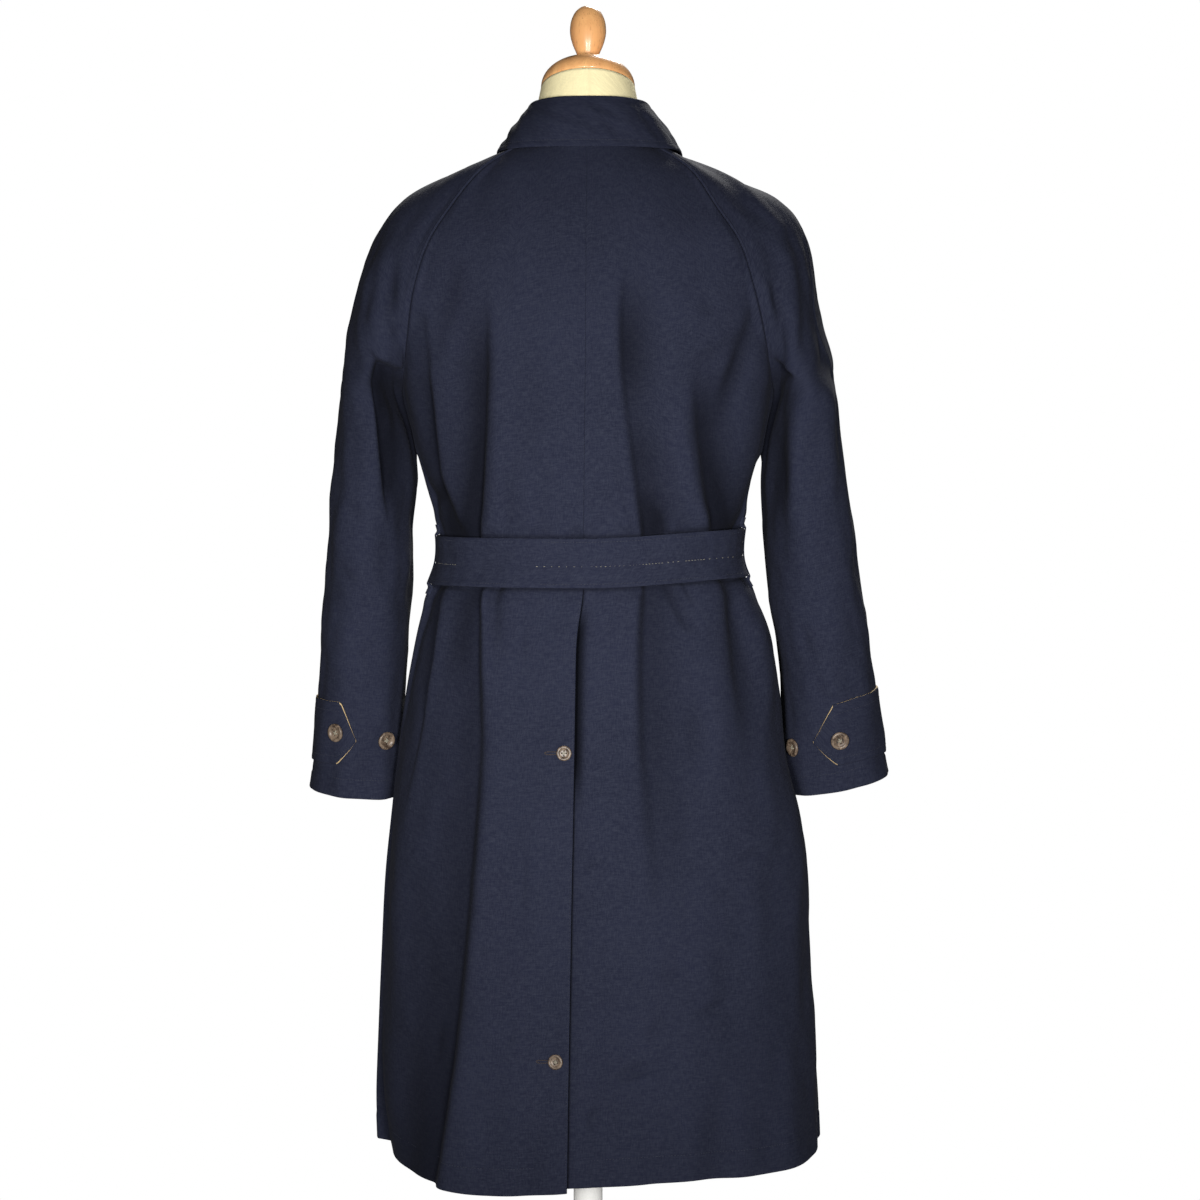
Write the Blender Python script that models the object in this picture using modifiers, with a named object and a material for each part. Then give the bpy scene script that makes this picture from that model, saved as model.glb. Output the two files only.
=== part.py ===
"""Belted raglan mackintosh on a limbless dress form.

Blender 4.5, metres, +Z up. The wearer faces -Y, and the wearer's left is +X.
The origin is the centre of the stand's foot, on the floor.

The coat's outer face is made of eight quarters: back and front, left and right, of the body and of
the sleeves. A row across a quarter is one cubic curve, from the quarter's first seam to its second,
with a handle at each end. The rows follow short tables of sizes, from the hem or cuff up to the
neckline. The wall is measured along the curved face's own normal, so a seam's gap stays even.
"""

import math

import bmesh
import bpy
from mathutils import Matrix, Vector

# ---------------------------------------------------------------- driving sizes

WALL = 0.0015             # bonded cotton, two plies
SEAM_GAP = 0.0003         # between the edges of two cut pieces
LAP_GAP = 0.0005          # between a lapped edge and what it covers
REST_GAP = 0.0010         # between the coat's inside and the form's shoulders

LEFT, RIGHT = 1, -1       # the wearer's sides, as the sign of X
BACK, FRONT = 1, -1       # as the sign of Y

FULLNESS = 0.60           # length of a body row's handles, as a share of its half-width or depth
TUBE_HANDLE = 4 / 3       # a half-round row's handles, as a multiple of its depth

BODY_COLUMNS = (0, 0.035, 0.07, 0.16, 0.27, 0.38, 0.50, 0.62, 0.75, 0.88, 1)
SLEEVE_COLUMNS = tuple(step / 8 for step in range(9))
FRONT_LAP = (0.065, 0.035)      # where the front's lapped columns lie on the other side's rows
VENT_LAP = (0.12, 0.06)         # and the vent's
VENT_TOP_ROW = 9                # the body row where the vent opens, just under the belt
VENT_LAP_ROW = 8                # the underlap's first full row
VENT_DIP = (0.01, 0.07)         # shares of a row to which the underlapped vent is let in and back out
FRONT_DIP = (0.08, 0.16)        # and the underlapped front
CENTRE_HANDLE = 0.5             # length of a yoke row's handle at the centre line, as a share of its run
MERGE = 0.00005                 # points of a turned solid this close on its axis are one

# Body, hem to armpit: the row's height, its half-widths on the wearer's left and right, its depths,
# and where the back's centre line lies.
BODY = (
    # height, left, right, back, front, centre_x
    (0.445, 0.2195, 0.2410, 0.160, 0.164, 0.0200),
    (0.505, 0.2205, 0.2390, 0.158, 0.161, 0.0192),
    (0.570, 0.2180, 0.2345, 0.154, 0.157, 0.0182),
    (0.650, 0.2145, 0.2295, 0.150, 0.152, 0.0168),
    (0.730, 0.2105, 0.2265, 0.146, 0.147, 0.0155),
    (0.790, 0.2045, 0.2205, 0.141, 0.142, 0.0143),
    (0.855, 0.1970, 0.2050, 0.136, 0.137, 0.0132),
    (0.920, 0.1885, 0.1985, 0.129, 0.131, 0.0122),
    (0.980, 0.1775, 0.1862, 0.120, 0.122, 0.0108),
    (1.024, 0.1655, 0.1705, 0.112, 0.1092, 0.0050),
    (1.058, 0.1545, 0.1580, 0.108, 0.1090, 0.0040),
    (1.095, 0.1560, 0.1600, 0.109, 0.1092, 0.0040),
    (1.135, 0.1675, 0.1675, 0.115, 0.1160, 0.0035),
    (1.180, 0.1785, 0.1795, 0.122, 0.1240, 0.0030),
    (1.225, 0.1895, 0.1895, 0.128, 0.131, 0.0025),
)
WAIST_MIDDLE = 10               # the row behind the belt
# The hem's heights: at each quarter's first seam, its two handles and its side seam.
HEM = {
    (LEFT, BACK): (0.4365, 0.423, 0.435, 0.456),
    (RIGHT, BACK): (0.4405, 0.451, 0.432, 0.459),
    (LEFT, FRONT): (0.4460, 0.444, 0.442, 0.456),
    (RIGHT, FRONT): (0.4460, 0.446, 0.442, 0.459),
}

# Yoke, from just above the armpit to the neckline: one row of each table for each level.
CENTRES = (
    # back_y, back_z, front_y, front_z, centre_x
    (0.1300, 1.270, -0.1300, 1.248, 0.0020),
    (0.1305, 1.310, -0.1280, 1.272, 0.0020),
    (0.1270, 1.350, -0.1240, 1.298, 0.0015),
    (0.1190, 1.388, -0.1180, 1.325, 0.0015),
    (0.1080, 1.420, -0.1100, 1.355, 0.0010),
    (0.0930, 1.448, -0.1000, 1.385, 0.0010),
    (0.0770, 1.472, -0.0880, 1.410, 0.0010),
    (0.0660, 1.489, -0.0780, 1.432, 0.0005),
)
# The raglan seams. Turns are the angles, from the X axis, of the body's and the sleeve's rows where
# they meet the seam; reaches are the lengths of their handles there.
BACK_SEAM = (
    # left_x, right_x, y, z, body_turn, body_reach, sleeve_turn, sleeve_reach
    (0.1880, 0.1870, 0.040, 1.247, 80, 0.062, 78, 0.062),
    (0.1820, 0.1790, 0.073, 1.285, 52, 0.050, 44, 0.040),
    (0.1745, 0.1675, 0.091, 1.332, 20, 0.050, -4, 0.030),
    (0.1600, 0.1530, 0.090, 1.378, 17, 0.048, -17, 0.030),
    (0.1370, 0.1290, 0.080, 1.416, 21, 0.040, -21, 0.030),
    (0.1120, 0.1080, 0.067, 1.449, 28, 0.034, -28, 0.024),
    (0.0890, 0.0860, 0.054, 1.468, 36, 0.026, -38, 0.016),
    (0.0580, 0.0580, 0.040, 1.4855, 48, 0.019, -52, 0.012),
)
FRONT_SEAM = (
    (0.1860, 0.1860, -0.042, 1.247, 80, 0.062, 78, 0.062),
    (0.1760, 0.1760, -0.076, 1.283, 52, 0.050, 42, 0.042),
    (0.1620, 0.1620, -0.095, 1.320, 20, 0.050, -4, 0.036),
    (0.1430, 0.1430, -0.097, 1.358, 16, 0.045, -16, 0.034),
    (0.1220, 0.1220, -0.089, 1.392, 20, 0.038, -20, 0.034),
    (0.1000, 0.1000, -0.079, 1.420, 25, 0.032, -26, 0.030),
    (0.0780, 0.0780, -0.067, 1.440, 33, 0.025, -36, 0.022),
    (0.0520, 0.0520, -0.054, 1.452, 42, 0.019, -50, 0.016),
)
# The overarm seam, with the handles of the sleeve's two halves. On the wearer's right it swings
# back over the shoulder's end, and the rows cross it at an angle.
OVERARM = (
    # z, left_x, right_x, left_y, right_y, right_turn, reach
    (1.2620, 0.2510, 0.2480, -0.006, 0.016, 15, 0.092),
    (1.3030, 0.2457, 0.2320, -0.008, 0.032, 20, 0.070),
    (1.3500, 0.2345, 0.2272, -0.008, 0.030, 17, 0.056),
    (1.3980, 0.2138, 0.2200, -0.007, 0.010, 8, 0.050),
    (1.4265, 0.1906, 0.1970, -0.006, -0.004, 0, 0.042),
    (1.4485, 0.1519, 0.1510, -0.005, -0.005, 0, 0.035),
    (1.4665, 0.1074, 0.1090, -0.004, -0.004, 0, 0.028),
    (1.4810, 0.0700, 0.0700, -0.004, -0.004, 0, 0.018),
)

# Sleeves, cuff to armpit: the underarm seam's and the overarm seam's places, and the tube's depth.
CUFF_DROOP = 0.0055             # how much lower the cuff's handles are at the back
SLEEVE = {
    LEFT: (
        # inner_x, inner_z, outer_x, outer_z, middle_y, depth
        (0.1960, 0.8100, 0.2919, 0.8175, -0.050, 0.0560),
        (0.1935, 0.8340, 0.2882, 0.8400, -0.048, 0.0570),
        (0.1915, 0.9150, 0.2821, 0.9200, -0.040, 0.0620),
        (0.1885, 0.9730, 0.2780, 0.9750, -0.034, 0.0660),
        (0.1834, 1.0290, 0.2742, 1.0300, -0.027, 0.0690),
        (0.1825, 1.0850, 0.2692, 1.0850, -0.020, 0.0720),
        (0.1768, 1.1400, 0.2642, 1.1400, -0.012, 0.0750),
        (0.1818, 1.1900, 0.2584, 1.1900, -0.005, 0.0775),
        (0.1903, 1.2250, 0.2545, 1.2280, 0.000, 0.0780),
    ),
    RIGHT: (
        (0.2095, 0.8110, 0.3157, 0.8323, -0.050, 0.0560),
        (0.2060, 0.8340, 0.3110, 0.8540, -0.048, 0.0570),
        (0.2025, 0.9150, 0.2988, 0.9320, -0.040, 0.0620),
        (0.1963, 0.9730, 0.2925, 0.9790, -0.034, 0.0660),
        (0.1870, 1.0290, 0.2840, 1.0320, -0.027, 0.0690),
        (0.1818, 1.0850, 0.2758, 1.0850, -0.020, 0.0720),
        (0.1788, 1.1400, 0.2678, 1.1400, -0.012, 0.0750),
        (0.1830, 1.1900, 0.2604, 1.1900, -0.005, 0.0775),
        (0.1903, 1.2250, 0.2557, 1.2280, 0.004, 0.0780),
    ),
}

# The largest folds, as paths down the cloth: a ridge stands out where depth is positive, a trough
# is let in where it is negative. A step also drops away on one side: it rises over its spread, and
# dies out over its tail, towards +X where tail is positive.
FOLDS = (
    # face, top_x, top_z, middle_x, middle_z, low_x, low_z, depth, spread, tail
    (BACK, 0.106, 0.990, 0.116, 0.770, 0.155, 0.445, -0.011, 0.010, 0.070),
    (BACK, 0.142, 0.990, 0.158, 0.920, 0.178, 0.790, -0.006, 0.008, 0.040),
    (BACK, -0.050, 0.990, -0.052, 0.860, -0.066, 0.660, -0.007, 0.010, -0.050),
    (BACK, -0.112, 0.990, -0.138, 0.900, -0.170, 0.640, -0.007, 0.018, 0.0),
    (BACK, 0.094, 1.330, 0.099, 1.210, 0.105, 1.128, -0.006, 0.009, 0.040),
    (BACK, -0.033, 1.340, -0.034, 1.210, -0.048, 1.128, -0.008, 0.020, 0.0),
    (BACK, -0.102, 1.260, -0.106, 1.180, -0.122, 1.128, -0.008, 0.010, -0.040),
    (FRONT, 0.100, 0.990, 0.112, 0.780, 0.150, 0.445, -0.010, 0.012, 0.060),
    (FRONT, -0.085, 0.990, -0.098, 0.800, -0.128, 0.445, -0.010, 0.014, -0.060),
    (FRONT, 0.092, 1.280, 0.094, 1.200, 0.098, 1.128, -0.006, 0.012, 0.040),
    (FRONT, -0.080, 1.270, -0.084, 1.190, -0.092, 1.128, -0.006, 0.014, -0.040),
)
FOLD_FADE = 0.030         # length over which a fold dies out at its ends
SEAM_STILL = 0.12         # share of a row, next to its outer seam, over which folds die out
FOLD_OVAL = (0.20, 0.14)  # half-axes of the oval whose normal the folds follow

# ---------------------------------------------------------------- rows of a quarter


def seam_handle(side, face, turn, reach, outward):
    """Handle of a row at a raglan seam: outward along the sleeve, or inward along the body."""
    angle = math.radians(turn)
    across = side * math.cos(angle) * (1 if outward else -1)
    return Vector((across, face * math.sin(angle), 0)) * reach


def body_rows(side, face):
    """Rows of a body quarter, hem to neckline: first seam, its handle, second handle, second seam."""
    rows = []
    for height, left, right, back, front, centre_x in BODY:
        width = left if side == LEFT else right
        depth = back if face == BACK else front
        middle = centre_x if face == BACK else 0
        first = Vector((middle, face * depth, height))
        second = Vector((side * width, 0, height))
        run = side * width - middle
        rows.append((first, first + Vector((run * FULLNESS, 0, 0)),
                     second + Vector((0, face * depth * FULLNESS, 0)), second))
    for spot, height in zip(rows[0], HEM[side, face]):
        spot.z = height
    seam = BACK_SEAM if face == BACK else FRONT_SEAM
    for (back_y, back_z, front_y, front_z, centre_x), row in zip(CENTRES, seam):
        left_x, right_x, seam_y, seam_z, turn, reach = row[:6]
        middle = centre_x if face == BACK else 0
        first = Vector((middle, back_y, back_z) if face == BACK else (middle, front_y, front_z))
        second = Vector((side * (left_x if side == LEFT else right_x), seam_y, seam_z))
        rows.append((first, first + Vector(((second.x - middle) * CENTRE_HANDLE, 0, 0)),
                     second + seam_handle(side, face, turn, reach, False), second))
    return rows


def sleeve_rows(side, face):
    """Rows of a sleeve half, cuff to neckline, from the underarm or raglan seam to the overarm."""
    rows = []
    for inner_x, inner_z, outer_x, outer_z, middle_y, depth in SLEEVE[side]:
        first = Vector((side * inner_x, middle_y, inner_z))
        second = Vector((side * outer_x, middle_y, outer_z))
        bulge = Vector((0, face * depth * TUBE_HANDLE, 0))
        if not rows and face == BACK:
            bulge.z -= CUFF_DROOP
        rows.append((first, first + bulge, second + bulge, second))
    seam = BACK_SEAM if face == BACK else FRONT_SEAM
    for row, over in zip(seam, OVERARM):
        left_x, right_x, seam_y, seam_z, _, _, turn, reach = row
        over_z, left_over, right_over, left_y, right_y, over_turn, over_reach = over
        first = Vector((side * (left_x if side == LEFT else right_x), seam_y, seam_z))
        over_x, over_y = (left_over, left_y) if side == LEFT else (right_over, right_y)
        second = Vector((side * over_x, over_y, over_z))
        slant = math.radians(over_turn if side == RIGHT else 0)
        length = over_reach - face * over_y
        across = -face * side * math.sin(slant)
        bulge = Vector((across, face * math.cos(slant), 0)) * length
        rows.append((first, first + seam_handle(side, face, turn, reach, True),
                     second + bulge, second))
    return rows


def smooth_row(rows, place):
    """The row at a fractional place, on a smooth curve through the given rows."""
    low = min(max(int(place), 0), len(rows) - 2)
    step = place - low
    before, here, after, beyond = (rows[min(max(low + k, 0), len(rows) - 1)] for k in (-1, 0, 1, 2))
    return [0.5 * (2 * b + (c - a) * step + (2 * a - 5 * b + 4 * c - d) * step ** 2
                   + (3 * b - a - 3 * c + d) * step ** 3)
            for a, b, c, d in zip(before, here, after, beyond)]


def cubic(row, along):
    """Point of a row, from 0 at its first seam to 1 at its second."""
    first, first_handle, second_handle, second = row
    rest = 1 - along
    return (first * rest ** 3 + first_handle * (3 * along * rest ** 2)
            + second_handle * (3 * along ** 2 * rest) + second * along ** 3)


# ---------------------------------------------------------------- folds


def through_three(place, low, middle, high):
    """Value at a place on the parabola through three (place, value) pairs."""
    (a, fa), (b, fb), (c, fc) = low, middle, high
    return (fa * (place - b) * (place - c) / ((a - b) * (a - c))
            + fb * (place - a) * (place - c) / ((b - a) * (b - c))
            + fc * (place - a) * (place - b) / ((c - a) * (c - b)))


def fade(distance, length):
    """0 to 1 smoothly as the distance goes from 0 to the length."""
    share = min(max(distance / length, 0), 1)
    return share * share * (3 - 2 * share)


def fold_depth(point, face):
    """How far the folds move the body's cloth out at a point."""
    total = 0
    for fold_face, top_x, top_z, mid_x, mid_z, low_x, low_z, depth, spread, tail in FOLDS:
        if fold_face != face or not low_z - FOLD_FADE < point.z < top_z + FOLD_FADE:
            continue
        path_x = through_three(point.z, (low_z, low_x), (mid_z, mid_x), (top_z, top_x))
        across = point.x - path_x
        ends = fade(top_z + FOLD_FADE - point.z, FOLD_FADE)
        if low_z > BODY[0][0] + FOLD_FADE:
            ends *= fade(point.z - low_z + FOLD_FADE, FOLD_FADE)
        if tail:
            across *= math.copysign(1, tail)
            shape = fade(across + spread, spread) * (1 - fade(across, abs(tail)))
        else:
            shape = math.exp(-(across / spread) ** 2)
        total += depth * shape * ends
    return total


# ---------------------------------------------------------------- cloth quarters


class Quarter:
    """One quarter of the coat's outer face."""

    def __init__(self, rows, side, face, folded):
        self.rows, self.side, self.face, self.folded = rows, side, face, folded

    def point(self, place, along):
        """Point of the outer face at a row's place and at a share of the way along the row."""
        spot = cubic(smooth_row(self.rows, place), along)
        if self.folded:
            depth = fold_depth(spot, self.face) * fade(1 - along, SEAM_STILL)
            half_x, half_y = FOLD_OVAL
            spot += Vector((spot.x / half_x ** 2, spot.y / half_y ** 2, 0)).normalized() * depth
        return spot

    def normal(self, place, along):
        """Outward unit normal there."""
        step = 0.002
        low, high = max(place - step, 0), min(place + step, len(self.rows) - 1)
        near, far = max(along - step, 0), min(along + step, 1)
        up = self.point(high, along) - self.point(low, along)
        across = self.point(place, far) - self.point(place, near)
        return (up.cross(across) * self.side * self.face).normalized()

    def spot(self, place, along, lift=0.0):
        """Point and normal there, with the point moved out by the lift."""
        normal = self.normal(place, along)
        return self.point(place, along) + normal * lift, normal


def seam_side(quarter, place, columns, end):
    """Unit vector from a seam point into a quarter's cloth. End is 0 or 1, the row's seam."""
    beside = columns[1] if end == 0 else columns[-2]
    return (quarter.point(place, beside) - quarter.point(place, end)).normalized()


def neighbour_side(quarter, place, end):
    """Unit vector from a seam point into the cloth on the seam's other side."""
    side, face = quarter.side, quarter.face
    if quarter.folded and end == 0:
        return seam_side(BODY_QUARTERS[-side, face], place, BODY_COLUMNS, 0)
    if quarter.folded and place >= len(BODY):
        beside = place - len(BODY) + len(SLEEVE[side])
        return seam_side(SLEEVE_QUARTERS[side, face], beside, SLEEVE_COLUMNS, 0)
    if quarter.folded:
        return seam_side(BODY_QUARTERS[side, -face], place, BODY_COLUMNS, 1)
    if end == 0 and place >= len(SLEEVE[side]):
        beside = place - len(SLEEVE[side]) + len(BODY)
        return seam_side(BODY_QUARTERS[side, face], beside, BODY_COLUMNS, 1)
    return seam_side(SLEEVE_QUARTERS[side, -face], place, SLEEVE_COLUMNS, end)


def seam_shift(quarter, place, columns, end):
    """How far a seam point is drawn back, so that the two cut edges lie a seam's gap apart."""
    own = seam_side(quarter, place, columns, end)
    return (own - neighbour_side(quarter, place, end)).normalized() * SEAM_GAP / 2


def shell_object(name, outer, inner, material, cells=None, closed=False):
    """Closed shell between two grids of points. Cells names the grid squares that are there."""
    rows, columns = len(outer), len(outer[0])
    across = columns if closed else columns - 1
    cells = cells or {(row, column) for row in range(rows - 1) for column in range(across)}
    mesh = bmesh.new()
    corner = {}

    def vertex(skin, row, column):
        key = (skin, row, column % columns)
        if key not in corner:
            corner[key] = mesh.verts.new((outer, inner)[skin][row][column % columns])
        return corner[key]

    edges = {}
    for row, column in sorted(cells):
        loop = [(row, column), (row, column + 1), (row + 1, column + 1), (row + 1, column)]
        loop = [(r, c % columns) for r, c in loop]
        mesh.faces.new([vertex(0, *spot) for spot in loop])
        mesh.faces.new([vertex(1, *spot) for spot in reversed(loop)])
        for start, end in zip(loop, loop[1:] + loop[:1]):
            if (end, start) in edges:
                del edges[(end, start)]
            else:
                edges[(start, end)] = True
    for start, end in edges:
        mesh.faces.new([vertex(0, *end), vertex(0, *start), vertex(1, *start), vertex(1, *end)])
    bmesh.ops.recalc_face_normals(mesh, faces=mesh.faces)
    return mesh_object(name, mesh, material)


def mesh_object(name, mesh, material):
    """Object of the coat's collection made from a bmesh."""
    data = bpy.data.meshes.new(name)
    mesh.to_mesh(data)
    mesh.free()
    data.materials.append(material)
    piece = bpy.data.objects.new(name, data)
    COLLECTION.objects.link(piece)
    return piece


def turned(name, profile, sides, material):
    """Solid turned about its own Z axis, from an outline that runs down its outer side."""
    mesh = bpy.data.meshes.new(name)
    mesh.from_pydata([(radius, 0, height) for radius, height in profile],
                     [(i, i + 1) for i in range(len(profile) - 1)], [])
    mesh.materials.append(material)
    piece = bpy.data.objects.new(name, mesh)
    COLLECTION.objects.link(piece)
    turn = piece.modifiers.new("turn", "SCREW")
    turn.steps = turn.render_steps = sides
    turn.use_merge_vertices = True
    turn.merge_threshold = MERGE
    return piece


def panel_grids(quarter, columns, samples, first_seam=True):
    """Outer and inner grids from rows of (point, normal), with their seam edges drawn back."""
    outer = [[spot.copy() for spot, _ in row] for row in samples]
    for place, line in enumerate(outer):
        line[-1] += seam_shift(quarter, place, columns, 1)
        if first_seam:
            line[0] += seam_shift(quarter, place, columns, 0)
    outer[-1] = [high + (low - high).normalized() * SEAM_GAP
                 for high, low in zip(outer[-1], outer[-2])]
    inner = [[spot - normal * WALL for spot, (_, normal) in zip(line, row)]
             for line, row in zip(outer, samples)]
    return outer, inner


def dip(distance, flat, ramp):
    """How far an underlapped piece is let in, full up to flat and gone at ramp."""
    return (WALL + LAP_GAP) * (1 - fade(distance - flat, ramp - flat))


def let_in(sample, depth):
    spot, normal = sample
    return spot - normal * depth, normal


# ---------------------------------------------------------------- scene and materials

for old in list(bpy.data.objects):
    bpy.data.objects.remove(old)
COLLECTION = bpy.data.collections.new("mackintosh_on_dress_form")
bpy.context.scene.collection.children.link(COLLECTION)


def make_material(name, colour, roughness, metallic=0.0):
    """Plain material of one colour."""
    material = bpy.data.materials.new(name)
    material.use_nodes = True
    shader = material.node_tree.nodes["Principled BSDF"]
    shader.inputs["Base Color"].default_value = (*colour, 1)
    shader.inputs["Roughness"].default_value = roughness
    shader.inputs["Metallic"].default_value = metallic
    return material


NAVY = make_material("navy_bonded_cotton", (0.030, 0.035, 0.066), 0.85)
CALICO = make_material("cream_calico", (0.92, 0.84, 0.58), 0.9)
HONEY_WOOD = make_material("honey_beech", (0.68, 0.34, 0.11), 0.3)
HORN = make_material("brown_horn", (0.22, 0.15, 0.10), 0.35)
IRON = make_material("white_painted_iron", (0.80, 0.80, 0.78), 0.5)

# ---------------------------------------------------------------- body panels

BODY_QUARTERS = {(side, face): Quarter(body_rows(side, face), side, face, True)
                 for side in (LEFT, RIGHT) for face in (BACK, FRONT)}
SLEEVE_QUARTERS = {(side, face): Quarter(sleeve_rows(side, face), side, face, False)
                   for side in (LEFT, RIGHT) for face in (BACK, FRONT)}
BODY_PLACES = range(len(BODY) + len(CENTRES))
NECK_ROW = len(BODY) + len(CENTRES) - 1
SLEEVE_PLACES = range(len(SLEEVE[LEFT]) + len(OVERARM))
SLEEVE_NECK_ROW = len(SLEEVE[LEFT]) + len(OVERARM) - 1


def build_back_left():
    """The left back laps over the vent, up to its own centre line."""
    quarter = BODY_QUARTERS[LEFT, BACK]
    samples = [[quarter.spot(place, along) for along in BODY_COLUMNS] for place in BODY_PLACES]
    outer, inner = panel_grids(quarter, BODY_COLUMNS, samples)
    return shell_object("back_left", outer, inner, NAVY)


def build_back_right():
    """The right back carries the vent's underlap, which lies under the left back."""
    quarter, over = BODY_QUARTERS[RIGHT, BACK], BODY_QUARTERS[LEFT, BACK]
    samples = []
    for place in BODY_PLACES:
        row = [quarter.spot(place, along) for along in BODY_COLUMNS]
        if place < VENT_TOP_ROW:
            row = [let_in(sample, dip(along, *VENT_DIP)) for sample, along in zip(row, BODY_COLUMNS)]
        lap = [let_in(over.spot(place, along), WALL + LAP_GAP) for along in VENT_LAP]
        samples.append(lap + row)
    laps = len(VENT_LAP)
    outer, inner = panel_grids(quarter, BODY_COLUMNS, samples, False)
    for place in BODY_PLACES[VENT_LAP_ROW + 1:]:
        shift = seam_shift(quarter, place, BODY_COLUMNS, 0)
        outer[place][laps] += shift
        inner[place][laps] += shift
    cells = {(row, column) for row in BODY_PLACES[:-1] for column in range(len(samples[0]) - 1)
             if column >= laps or row < VENT_LAP_ROW}
    return shell_object("back_right", outer, inner, NAVY, cells)


def build_front_left():
    """The left front laps over the right one, past the centre line."""
    quarter, under = BODY_QUARTERS[LEFT, FRONT], BODY_QUARTERS[RIGHT, FRONT]
    samples = [[under.spot(place, along) for along in FRONT_LAP]
               + [quarter.spot(place, along) for along in BODY_COLUMNS] for place in BODY_PLACES]
    outer, inner = panel_grids(quarter, BODY_COLUMNS, samples, False)
    return shell_object("front_left", outer, inner, NAVY)


def build_front_right():
    """The right front runs on under the left one, let in by a wall and a gap."""
    quarter, over = BODY_QUARTERS[RIGHT, FRONT], BODY_QUARTERS[LEFT, FRONT]
    samples = []
    for place in BODY_PLACES:
        lap = [let_in(over.spot(place, along), WALL + LAP_GAP) for along in FRONT_LAP]
        row = [let_in(quarter.spot(place, along), dip(along, *FRONT_DIP)) for along in BODY_COLUMNS]
        samples.append(lap + row)
    outer, inner = panel_grids(quarter, BODY_COLUMNS, samples, False)
    return shell_object("front_right", outer, inner, NAVY)


def build_sleeves():
    """Each sleeve is a back and a front half, from the cuff to the neckline."""
    for (side, face), quarter in SLEEVE_QUARTERS.items():
        samples = [[quarter.spot(place, along) for along in SLEEVE_COLUMNS] for place in SLEEVE_PLACES]
        outer, inner = panel_grids(quarter, SLEEVE_COLUMNS, samples)
        name = f"sleeve_{'back' if face == BACK else 'front'}_{'left' if side == LEFT else 'right'}"
        shell_object(name, outer, inner, NAVY)


# ---------------------------------------------------------------- what lies on a panel

def bracket(values, value):
    """Index of the interval that holds a value, and the share of the way through it."""
    low = max(i for i in range(len(values) - 1) if i == 0 or values[i] <= value)
    return low, (value - values[low]) / (values[low + 1] - values[low])


def facet_spot(quarter, columns, place, along, lift):
    """Point on a panel's flat facets, moved out by a lift."""
    column, across = bracket(columns, along)
    row = min(int(place), len(quarter.rows) - 2)
    up = place - row
    spot, normal = Vector((0, 0, 0)), Vector((0, 0, 0))
    for step_up, weight_up in ((0, 1 - up), (1, up)):
        for step_across, weight_across in ((0, 1 - across), (1, across)):
            corner, corner_normal = quarter.spot(row + step_up, columns[column + step_across])
            spot += corner * weight_up * weight_across
            normal += corner_normal * weight_up * weight_across
    return spot + normal.normalized() * lift


def waist_place(height):
    """Fractional body row at a height between the waist rows."""
    heights = [row[0] for row in BODY]
    low, share = bracket(heights, height)
    return low + share


# ---------------------------------------------------------------- collar

COLLAR_SHIFT = Vector((-0.0015, 0, 0))
FOLD_WIDTH = 0.006        # across the collar's fold, from face to face
STAND_DROP = 0.006        # from the fold's top down to the stand's top edge
# Stations round the neck, from the centre of the back (0) to the centre of the front (1).
COLLAR = (
    # station, fold_x, fold_y, fold_z, leaf_x, leaf_y, leaf_z
    (0.000, 0.0000, 0.0625, 1.5280, 0.0000, 0.0790, 1.4757),
    (0.150, 0.0310, 0.0575, 1.5278, 0.0440, 0.0745, 1.4757),
    (0.276, 0.0515, 0.0380, 1.5265, 0.0790, 0.0550, 1.4757),
    (0.375, 0.0585, 0.0180, 1.5250, 0.0900, 0.0280, 1.4765),
    (0.474, 0.0610, -0.0060, 1.5225, 0.0960, -0.0020, 1.4752),
    (0.560, 0.0590, -0.0260, 1.5155, 0.0975, -0.0270, 1.4660),
    (0.650, 0.0540, -0.0450, 1.5050, 0.0950, -0.0500, 1.4515),
    (0.820, 0.0340, -0.0730, 1.4790, 0.0800, -0.0885, 1.4200),
    (1.000, 0.0040, -0.0870, 1.4555, 0.0500, -0.1060, 1.3850),
)
# The fall's section: share of the way from the fold to the leaf edge, and offsets from that line.
FALL_PROFILE = (
    # share, outward, upward
    (0.0, -0.0030, -0.0060),
    (0.0, -0.0026, -0.0014),
    (0.0, 0.0000, 0.0000),
    (0.0, 0.0028, -0.0020),
    (0.33, 0.0030, 0.0000),
    (0.67, 0.0020, 0.0000),
    (1.0, 0.0000, 0.0000),
)


def neckline():
    """Points round the neck seam, from the front's centre on the right to that on the left."""
    halves = []
    for side in (LEFT, RIGHT):
        back, front = BODY_QUARTERS[side, BACK], BODY_QUARTERS[side, FRONT]
        over, under = SLEEVE_QUARTERS[side, BACK], SLEEVE_QUARTERS[side, FRONT]
        line = [back.point(NECK_ROW, along) for along in BODY_COLUMNS[::2]]
        line += [over.point(SLEEVE_NECK_ROW, along) for along in SLEEVE_COLUMNS[2::2]]
        line += [under.point(SLEEVE_NECK_ROW, along) for along in SLEEVE_COLUMNS[-3::-2]]
        line += [front.point(NECK_ROW, along) for along in BODY_COLUMNS[-3::-2]]
        halves.append(line)
    left_half, right_half = halves
    return right_half[:0:-1] + left_half


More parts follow.
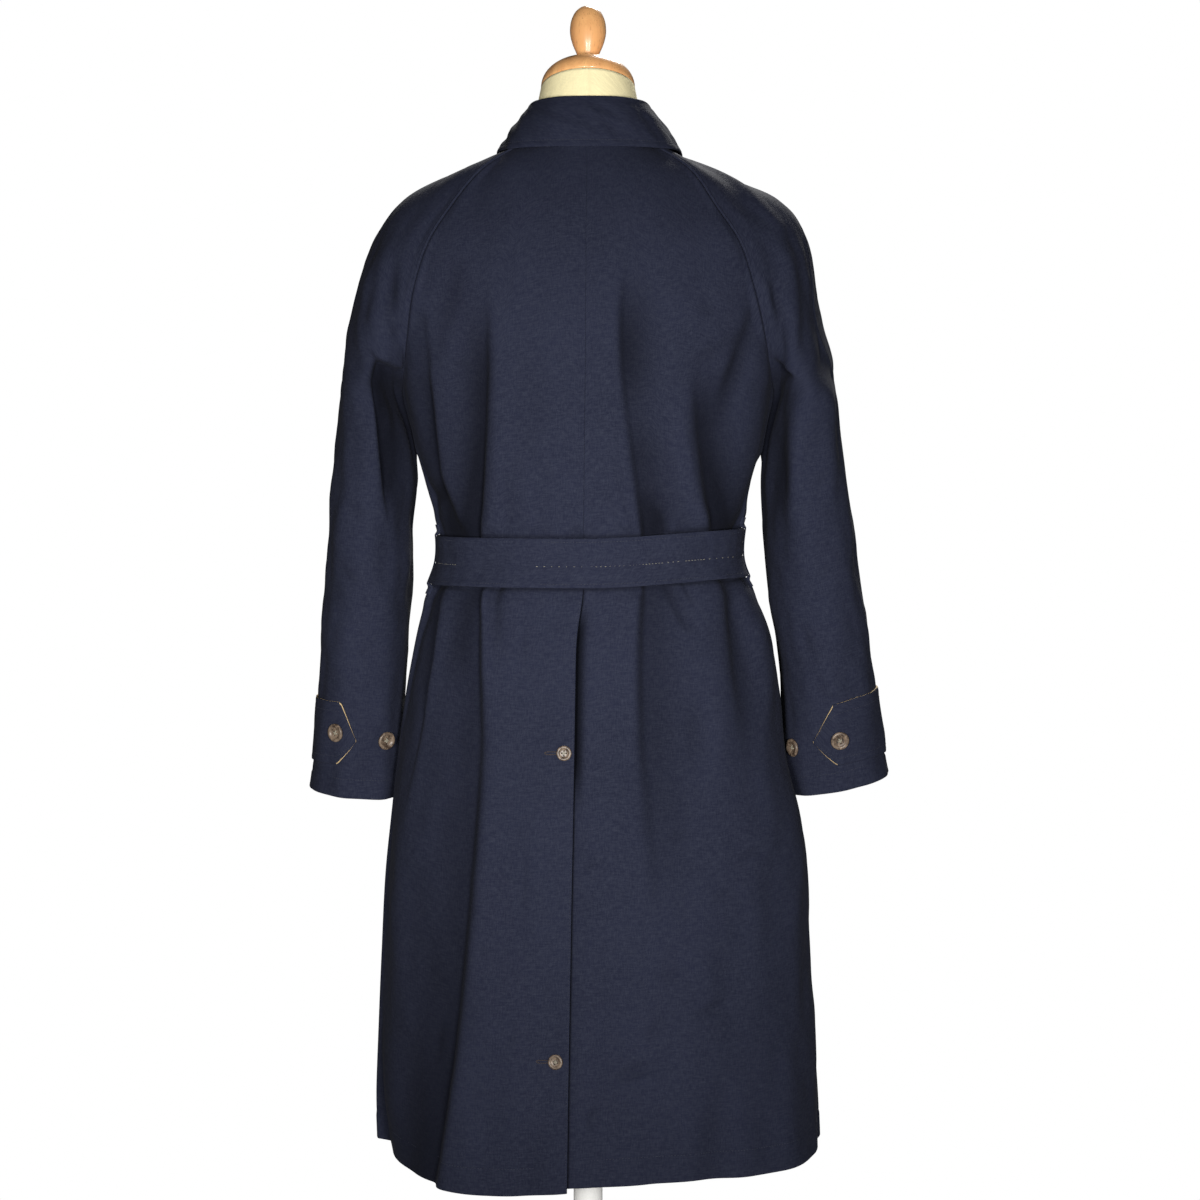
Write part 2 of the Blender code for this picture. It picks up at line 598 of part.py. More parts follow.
def collar_frames():
    """For each neckline point: the point, the fold's top, the leaf's edge, and the way outward."""
    line = neckline()
    middle = len(line) // 2
    frames = []
    for side, points in ((RIGHT, line[middle::-1]), (LEFT, line[middle:])):
        lengths = [0.0]
        for start, end in zip(points, points[1:]):
            lengths.append(lengths[-1] + (end - start).length)
        half = []
        for point, length in zip(points, lengths):
            low, share = bracket([row[0] for row in COLLAR], length / lengths[-1])
            _, fold_x, fold_y, fold_z, leaf_x, leaf_y, leaf_z = smooth_row(COLLAR, low + share)
            fold = Vector((side * fold_x, fold_y, fold_z)) + COLLAR_SHIFT
            leaf = Vector((side * leaf_x, leaf_y, leaf_z)) + COLLAR_SHIFT
            half.append((point, fold, leaf))
        frames.append(half)
    stations = frames[0][:0:-1] + frames[1]
    folds = [fold for _, fold, _ in stations]
    result = []
    for number, (point, fold, leaf) in enumerate(stations):
        ahead, behind = folds[min(number + 1, len(folds) - 1)], folds[max(number - 1, 0)]
        along = ahead - behind
        result.append((point, fold, leaf, Vector((-along.y, along.x, 0)).normalized()))
    return result


def grid_normals(grid):
    """Unit normals of a grid of points."""
    last_row, last_column = len(grid) - 1, len(grid[0]) - 1
    normals = []
    for row in range(last_row + 1):
        line = []
        for column in range(last_column + 1):
            up = grid[min(row + 1, last_row)][column] - grid[max(row - 1, 0)][column]
            across = grid[row][min(column + 1, last_column)] - grid[row][max(column - 1, 0)]
            line.append(up.cross(across).normalized())
        normals.append(line)
    return normals


def build_collar():
    """The stand rises from the neckline, and the fall turns over it and down to the leaf's edge."""
    frames = collar_frames()
    low, high = [], []
    for point, fold, _, out in frames:
        top = fold - out * FOLD_WIDTH / 2 - Vector((0, 0, STAND_DROP + SEAM_GAP)) + out * WALL
        low.append(point + (top - point).normalized() * SEAM_GAP)
        high.append(top)
    middle = [start.lerp(end, 0.5) for start, end in zip(low, high)]
    outer = [low, middle, high]
    inner = [[spot - out * WALL for spot, (_, _, _, out) in zip(line, frames)] for line in outer]
    shell_object("collar_stand", outer, inner, NAVY)
    outer = []
    for share, outward, upward in FALL_PROFILE:
        outer.append([fold.lerp(leaf, share) + out * outward + Vector((0, 0, upward))
                      for _, fold, leaf, out in frames])
    normals = grid_normals(outer)
    sign = 1 if normals[-1][len(frames) // 2].y > 0 else -1
    inner = [[spot - normal * WALL * sign for spot, normal in zip(line, row)]
             for line, row in zip(outer, normals)]
    shell_object("collar_fall", outer, inner, NAVY)


# ---------------------------------------------------------------- belt

BELT_LOW, BELT_HEIGHT = 1.0325, 0.050
BELT_WALL = 0.0022
BELT_RISE = 0.0075        # how much higher the belt sits on the wearer's right
TAIL = (                  # the belt's last stretch, over the buckle's bar and on over its start
    # side, share along the row, lift
    (RIGHT, 0.16, 0.0005),
    (RIGHT, 0.07, 0.0030),
    (RIGHT, 0.035, 0.0050),
    (LEFT, 0.0, 0.0053),
    (LEFT, 0.035, 0.0046),
    (LEFT, 0.07, 0.0033),
    (LEFT, 0.16, 0.0033),
    (LEFT, 0.27, 0.0033),
    (LEFT, 0.38, 0.0033),
    (LEFT, 0.50, 0.0033),
)


def belt_rise(quarter, along):
    """How much higher the belt lies at a place round the waist than at the centre."""
    return BELT_RISE * fade(-quarter.point(WAIST_MIDDLE, along).x, BODY[WAIST_MIDDLE][2])


def belt_column(quarter, along, lift):
    """Points up the belt at one place round the waist: lower edge, the body's row, upper edge."""
    low = BELT_LOW + belt_rise(quarter, along)
    places = (waist_place(low), WAIST_MIDDLE, waist_place(low + BELT_HEIGHT))
    return [facet_spot(quarter, BODY_COLUMNS, place, along, lift) for place in places]


def build_belt():
    """One band, once round the waist and past the front's centre, where its tail laps over."""
    stations = [(LEFT, FRONT, along, LAP_GAP) for along in BODY_COLUMNS]
    stations += [(LEFT, BACK, along, LAP_GAP) for along in BODY_COLUMNS[-2::-1]]
    stations += [(RIGHT, BACK, along, LAP_GAP) for along in BODY_COLUMNS[1:]]
    stations += [(RIGHT, FRONT, along, LAP_GAP) for along in BODY_COLUMNS[-2:3:-1]]
    stations += [(side, FRONT, along, lift) for side, along, lift in TAIL]

    def grid(extra):
        columns = [belt_column(BODY_QUARTERS[side, face], along, lift + extra)
                   for side, face, along, lift in stations]
        return [list(row) for row in zip(*columns)]

    shell_object("belt", grid(BELT_WALL), grid(0), NAVY)


LOOP_WIDTH = 0.010
LOOP_WALL = 0.0012
LOOP_END, LOOP_BEND, LOOP_ROOM = 0.0110, 0.0040, 0.0012      # beyond the belt's edges
LOOP_LOW_LIFT, LOOP_HIGH_LIFT = 0.0006, 0.0032                 # of its inner side


def build_belt_loops():
    """A loop at each side seam, sewn above and below the belt."""
    offsets = ((LOOP_END, LOOP_LOW_LIFT), (LOOP_BEND, LOOP_LOW_LIFT), (LOOP_ROOM, LOOP_HIGH_LIFT))
    for side, name in ((LEFT, "belt_loop_left"), (RIGHT, "belt_loop_right")):
        back, front = BODY_QUARTERS[side, BACK], BODY_QUARTERS[side, FRONT]
        step = LOOP_WIDTH / 2 / (3 * FULLNESS * BODY[WAIST_MIDDLE][3])
        low = BELT_LOW + belt_rise(back, 1)
        path = [(waist_place(low - beyond), lift) for beyond, lift in offsets]
        path.append((WAIST_MIDDLE, LOOP_HIGH_LIFT))
        path += [(waist_place(low + BELT_HEIGHT + beyond), lift) for beyond, lift in reversed(offsets)]

        def grid(extra):
            return [[facet_spot(quarter, BODY_COLUMNS, place, along, lift + extra)
                     for quarter, along in ((front, 1 - step), (back, 1), (back, 1 - step))]
                    for place, lift in path]

        shell_object(name, grid(LOOP_WALL), grid(0), NAVY)


BUCKLE_HALF_WIDTH, BUCKLE_HALF_HEIGHT = 0.025, 0.031
BUCKLE_RAIL = 0.004                      # width of its rails and bar
BUCKLE_BAR_LIFT, BUCKLE_RAIL_LIFT = 0.0032, 0.0060           # of their inner sides, off the coat
BUCKLE_RAIL_DEPTH, BUCKLE_BAR_DEPTH = 0.0025, 0.0016
# How much smaller each kind of part is than the frame, so that no two of their faces share a plane.
BUCKLE_END_INSET, BUCKLE_SIDE_INSET, BUCKLE_BAR_INSET = 0.0003, 0.0005, 0.0010


def box(name, low, high):
    """Box between two corners, kept as a joined piece's part."""
    mesh = bmesh.new()
    size = Vector(high) - Vector(low)
    bmesh.ops.create_cube(mesh, size=1, matrix=Matrix.LocRotScale(
        (Vector(high) + Vector(low)) / 2, None, size))
    return mesh_object(name, mesh, HORN)


def build_buckle():
    """Slide buckle: two side rails, upper and lower rails, and a lower centre bar."""
    middle_z = BELT_LOW + BELT_HEIGHT / 2
    face_y = BODY_QUARTERS[LEFT, FRONT].point(waist_place(middle_z), 0).y
    bar_y, rail_y = face_y - BUCKLE_BAR_LIFT, face_y - BUCKLE_RAIL_LIFT
    outer_y = rail_y - BUCKLE_RAIL_DEPTH
    half_rail = BUCKLE_RAIL / 2
    bar_reach = BUCKLE_HALF_HEIGHT - BUCKLE_BAR_INSET
    frame = box("belt_buckle", (-half_rail, bar_y - BUCKLE_BAR_DEPTH, middle_z - bar_reach),
                (half_rail, bar_y, middle_z + bar_reach))
    side_reach = BUCKLE_HALF_HEIGHT - BUCKLE_SIDE_INSET
    end_reach = BUCKLE_HALF_WIDTH - BUCKLE_END_INSET
    parts = []
    for sign in (1, -1):
        side_x = sign * (BUCKLE_HALF_WIDTH - half_rail)
        parts.append(box("side_rail", (side_x - half_rail, outer_y, middle_z - side_reach),
                         (side_x + half_rail, rail_y, middle_z + side_reach)))
        end_z = middle_z + sign * (BUCKLE_HALF_HEIGHT - half_rail)
        parts.append(box("end_rail", (-end_reach, outer_y + BUCKLE_END_INSET, end_z - half_rail),
                         (end_reach, bar_y - BUCKLE_END_INSET, end_z + half_rail)))
    for part in parts:
        join = frame.modifiers.new("join", "BOOLEAN")
        join.operation = "UNION"
        join.object = part
        part.hide_render = True
        part.display_type = "WIRE"


# ---------------------------------------------------------------- cuff straps

STRAP_WALL = 0.0020
# Columns of each strap, from its pointed tip at the back, round the outside, to the front: the
# sleeve's half, share along its row, and the strap's lower and upper edge as fractional rows.
STRAPS = {
    LEFT: ((BACK, 0.50, 1.44, 1.46), (BACK, 0.625, 1.13, 1.90), (BACK, 0.75, 1.12, 1.90),
           (BACK, 0.875, 1.12, 1.90), (BACK, 1.0, 1.12, 1.90), (FRONT, 0.875, 1.12, 1.90),
           (FRONT, 0.75, 1.12, 1.90), (FRONT, 0.625, 1.12, 1.90), (FRONT, 0.50, 1.12, 1.90)),
    RIGHT: ((BACK, 0.35, 1.39, 1.41), (BACK, 0.375, 1.33, 1.47), (BACK, 0.50, 1.02, 1.80),
            (BACK, 0.625, 1.02, 1.82), (BACK, 0.75, 1.02, 1.84), (BACK, 0.875, 1.02, 1.86),
            (BACK, 1.0, 1.02, 1.88), (FRONT, 0.875, 1.02, 1.88), (FRONT, 0.75, 1.02, 1.88),
            (FRONT, 0.625, 1.02, 1.88), (FRONT, 0.50, 1.02, 1.88)),
}


def strap_grid(side, lift):
    """Points of a strap's face, from its lower edge to its upper one."""
    quarters = SLEEVE_QUARTERS
    return [[facet_spot(quarters[side, face], SLEEVE_COLUMNS, low + (high - low) * share, along, lift)
             for face, along, low, high in STRAPS[side]] for share in (0, 0.5, 1)]


def build_cuff_straps():
    """A pointed tab on each cuff, sewn in at its front end."""
    for side, name in ((LEFT, "cuff_strap_left"), (RIGHT, "cuff_strap_right")):
        shell_object(name, strap_grid(side, LAP_GAP + STRAP_WALL), strap_grid(side, LAP_GAP), NAVY)


# ---------------------------------------------------------------- buttons

BUTTON_PROFILE = (        # radius and height as shares of the button's radius, rim to middle
    (0.00, 0.22), (0.55, 0.22), (0.68, 0.34), (0.88, 0.36), (1.00, 0.24), (0.94, 0.08), (0.60, 0.0),
    (0.00, 0.00),
)
BUTTON_SIDES = 16
SMALL_BUTTON, LARGE_BUTTON = 0.015, 0.019        # diameters
FRONT_BUTTON = 0.023


def build_button(name, spot, normal, diameter):
    """Turned button with a raised rim, its flat back just off the spot."""
    radius = diameter / 2
    button = turned(name, [(across * radius, up * radius) for across, up in BUTTON_PROFILE],
                    BUTTON_SIDES, HORN)
    button.location = spot + normal * LAP_GAP
    button.rotation_euler = normal.to_track_quat("Z", "Y").to_euler()


def facet_normal(quarter, columns, place, along):
    """Normal of the flat facet at a place, from points near it on the facet's own corners."""
    column, _ = bracket(columns, along)
    row = min(int(place), len(quarter.rows) - 2)
    low_left = quarter.point(row, columns[column])
    low_right = quarter.point(row, columns[column + 1])
    high_left = quarter.point(row + 1, columns[column])
    high_right = quarter.point(row + 1, columns[column + 1])
    up = high_left + high_right - low_left - low_right
    across = low_right + high_right - low_left - high_left
    return (up.cross(across) * quarter.side * quarter.face).normalized()


# Cuff buttons: name, side, share along the sleeve's back rows, fractional row, and whether the
# button sits on the strap.
CUFF_BUTTONS = (
    ("cuff_button_left_strap", LEFT, 0.64, 1.53, True),
    ("cuff_button_left_spare", LEFT, 0.27, 1.46, False),
    ("cuff_button_right_strap", RIGHT, 0.52, 1.38, True),
    ("cuff_button_right_spare", RIGHT, 0.19, 1.36, False),
)
# Vent buttons: name, height, and how far in from the vent's edge.
VENT_BUTTONS = (("vent_button_upper", 0.870, 0.0100), ("vent_button_lower", 0.566, 0.0130))
FRONT_BUTTON_HEIGHTS = (1.375, 1.260, 1.145, 0.950, 0.830)


def body_place(quarter, along, height):
    """Fractional row of a body quarter at a height, found on its flat facets."""
    heights = [quarter.point(row, along).z for row in range(len(quarter.rows))]
    low, share = bracket(heights, height)
    return low + share


def build_buttons():
    """Two on each cuff, two on the vent, and a row of five down the front."""
    for name, side, along, place, on_strap in CUFF_BUTTONS:
        quarter = SLEEVE_QUARTERS[side, BACK]
        lift = LAP_GAP + STRAP_WALL if on_strap else 0
        spot = facet_spot(quarter, SLEEVE_COLUMNS, place, along, lift)
        build_button(name, spot, facet_normal(quarter, SLEEVE_COLUMNS, place, along), LARGE_BUTTON)
    for name, height, inset in VENT_BUTTONS:
        quarter = BODY_QUARTERS[LEFT, BACK]
        place = body_place(quarter, 0, height)
        beside = BODY_COLUMNS[2]
        width = quarter.point(place, beside).x - quarter.point(place, 0).x
        along = beside * inset / width
        spot = facet_spot(quarter, BODY_COLUMNS, place, along, 0)
        build_button(name, spot, facet_normal(quarter, BODY_COLUMNS, place, along), SMALL_BUTTON)
    for number, height in enumerate(FRONT_BUTTON_HEIGHTS, 1):
        quarter = BODY_QUARTERS[LEFT, FRONT]
        place = body_place(quarter, 0, height)
        spot, normal = facet_spot(quarter, BODY_COLUMNS, place, 0, 0), quarter.normal(place, 0)
        build_button(f"front_button_{number}", spot, normal, FRONT_BUTTON)


# ---------------------------------------------------------------- dress form and stand

FORM = (
    # back_z, side_z, front_z, half_width, back_y, front_y
    (0.800, 0.800, 0.800, 0.150, 0.098, 0.102),
    (0.825, 0.825, 0.825, 0.163, 0.108, 0.111),
    (0.920, 0.920, 0.920, 0.165, 0.111, 0.113),
    (1.000, 1.000, 1.000, 0.149, 0.099, 0.101),
    (1.060, 1.060, 1.060, 0.139, 0.091, 0.094),
    (1.130, 1.130, 1.130, 0.146, 0.099, 0.102),
    (1.210, 1.210, 1.210, 0.158, 0.110, 0.115),
    (1.290, 1.290, 1.265, 0.168, 0.115, 0.118),
    (1.345, 1.350, 1.300, 0.178, 0.112, 0.114),
    (1.385, 1.398, 1.328, 0.184, 0.104, 0.107),
)
SHOULDERS = ((4, 0.0), (5, 0.0), (6, 0.0005), (7, 0.0040))       # yoke levels on the form, and room
CENTRE_ROOM = 0.0045                     # more room towards the centre lines, for the front's lap
NECK = (
    # back_y, back_z, half_width, side_y, side_z, front_y, front_z
    (0.0590, 1.5020, 0.0600, -0.002, 1.4930, -0.0700, 1.4520),
    (0.0560, 1.5220, 0.0548, -0.004, 1.5130, -0.0655, 1.4820),
    (0.0465, 1.5580, 0.0485, -0.0065, 1.5420, -0.0595, 1.5260),
)
OVAL_HANDLE = 0.56                       # handles that round a quarter of an oval


def oval_ring(back, side_left, side_right, front):
    """Ring of the form through four points, from the back's centre by the wearer's left."""
    count = len(BODY_COLUMNS[::2]) + len(SLEEVE_COLUMNS[2::2]) - 1
    ring = []
    for centre, side, outward in ((back, side_left, True), (front, side_left, False),
                                  (front, side_right, True), (back, side_right, False)):
        across = Vector((side.x - centre.x, 0, 0)) * OVAL_HANDLE
        along = Vector((0, centre.y - side.y, centre.z - side.z)) * OVAL_HANDLE
        row = (centre, centre + across, side + along, side)
        shares = [step / count for step in range(count)]
        ring += [cubic(row, share if outward else 1 - share) for share in shares]
    return ring


def cloth_ring(level, room):
    """Ring of the form just inside the coat's yoke, with room added to the gap."""
    body_row = len(BODY) + level
    sleeve_row = len(SLEEVE[LEFT]) + level
    inset = WALL + REST_GAP + room
    ring = []
    for side in (LEFT, RIGHT):
        faces = []
        for face in (BACK, FRONT):
            body, sleeve = BODY_QUARTERS[side, face], SLEEVE_QUARTERS[side, face]
            line = [body.spot(body_row, along, -inset - CENTRE_ROOM * (1 - along))[0]
                    for along in BODY_COLUMNS[::2]]
            line += [sleeve.spot(sleeve_row, along, -inset)[0] for along in SLEEVE_COLUMNS[2::2]]
            faces.append(line)
        back, front = faces
        half = back + front[-2::-1]
        ring += half[:-1] if side == LEFT else half[:0:-1]
    return ring


def ring_loft(name, rings, material):
    """Closed solid through rings of points, with flat ends."""
    mesh = bmesh.new()
    loops = [[mesh.verts.new(point) for point in ring] for ring in rings]
    count = len(loops[0])
    for low, high in zip(loops, loops[1:]):
        for i in range(count):
            mesh.faces.new([low[i], low[(i + 1) % count], high[(i + 1) % count], high[i]])
    mesh.faces.new(list(reversed(loops[0])))
    mesh.faces.new(loops[-1])
    bmesh.ops.recalc_face_normals(mesh, faces=mesh.faces)
    return mesh_object(name, mesh, material)


def form_ring(back_y, back_z, half_width, side_y, side_z, front_y, front_z):
    """Ring of the form that is the same on both sides."""
    return oval_ring(Vector((0, back_y, back_z)), Vector((half_width, side_y, side_z)),
                     Vector((-half_width, side_y, side_z)), Vector((0, front_y, front_z)))


def build_form():
    """Limbless torso, from below the hips to the neck's slanted top."""
    rings = []
    for back_z, side_z, front_z, half_width, back_y, front_y in FORM:
        rings.append(form_ring(back_y, back_z, half_width, 0, side_z, -front_y, front_z))
    rings += [cloth_ring(level, room) for level, room in SHOULDERS]
    rings += [form_ring(*sizes) for sizes in NECK]
    ring_loft("form_torso", rings, CALICO)


CAP_HEIGHT = 0.029
CAP_SQUARENESS = 0.88     # 1 is an ellipse, less is squarer
CAP_STEPS = (0, 12, 24, 38, 52, 66, 78)          # degrees from the top, down to the rim
# Outlines of turned parts: radius, height.
FINIAL = ((0.0, 0.0628), (0.0085, 0.0605), (0.0145, 0.0540), (0.0178, 0.0455), (0.01875, 0.0370),
          (0.0183, 0.0300), (0.0160, 0.0210), (0.0125, 0.0120), (0.0103, 0.0060), (0.0115, 0.0030),
          (0.0115, 0.0), (0.0, 0.0))
POLE_RADIUS = 0.015
FOOT = ((0.0, 0.050), (0.024, 0.050), (0.028, 0.044), (0.034, 0.026), (0.060, 0.020), (0.185, 0.016),
        (0.197, 0.011), (0.200, 0.004), (0.198, 0.0), (0.0, 0.0))
FOOT_TOP = FOOT[0][1]


def build_stand():
    """Wooden neck cap and finial, on the neck's slanted top, and the pole and foot below."""
    back_y, back_z, half_width, side_y, side_z, front_y, front_z = NECK[-1]
    back, front = Vector((0, back_y, back_z)), Vector((0, front_y, front_z))
    lean = math.atan2(back_z - front_z, back_y - front_y)
    half_depth = (back - front).length / 2
    centre = (back + front) / 2
    axis = Vector((0, -math.sin(lean), math.cos(lean)))
    steps = [math.radians(angle) for angle in CAP_STEPS]
    dome = [(half_width * math.sin(angle) ** CAP_SQUARENESS,
             CAP_HEIGHT * math.cos(angle) ** CAP_SQUARENESS) for angle in steps]
    cap = turned("neck_cap", dome + [(half_width, 0.0), (0.0, 0.0)], 32, HONEY_WOOD)
    cap.location = centre + axis * SEAM_GAP
    cap.rotation_euler = (lean, 0, 0)
    cap.scale = (1, half_depth / half_width, 1)
    finial = turned("finial", FINIAL, 20, HONEY_WOOD)
    finial.location = centre + axis * (CAP_HEIGHT + 2 * SEAM_GAP)
    finial.rotation_euler = (lean, 0, 0)
    turned("stand_foot", FOOT, 48, IRON)
    bottom = FORM[0][0] - SEAM_GAP
    low = FOOT_TOP + SEAM_GAP
    turned("stand_pole", ((0.0, bottom), (POLE_RADIUS, bottom), (POLE_RADIUS, low), (0.0, low)), 20,
           IRON)


build_back_left()
build_back_right()
build_front_left()
build_front_right()
build_sleeves()
build_collar()
build_belt()
build_belt_loops()
build_buckle()
build_cuff_straps()
build_buttons()
build_form()
build_stand()
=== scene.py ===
"""The finish of a belted raglan mackintosh on its limbless dress form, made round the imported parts.

Metres, +Z up. The wearer faces -Y, and the wearer's left is +X. The cloth is made of thin shells on
the same eight quarters as the solids: back and front, left and right, of the body and the sleeves.
"""

import math

import bmesh
import bpy
import numpy as np
from mathutils import Matrix, Vector


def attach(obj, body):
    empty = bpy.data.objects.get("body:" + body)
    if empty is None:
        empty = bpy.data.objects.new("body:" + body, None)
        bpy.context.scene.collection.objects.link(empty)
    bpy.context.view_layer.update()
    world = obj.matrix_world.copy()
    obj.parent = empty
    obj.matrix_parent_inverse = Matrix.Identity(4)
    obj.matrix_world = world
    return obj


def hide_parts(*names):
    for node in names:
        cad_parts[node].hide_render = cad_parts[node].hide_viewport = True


bl_info = {
    "name": "Mackintosh on a dress form",
    "version": (1, 0, 0),
    "blender": (4, 5, 0),
    "location": "3D View > Sidebar > Mackintosh",
    "description": "Cloth, trim and stand of a belted raglan mackintosh, "
                   "made round its packed parts",
    "category": "Object",
}

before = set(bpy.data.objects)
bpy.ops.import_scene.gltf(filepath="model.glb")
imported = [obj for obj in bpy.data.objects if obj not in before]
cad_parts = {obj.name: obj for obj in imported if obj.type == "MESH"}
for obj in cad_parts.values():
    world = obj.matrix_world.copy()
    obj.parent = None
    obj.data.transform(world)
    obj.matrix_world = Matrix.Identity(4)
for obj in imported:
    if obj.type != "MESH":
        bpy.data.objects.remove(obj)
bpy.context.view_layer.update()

# ---------------------------------------------------------------- sizes shared with the solids

WALL = 0.0014             # a cloth shell's thickness
SEAM_GAP = 0.0003
LAP_GAP = 0.0005
LEFT, RIGHT = 1, -1       # the wearer's sides, as the sign of X
BACK, FRONT = 1, -1       # as the sign of Y
FULLNESS = 0.60           # length of a body row's handles, as a share of its half-width or depth
TUBE_HANDLE = 4 / 3       # a half-round row's handles, as a multiple of its depth
CENTRE_HANDLE = 0.5
CUFF_DROOP = 0.0055

# Body, hem to armpit: height, half-widths on the wearer's left and right, depths, back centre line.
BODY = (
    # height, left, right, back, front, centre_x
    (0.445, 0.2195, 0.2410, 0.160, 0.164, 0.0200),
    (0.505, 0.2205, 0.2390, 0.158, 0.161, 0.0192),
    (0.570, 0.2180, 0.2345, 0.154, 0.157, 0.0182),
    (0.650, 0.2145, 0.2295, 0.150, 0.152, 0.0168),
    (0.730, 0.2105, 0.2265, 0.146, 0.147, 0.0155),
    (0.790, 0.2045, 0.2205, 0.141, 0.142, 0.0143),
    (0.855, 0.1970, 0.2050, 0.136, 0.137, 0.0132),
    (0.920, 0.1885, 0.1985, 0.129, 0.131, 0.0122),
    (0.980, 0.1775, 0.1862, 0.120, 0.122, 0.0108),
    (1.024, 0.1655, 0.1705, 0.112, 0.1092, 0.0050),
    (1.058, 0.1545, 0.1580, 0.108, 0.1090, 0.0040),
    (1.095, 0.1560, 0.1600, 0.109, 0.1092, 0.0040),
    (1.135, 0.1675, 0.1675, 0.115, 0.1160, 0.0035),
    (1.180, 0.1785, 0.1795, 0.122, 0.1240, 0.0030),
    (1.225, 0.1895, 0.1895, 0.128, 0.131, 0.0025),
)
WAIST_MIDDLE = 10
# The hem's heights: at each quarter's first seam, its two handles and its side seam.
HEM = {
    (LEFT, BACK): (0.4365, 0.423, 0.435, 0.456),
    (RIGHT, BACK): (0.4405, 0.451, 0.432, 0.459),
    (LEFT, FRONT): (0.4460, 0.444, 0.442, 0.456),
    (RIGHT, FRONT): (0.4460, 0.446, 0.442, 0.459),
}
# Yoke, from just above the armpit to the neckline.
CENTRES = (
    # back_y, back_z, front_y, front_z, centre_x
    (0.1300, 1.270, -0.1300, 1.248, 0.0020),
    (0.1305, 1.310, -0.1280, 1.272, 0.0020),
    (0.1270, 1.350, -0.1240, 1.298, 0.0015),
    (0.1190, 1.388, -0.1180, 1.325, 0.0015),
    (0.1080, 1.420, -0.1100, 1.355, 0.0010),
    (0.0930, 1.448, -0.1000, 1.385, 0.0010),
    (0.0770, 1.472, -0.0880, 1.410, 0.0010),
    (0.0660, 1.489, -0.0780, 1.432, 0.0005),
)
BACK_SEAM = (
    # left_x, right_x, y, z, body_turn, body_reach, sleeve_turn, sleeve_reach
    (0.1880, 0.1870, 0.040, 1.247, 80, 0.062, 78, 0.062),
    (0.1820, 0.1790, 0.073, 1.285, 52, 0.050, 44, 0.040),
    (0.1745, 0.1675, 0.091, 1.332, 20, 0.050, -4, 0.030),
    (0.1600, 0.1530, 0.090, 1.378, 17, 0.048, -17, 0.030),
    (0.1370, 0.1290, 0.080, 1.416, 21, 0.040, -21, 0.030),
    (0.1120, 0.1080, 0.067, 1.449, 28, 0.034, -28, 0.024),
    (0.0890, 0.0860, 0.054, 1.468, 36, 0.026, -38, 0.016),
    (0.0580, 0.0580, 0.040, 1.4855, 48, 0.019, -52, 0.012),
)
FRONT_SEAM = (
    (0.1860, 0.1860, -0.042, 1.247, 80, 0.062, 78, 0.062),
    (0.1760, 0.1760, -0.076, 1.283, 52, 0.050, 42, 0.042),
    (0.1620, 0.1620, -0.095, 1.320, 20, 0.050, -4, 0.036),
    (0.1430, 0.1430, -0.097, 1.358, 16, 0.045, -16, 0.034),
    (0.1220, 0.1220, -0.089, 1.392, 20, 0.038, -20, 0.034),
    (0.1000, 0.1000, -0.079, 1.420, 25, 0.032, -26, 0.030),
    (0.0780, 0.0780, -0.067, 1.440, 33, 0.025, -36, 0.022),
    (0.0520, 0.0520, -0.054, 1.452, 42, 0.019, -50, 0.016),
)
OVERARM = (
    # z, left_x, right_x, left_y, right_y, right_turn, reach
    (1.2620, 0.2510, 0.2480, -0.006, 0.016, 15, 0.092),
    (1.3030, 0.2457, 0.2320, -0.008, 0.032, 20, 0.070),
    (1.3500, 0.2345, 0.2272, -0.008, 0.030, 17, 0.056),
    (1.3980, 0.2138, 0.2200, -0.007, 0.010, 8, 0.050),
    (1.4265, 0.1906, 0.1970, -0.006, -0.004, 0, 0.042),
    (1.4485, 0.1519, 0.1510, -0.005, -0.005, 0, 0.035),
    (1.4665, 0.1074, 0.1090, -0.004, -0.004, 0, 0.028),
    (1.4810, 0.0700, 0.0700, -0.004, -0.004, 0, 0.018),
)
# Sleeves, cuff to armpit.
SLEEVE = {
    LEFT: (
        # inner_x, inner_z, outer_x, outer_z, middle_y, depth
        (0.1960, 0.8100, 0.2919, 0.8175, -0.050, 0.0560),
        (0.1935, 0.8340, 0.2882, 0.8400, -0.048, 0.0570),
        (0.1915, 0.9150, 0.2821, 0.9200, -0.040, 0.0620),
        (0.1885, 0.9730, 0.2780, 0.9750, -0.034, 0.0660),
        (0.1834, 1.0290, 0.2742, 1.0300, -0.027, 0.0690),
        (0.1825, 1.0850, 0.2692, 1.0850, -0.020, 0.0720),
        (0.1768, 1.1400, 0.2642, 1.1400, -0.012, 0.0750),
        (0.1818, 1.1900, 0.2584, 1.1900, -0.005, 0.0775),
        (0.1903, 1.2250, 0.2545, 1.2280, 0.000, 0.0780),
    ),
    RIGHT: (
        (0.2095, 0.8110, 0.3157, 0.8323, -0.050, 0.0560),
        (0.2060, 0.8340, 0.3110, 0.8540, -0.048, 0.0570),
        (0.2025, 0.9150, 0.2988, 0.9320, -0.040, 0.0620),
        (0.1963, 0.9730, 0.2925, 0.9790, -0.034, 0.0660),
        (0.1870, 1.0290, 0.2840, 1.0320, -0.027, 0.0690),
        (0.1818, 1.0850, 0.2758, 1.0850, -0.020, 0.0720),
        (0.1788, 1.1400, 0.2678, 1.1400, -0.012, 0.0750),
        (0.1830, 1.1900, 0.2604, 1.1900, -0.005, 0.0775),
        (0.1903, 1.2250, 0.2557, 1.2280, 0.004, 0.0780),
    ),
}
VENT_TOP = 9.0                                    # body row where the vent opens

BELT_LOW, BELT_HEIGHT = 1.0325, 0.050
BELT_WALL = 0.0022
BELT_RISE = 0.0075        # how much higher the belt sits on the wearer's right

# ---------------------------------------------------------------- creases

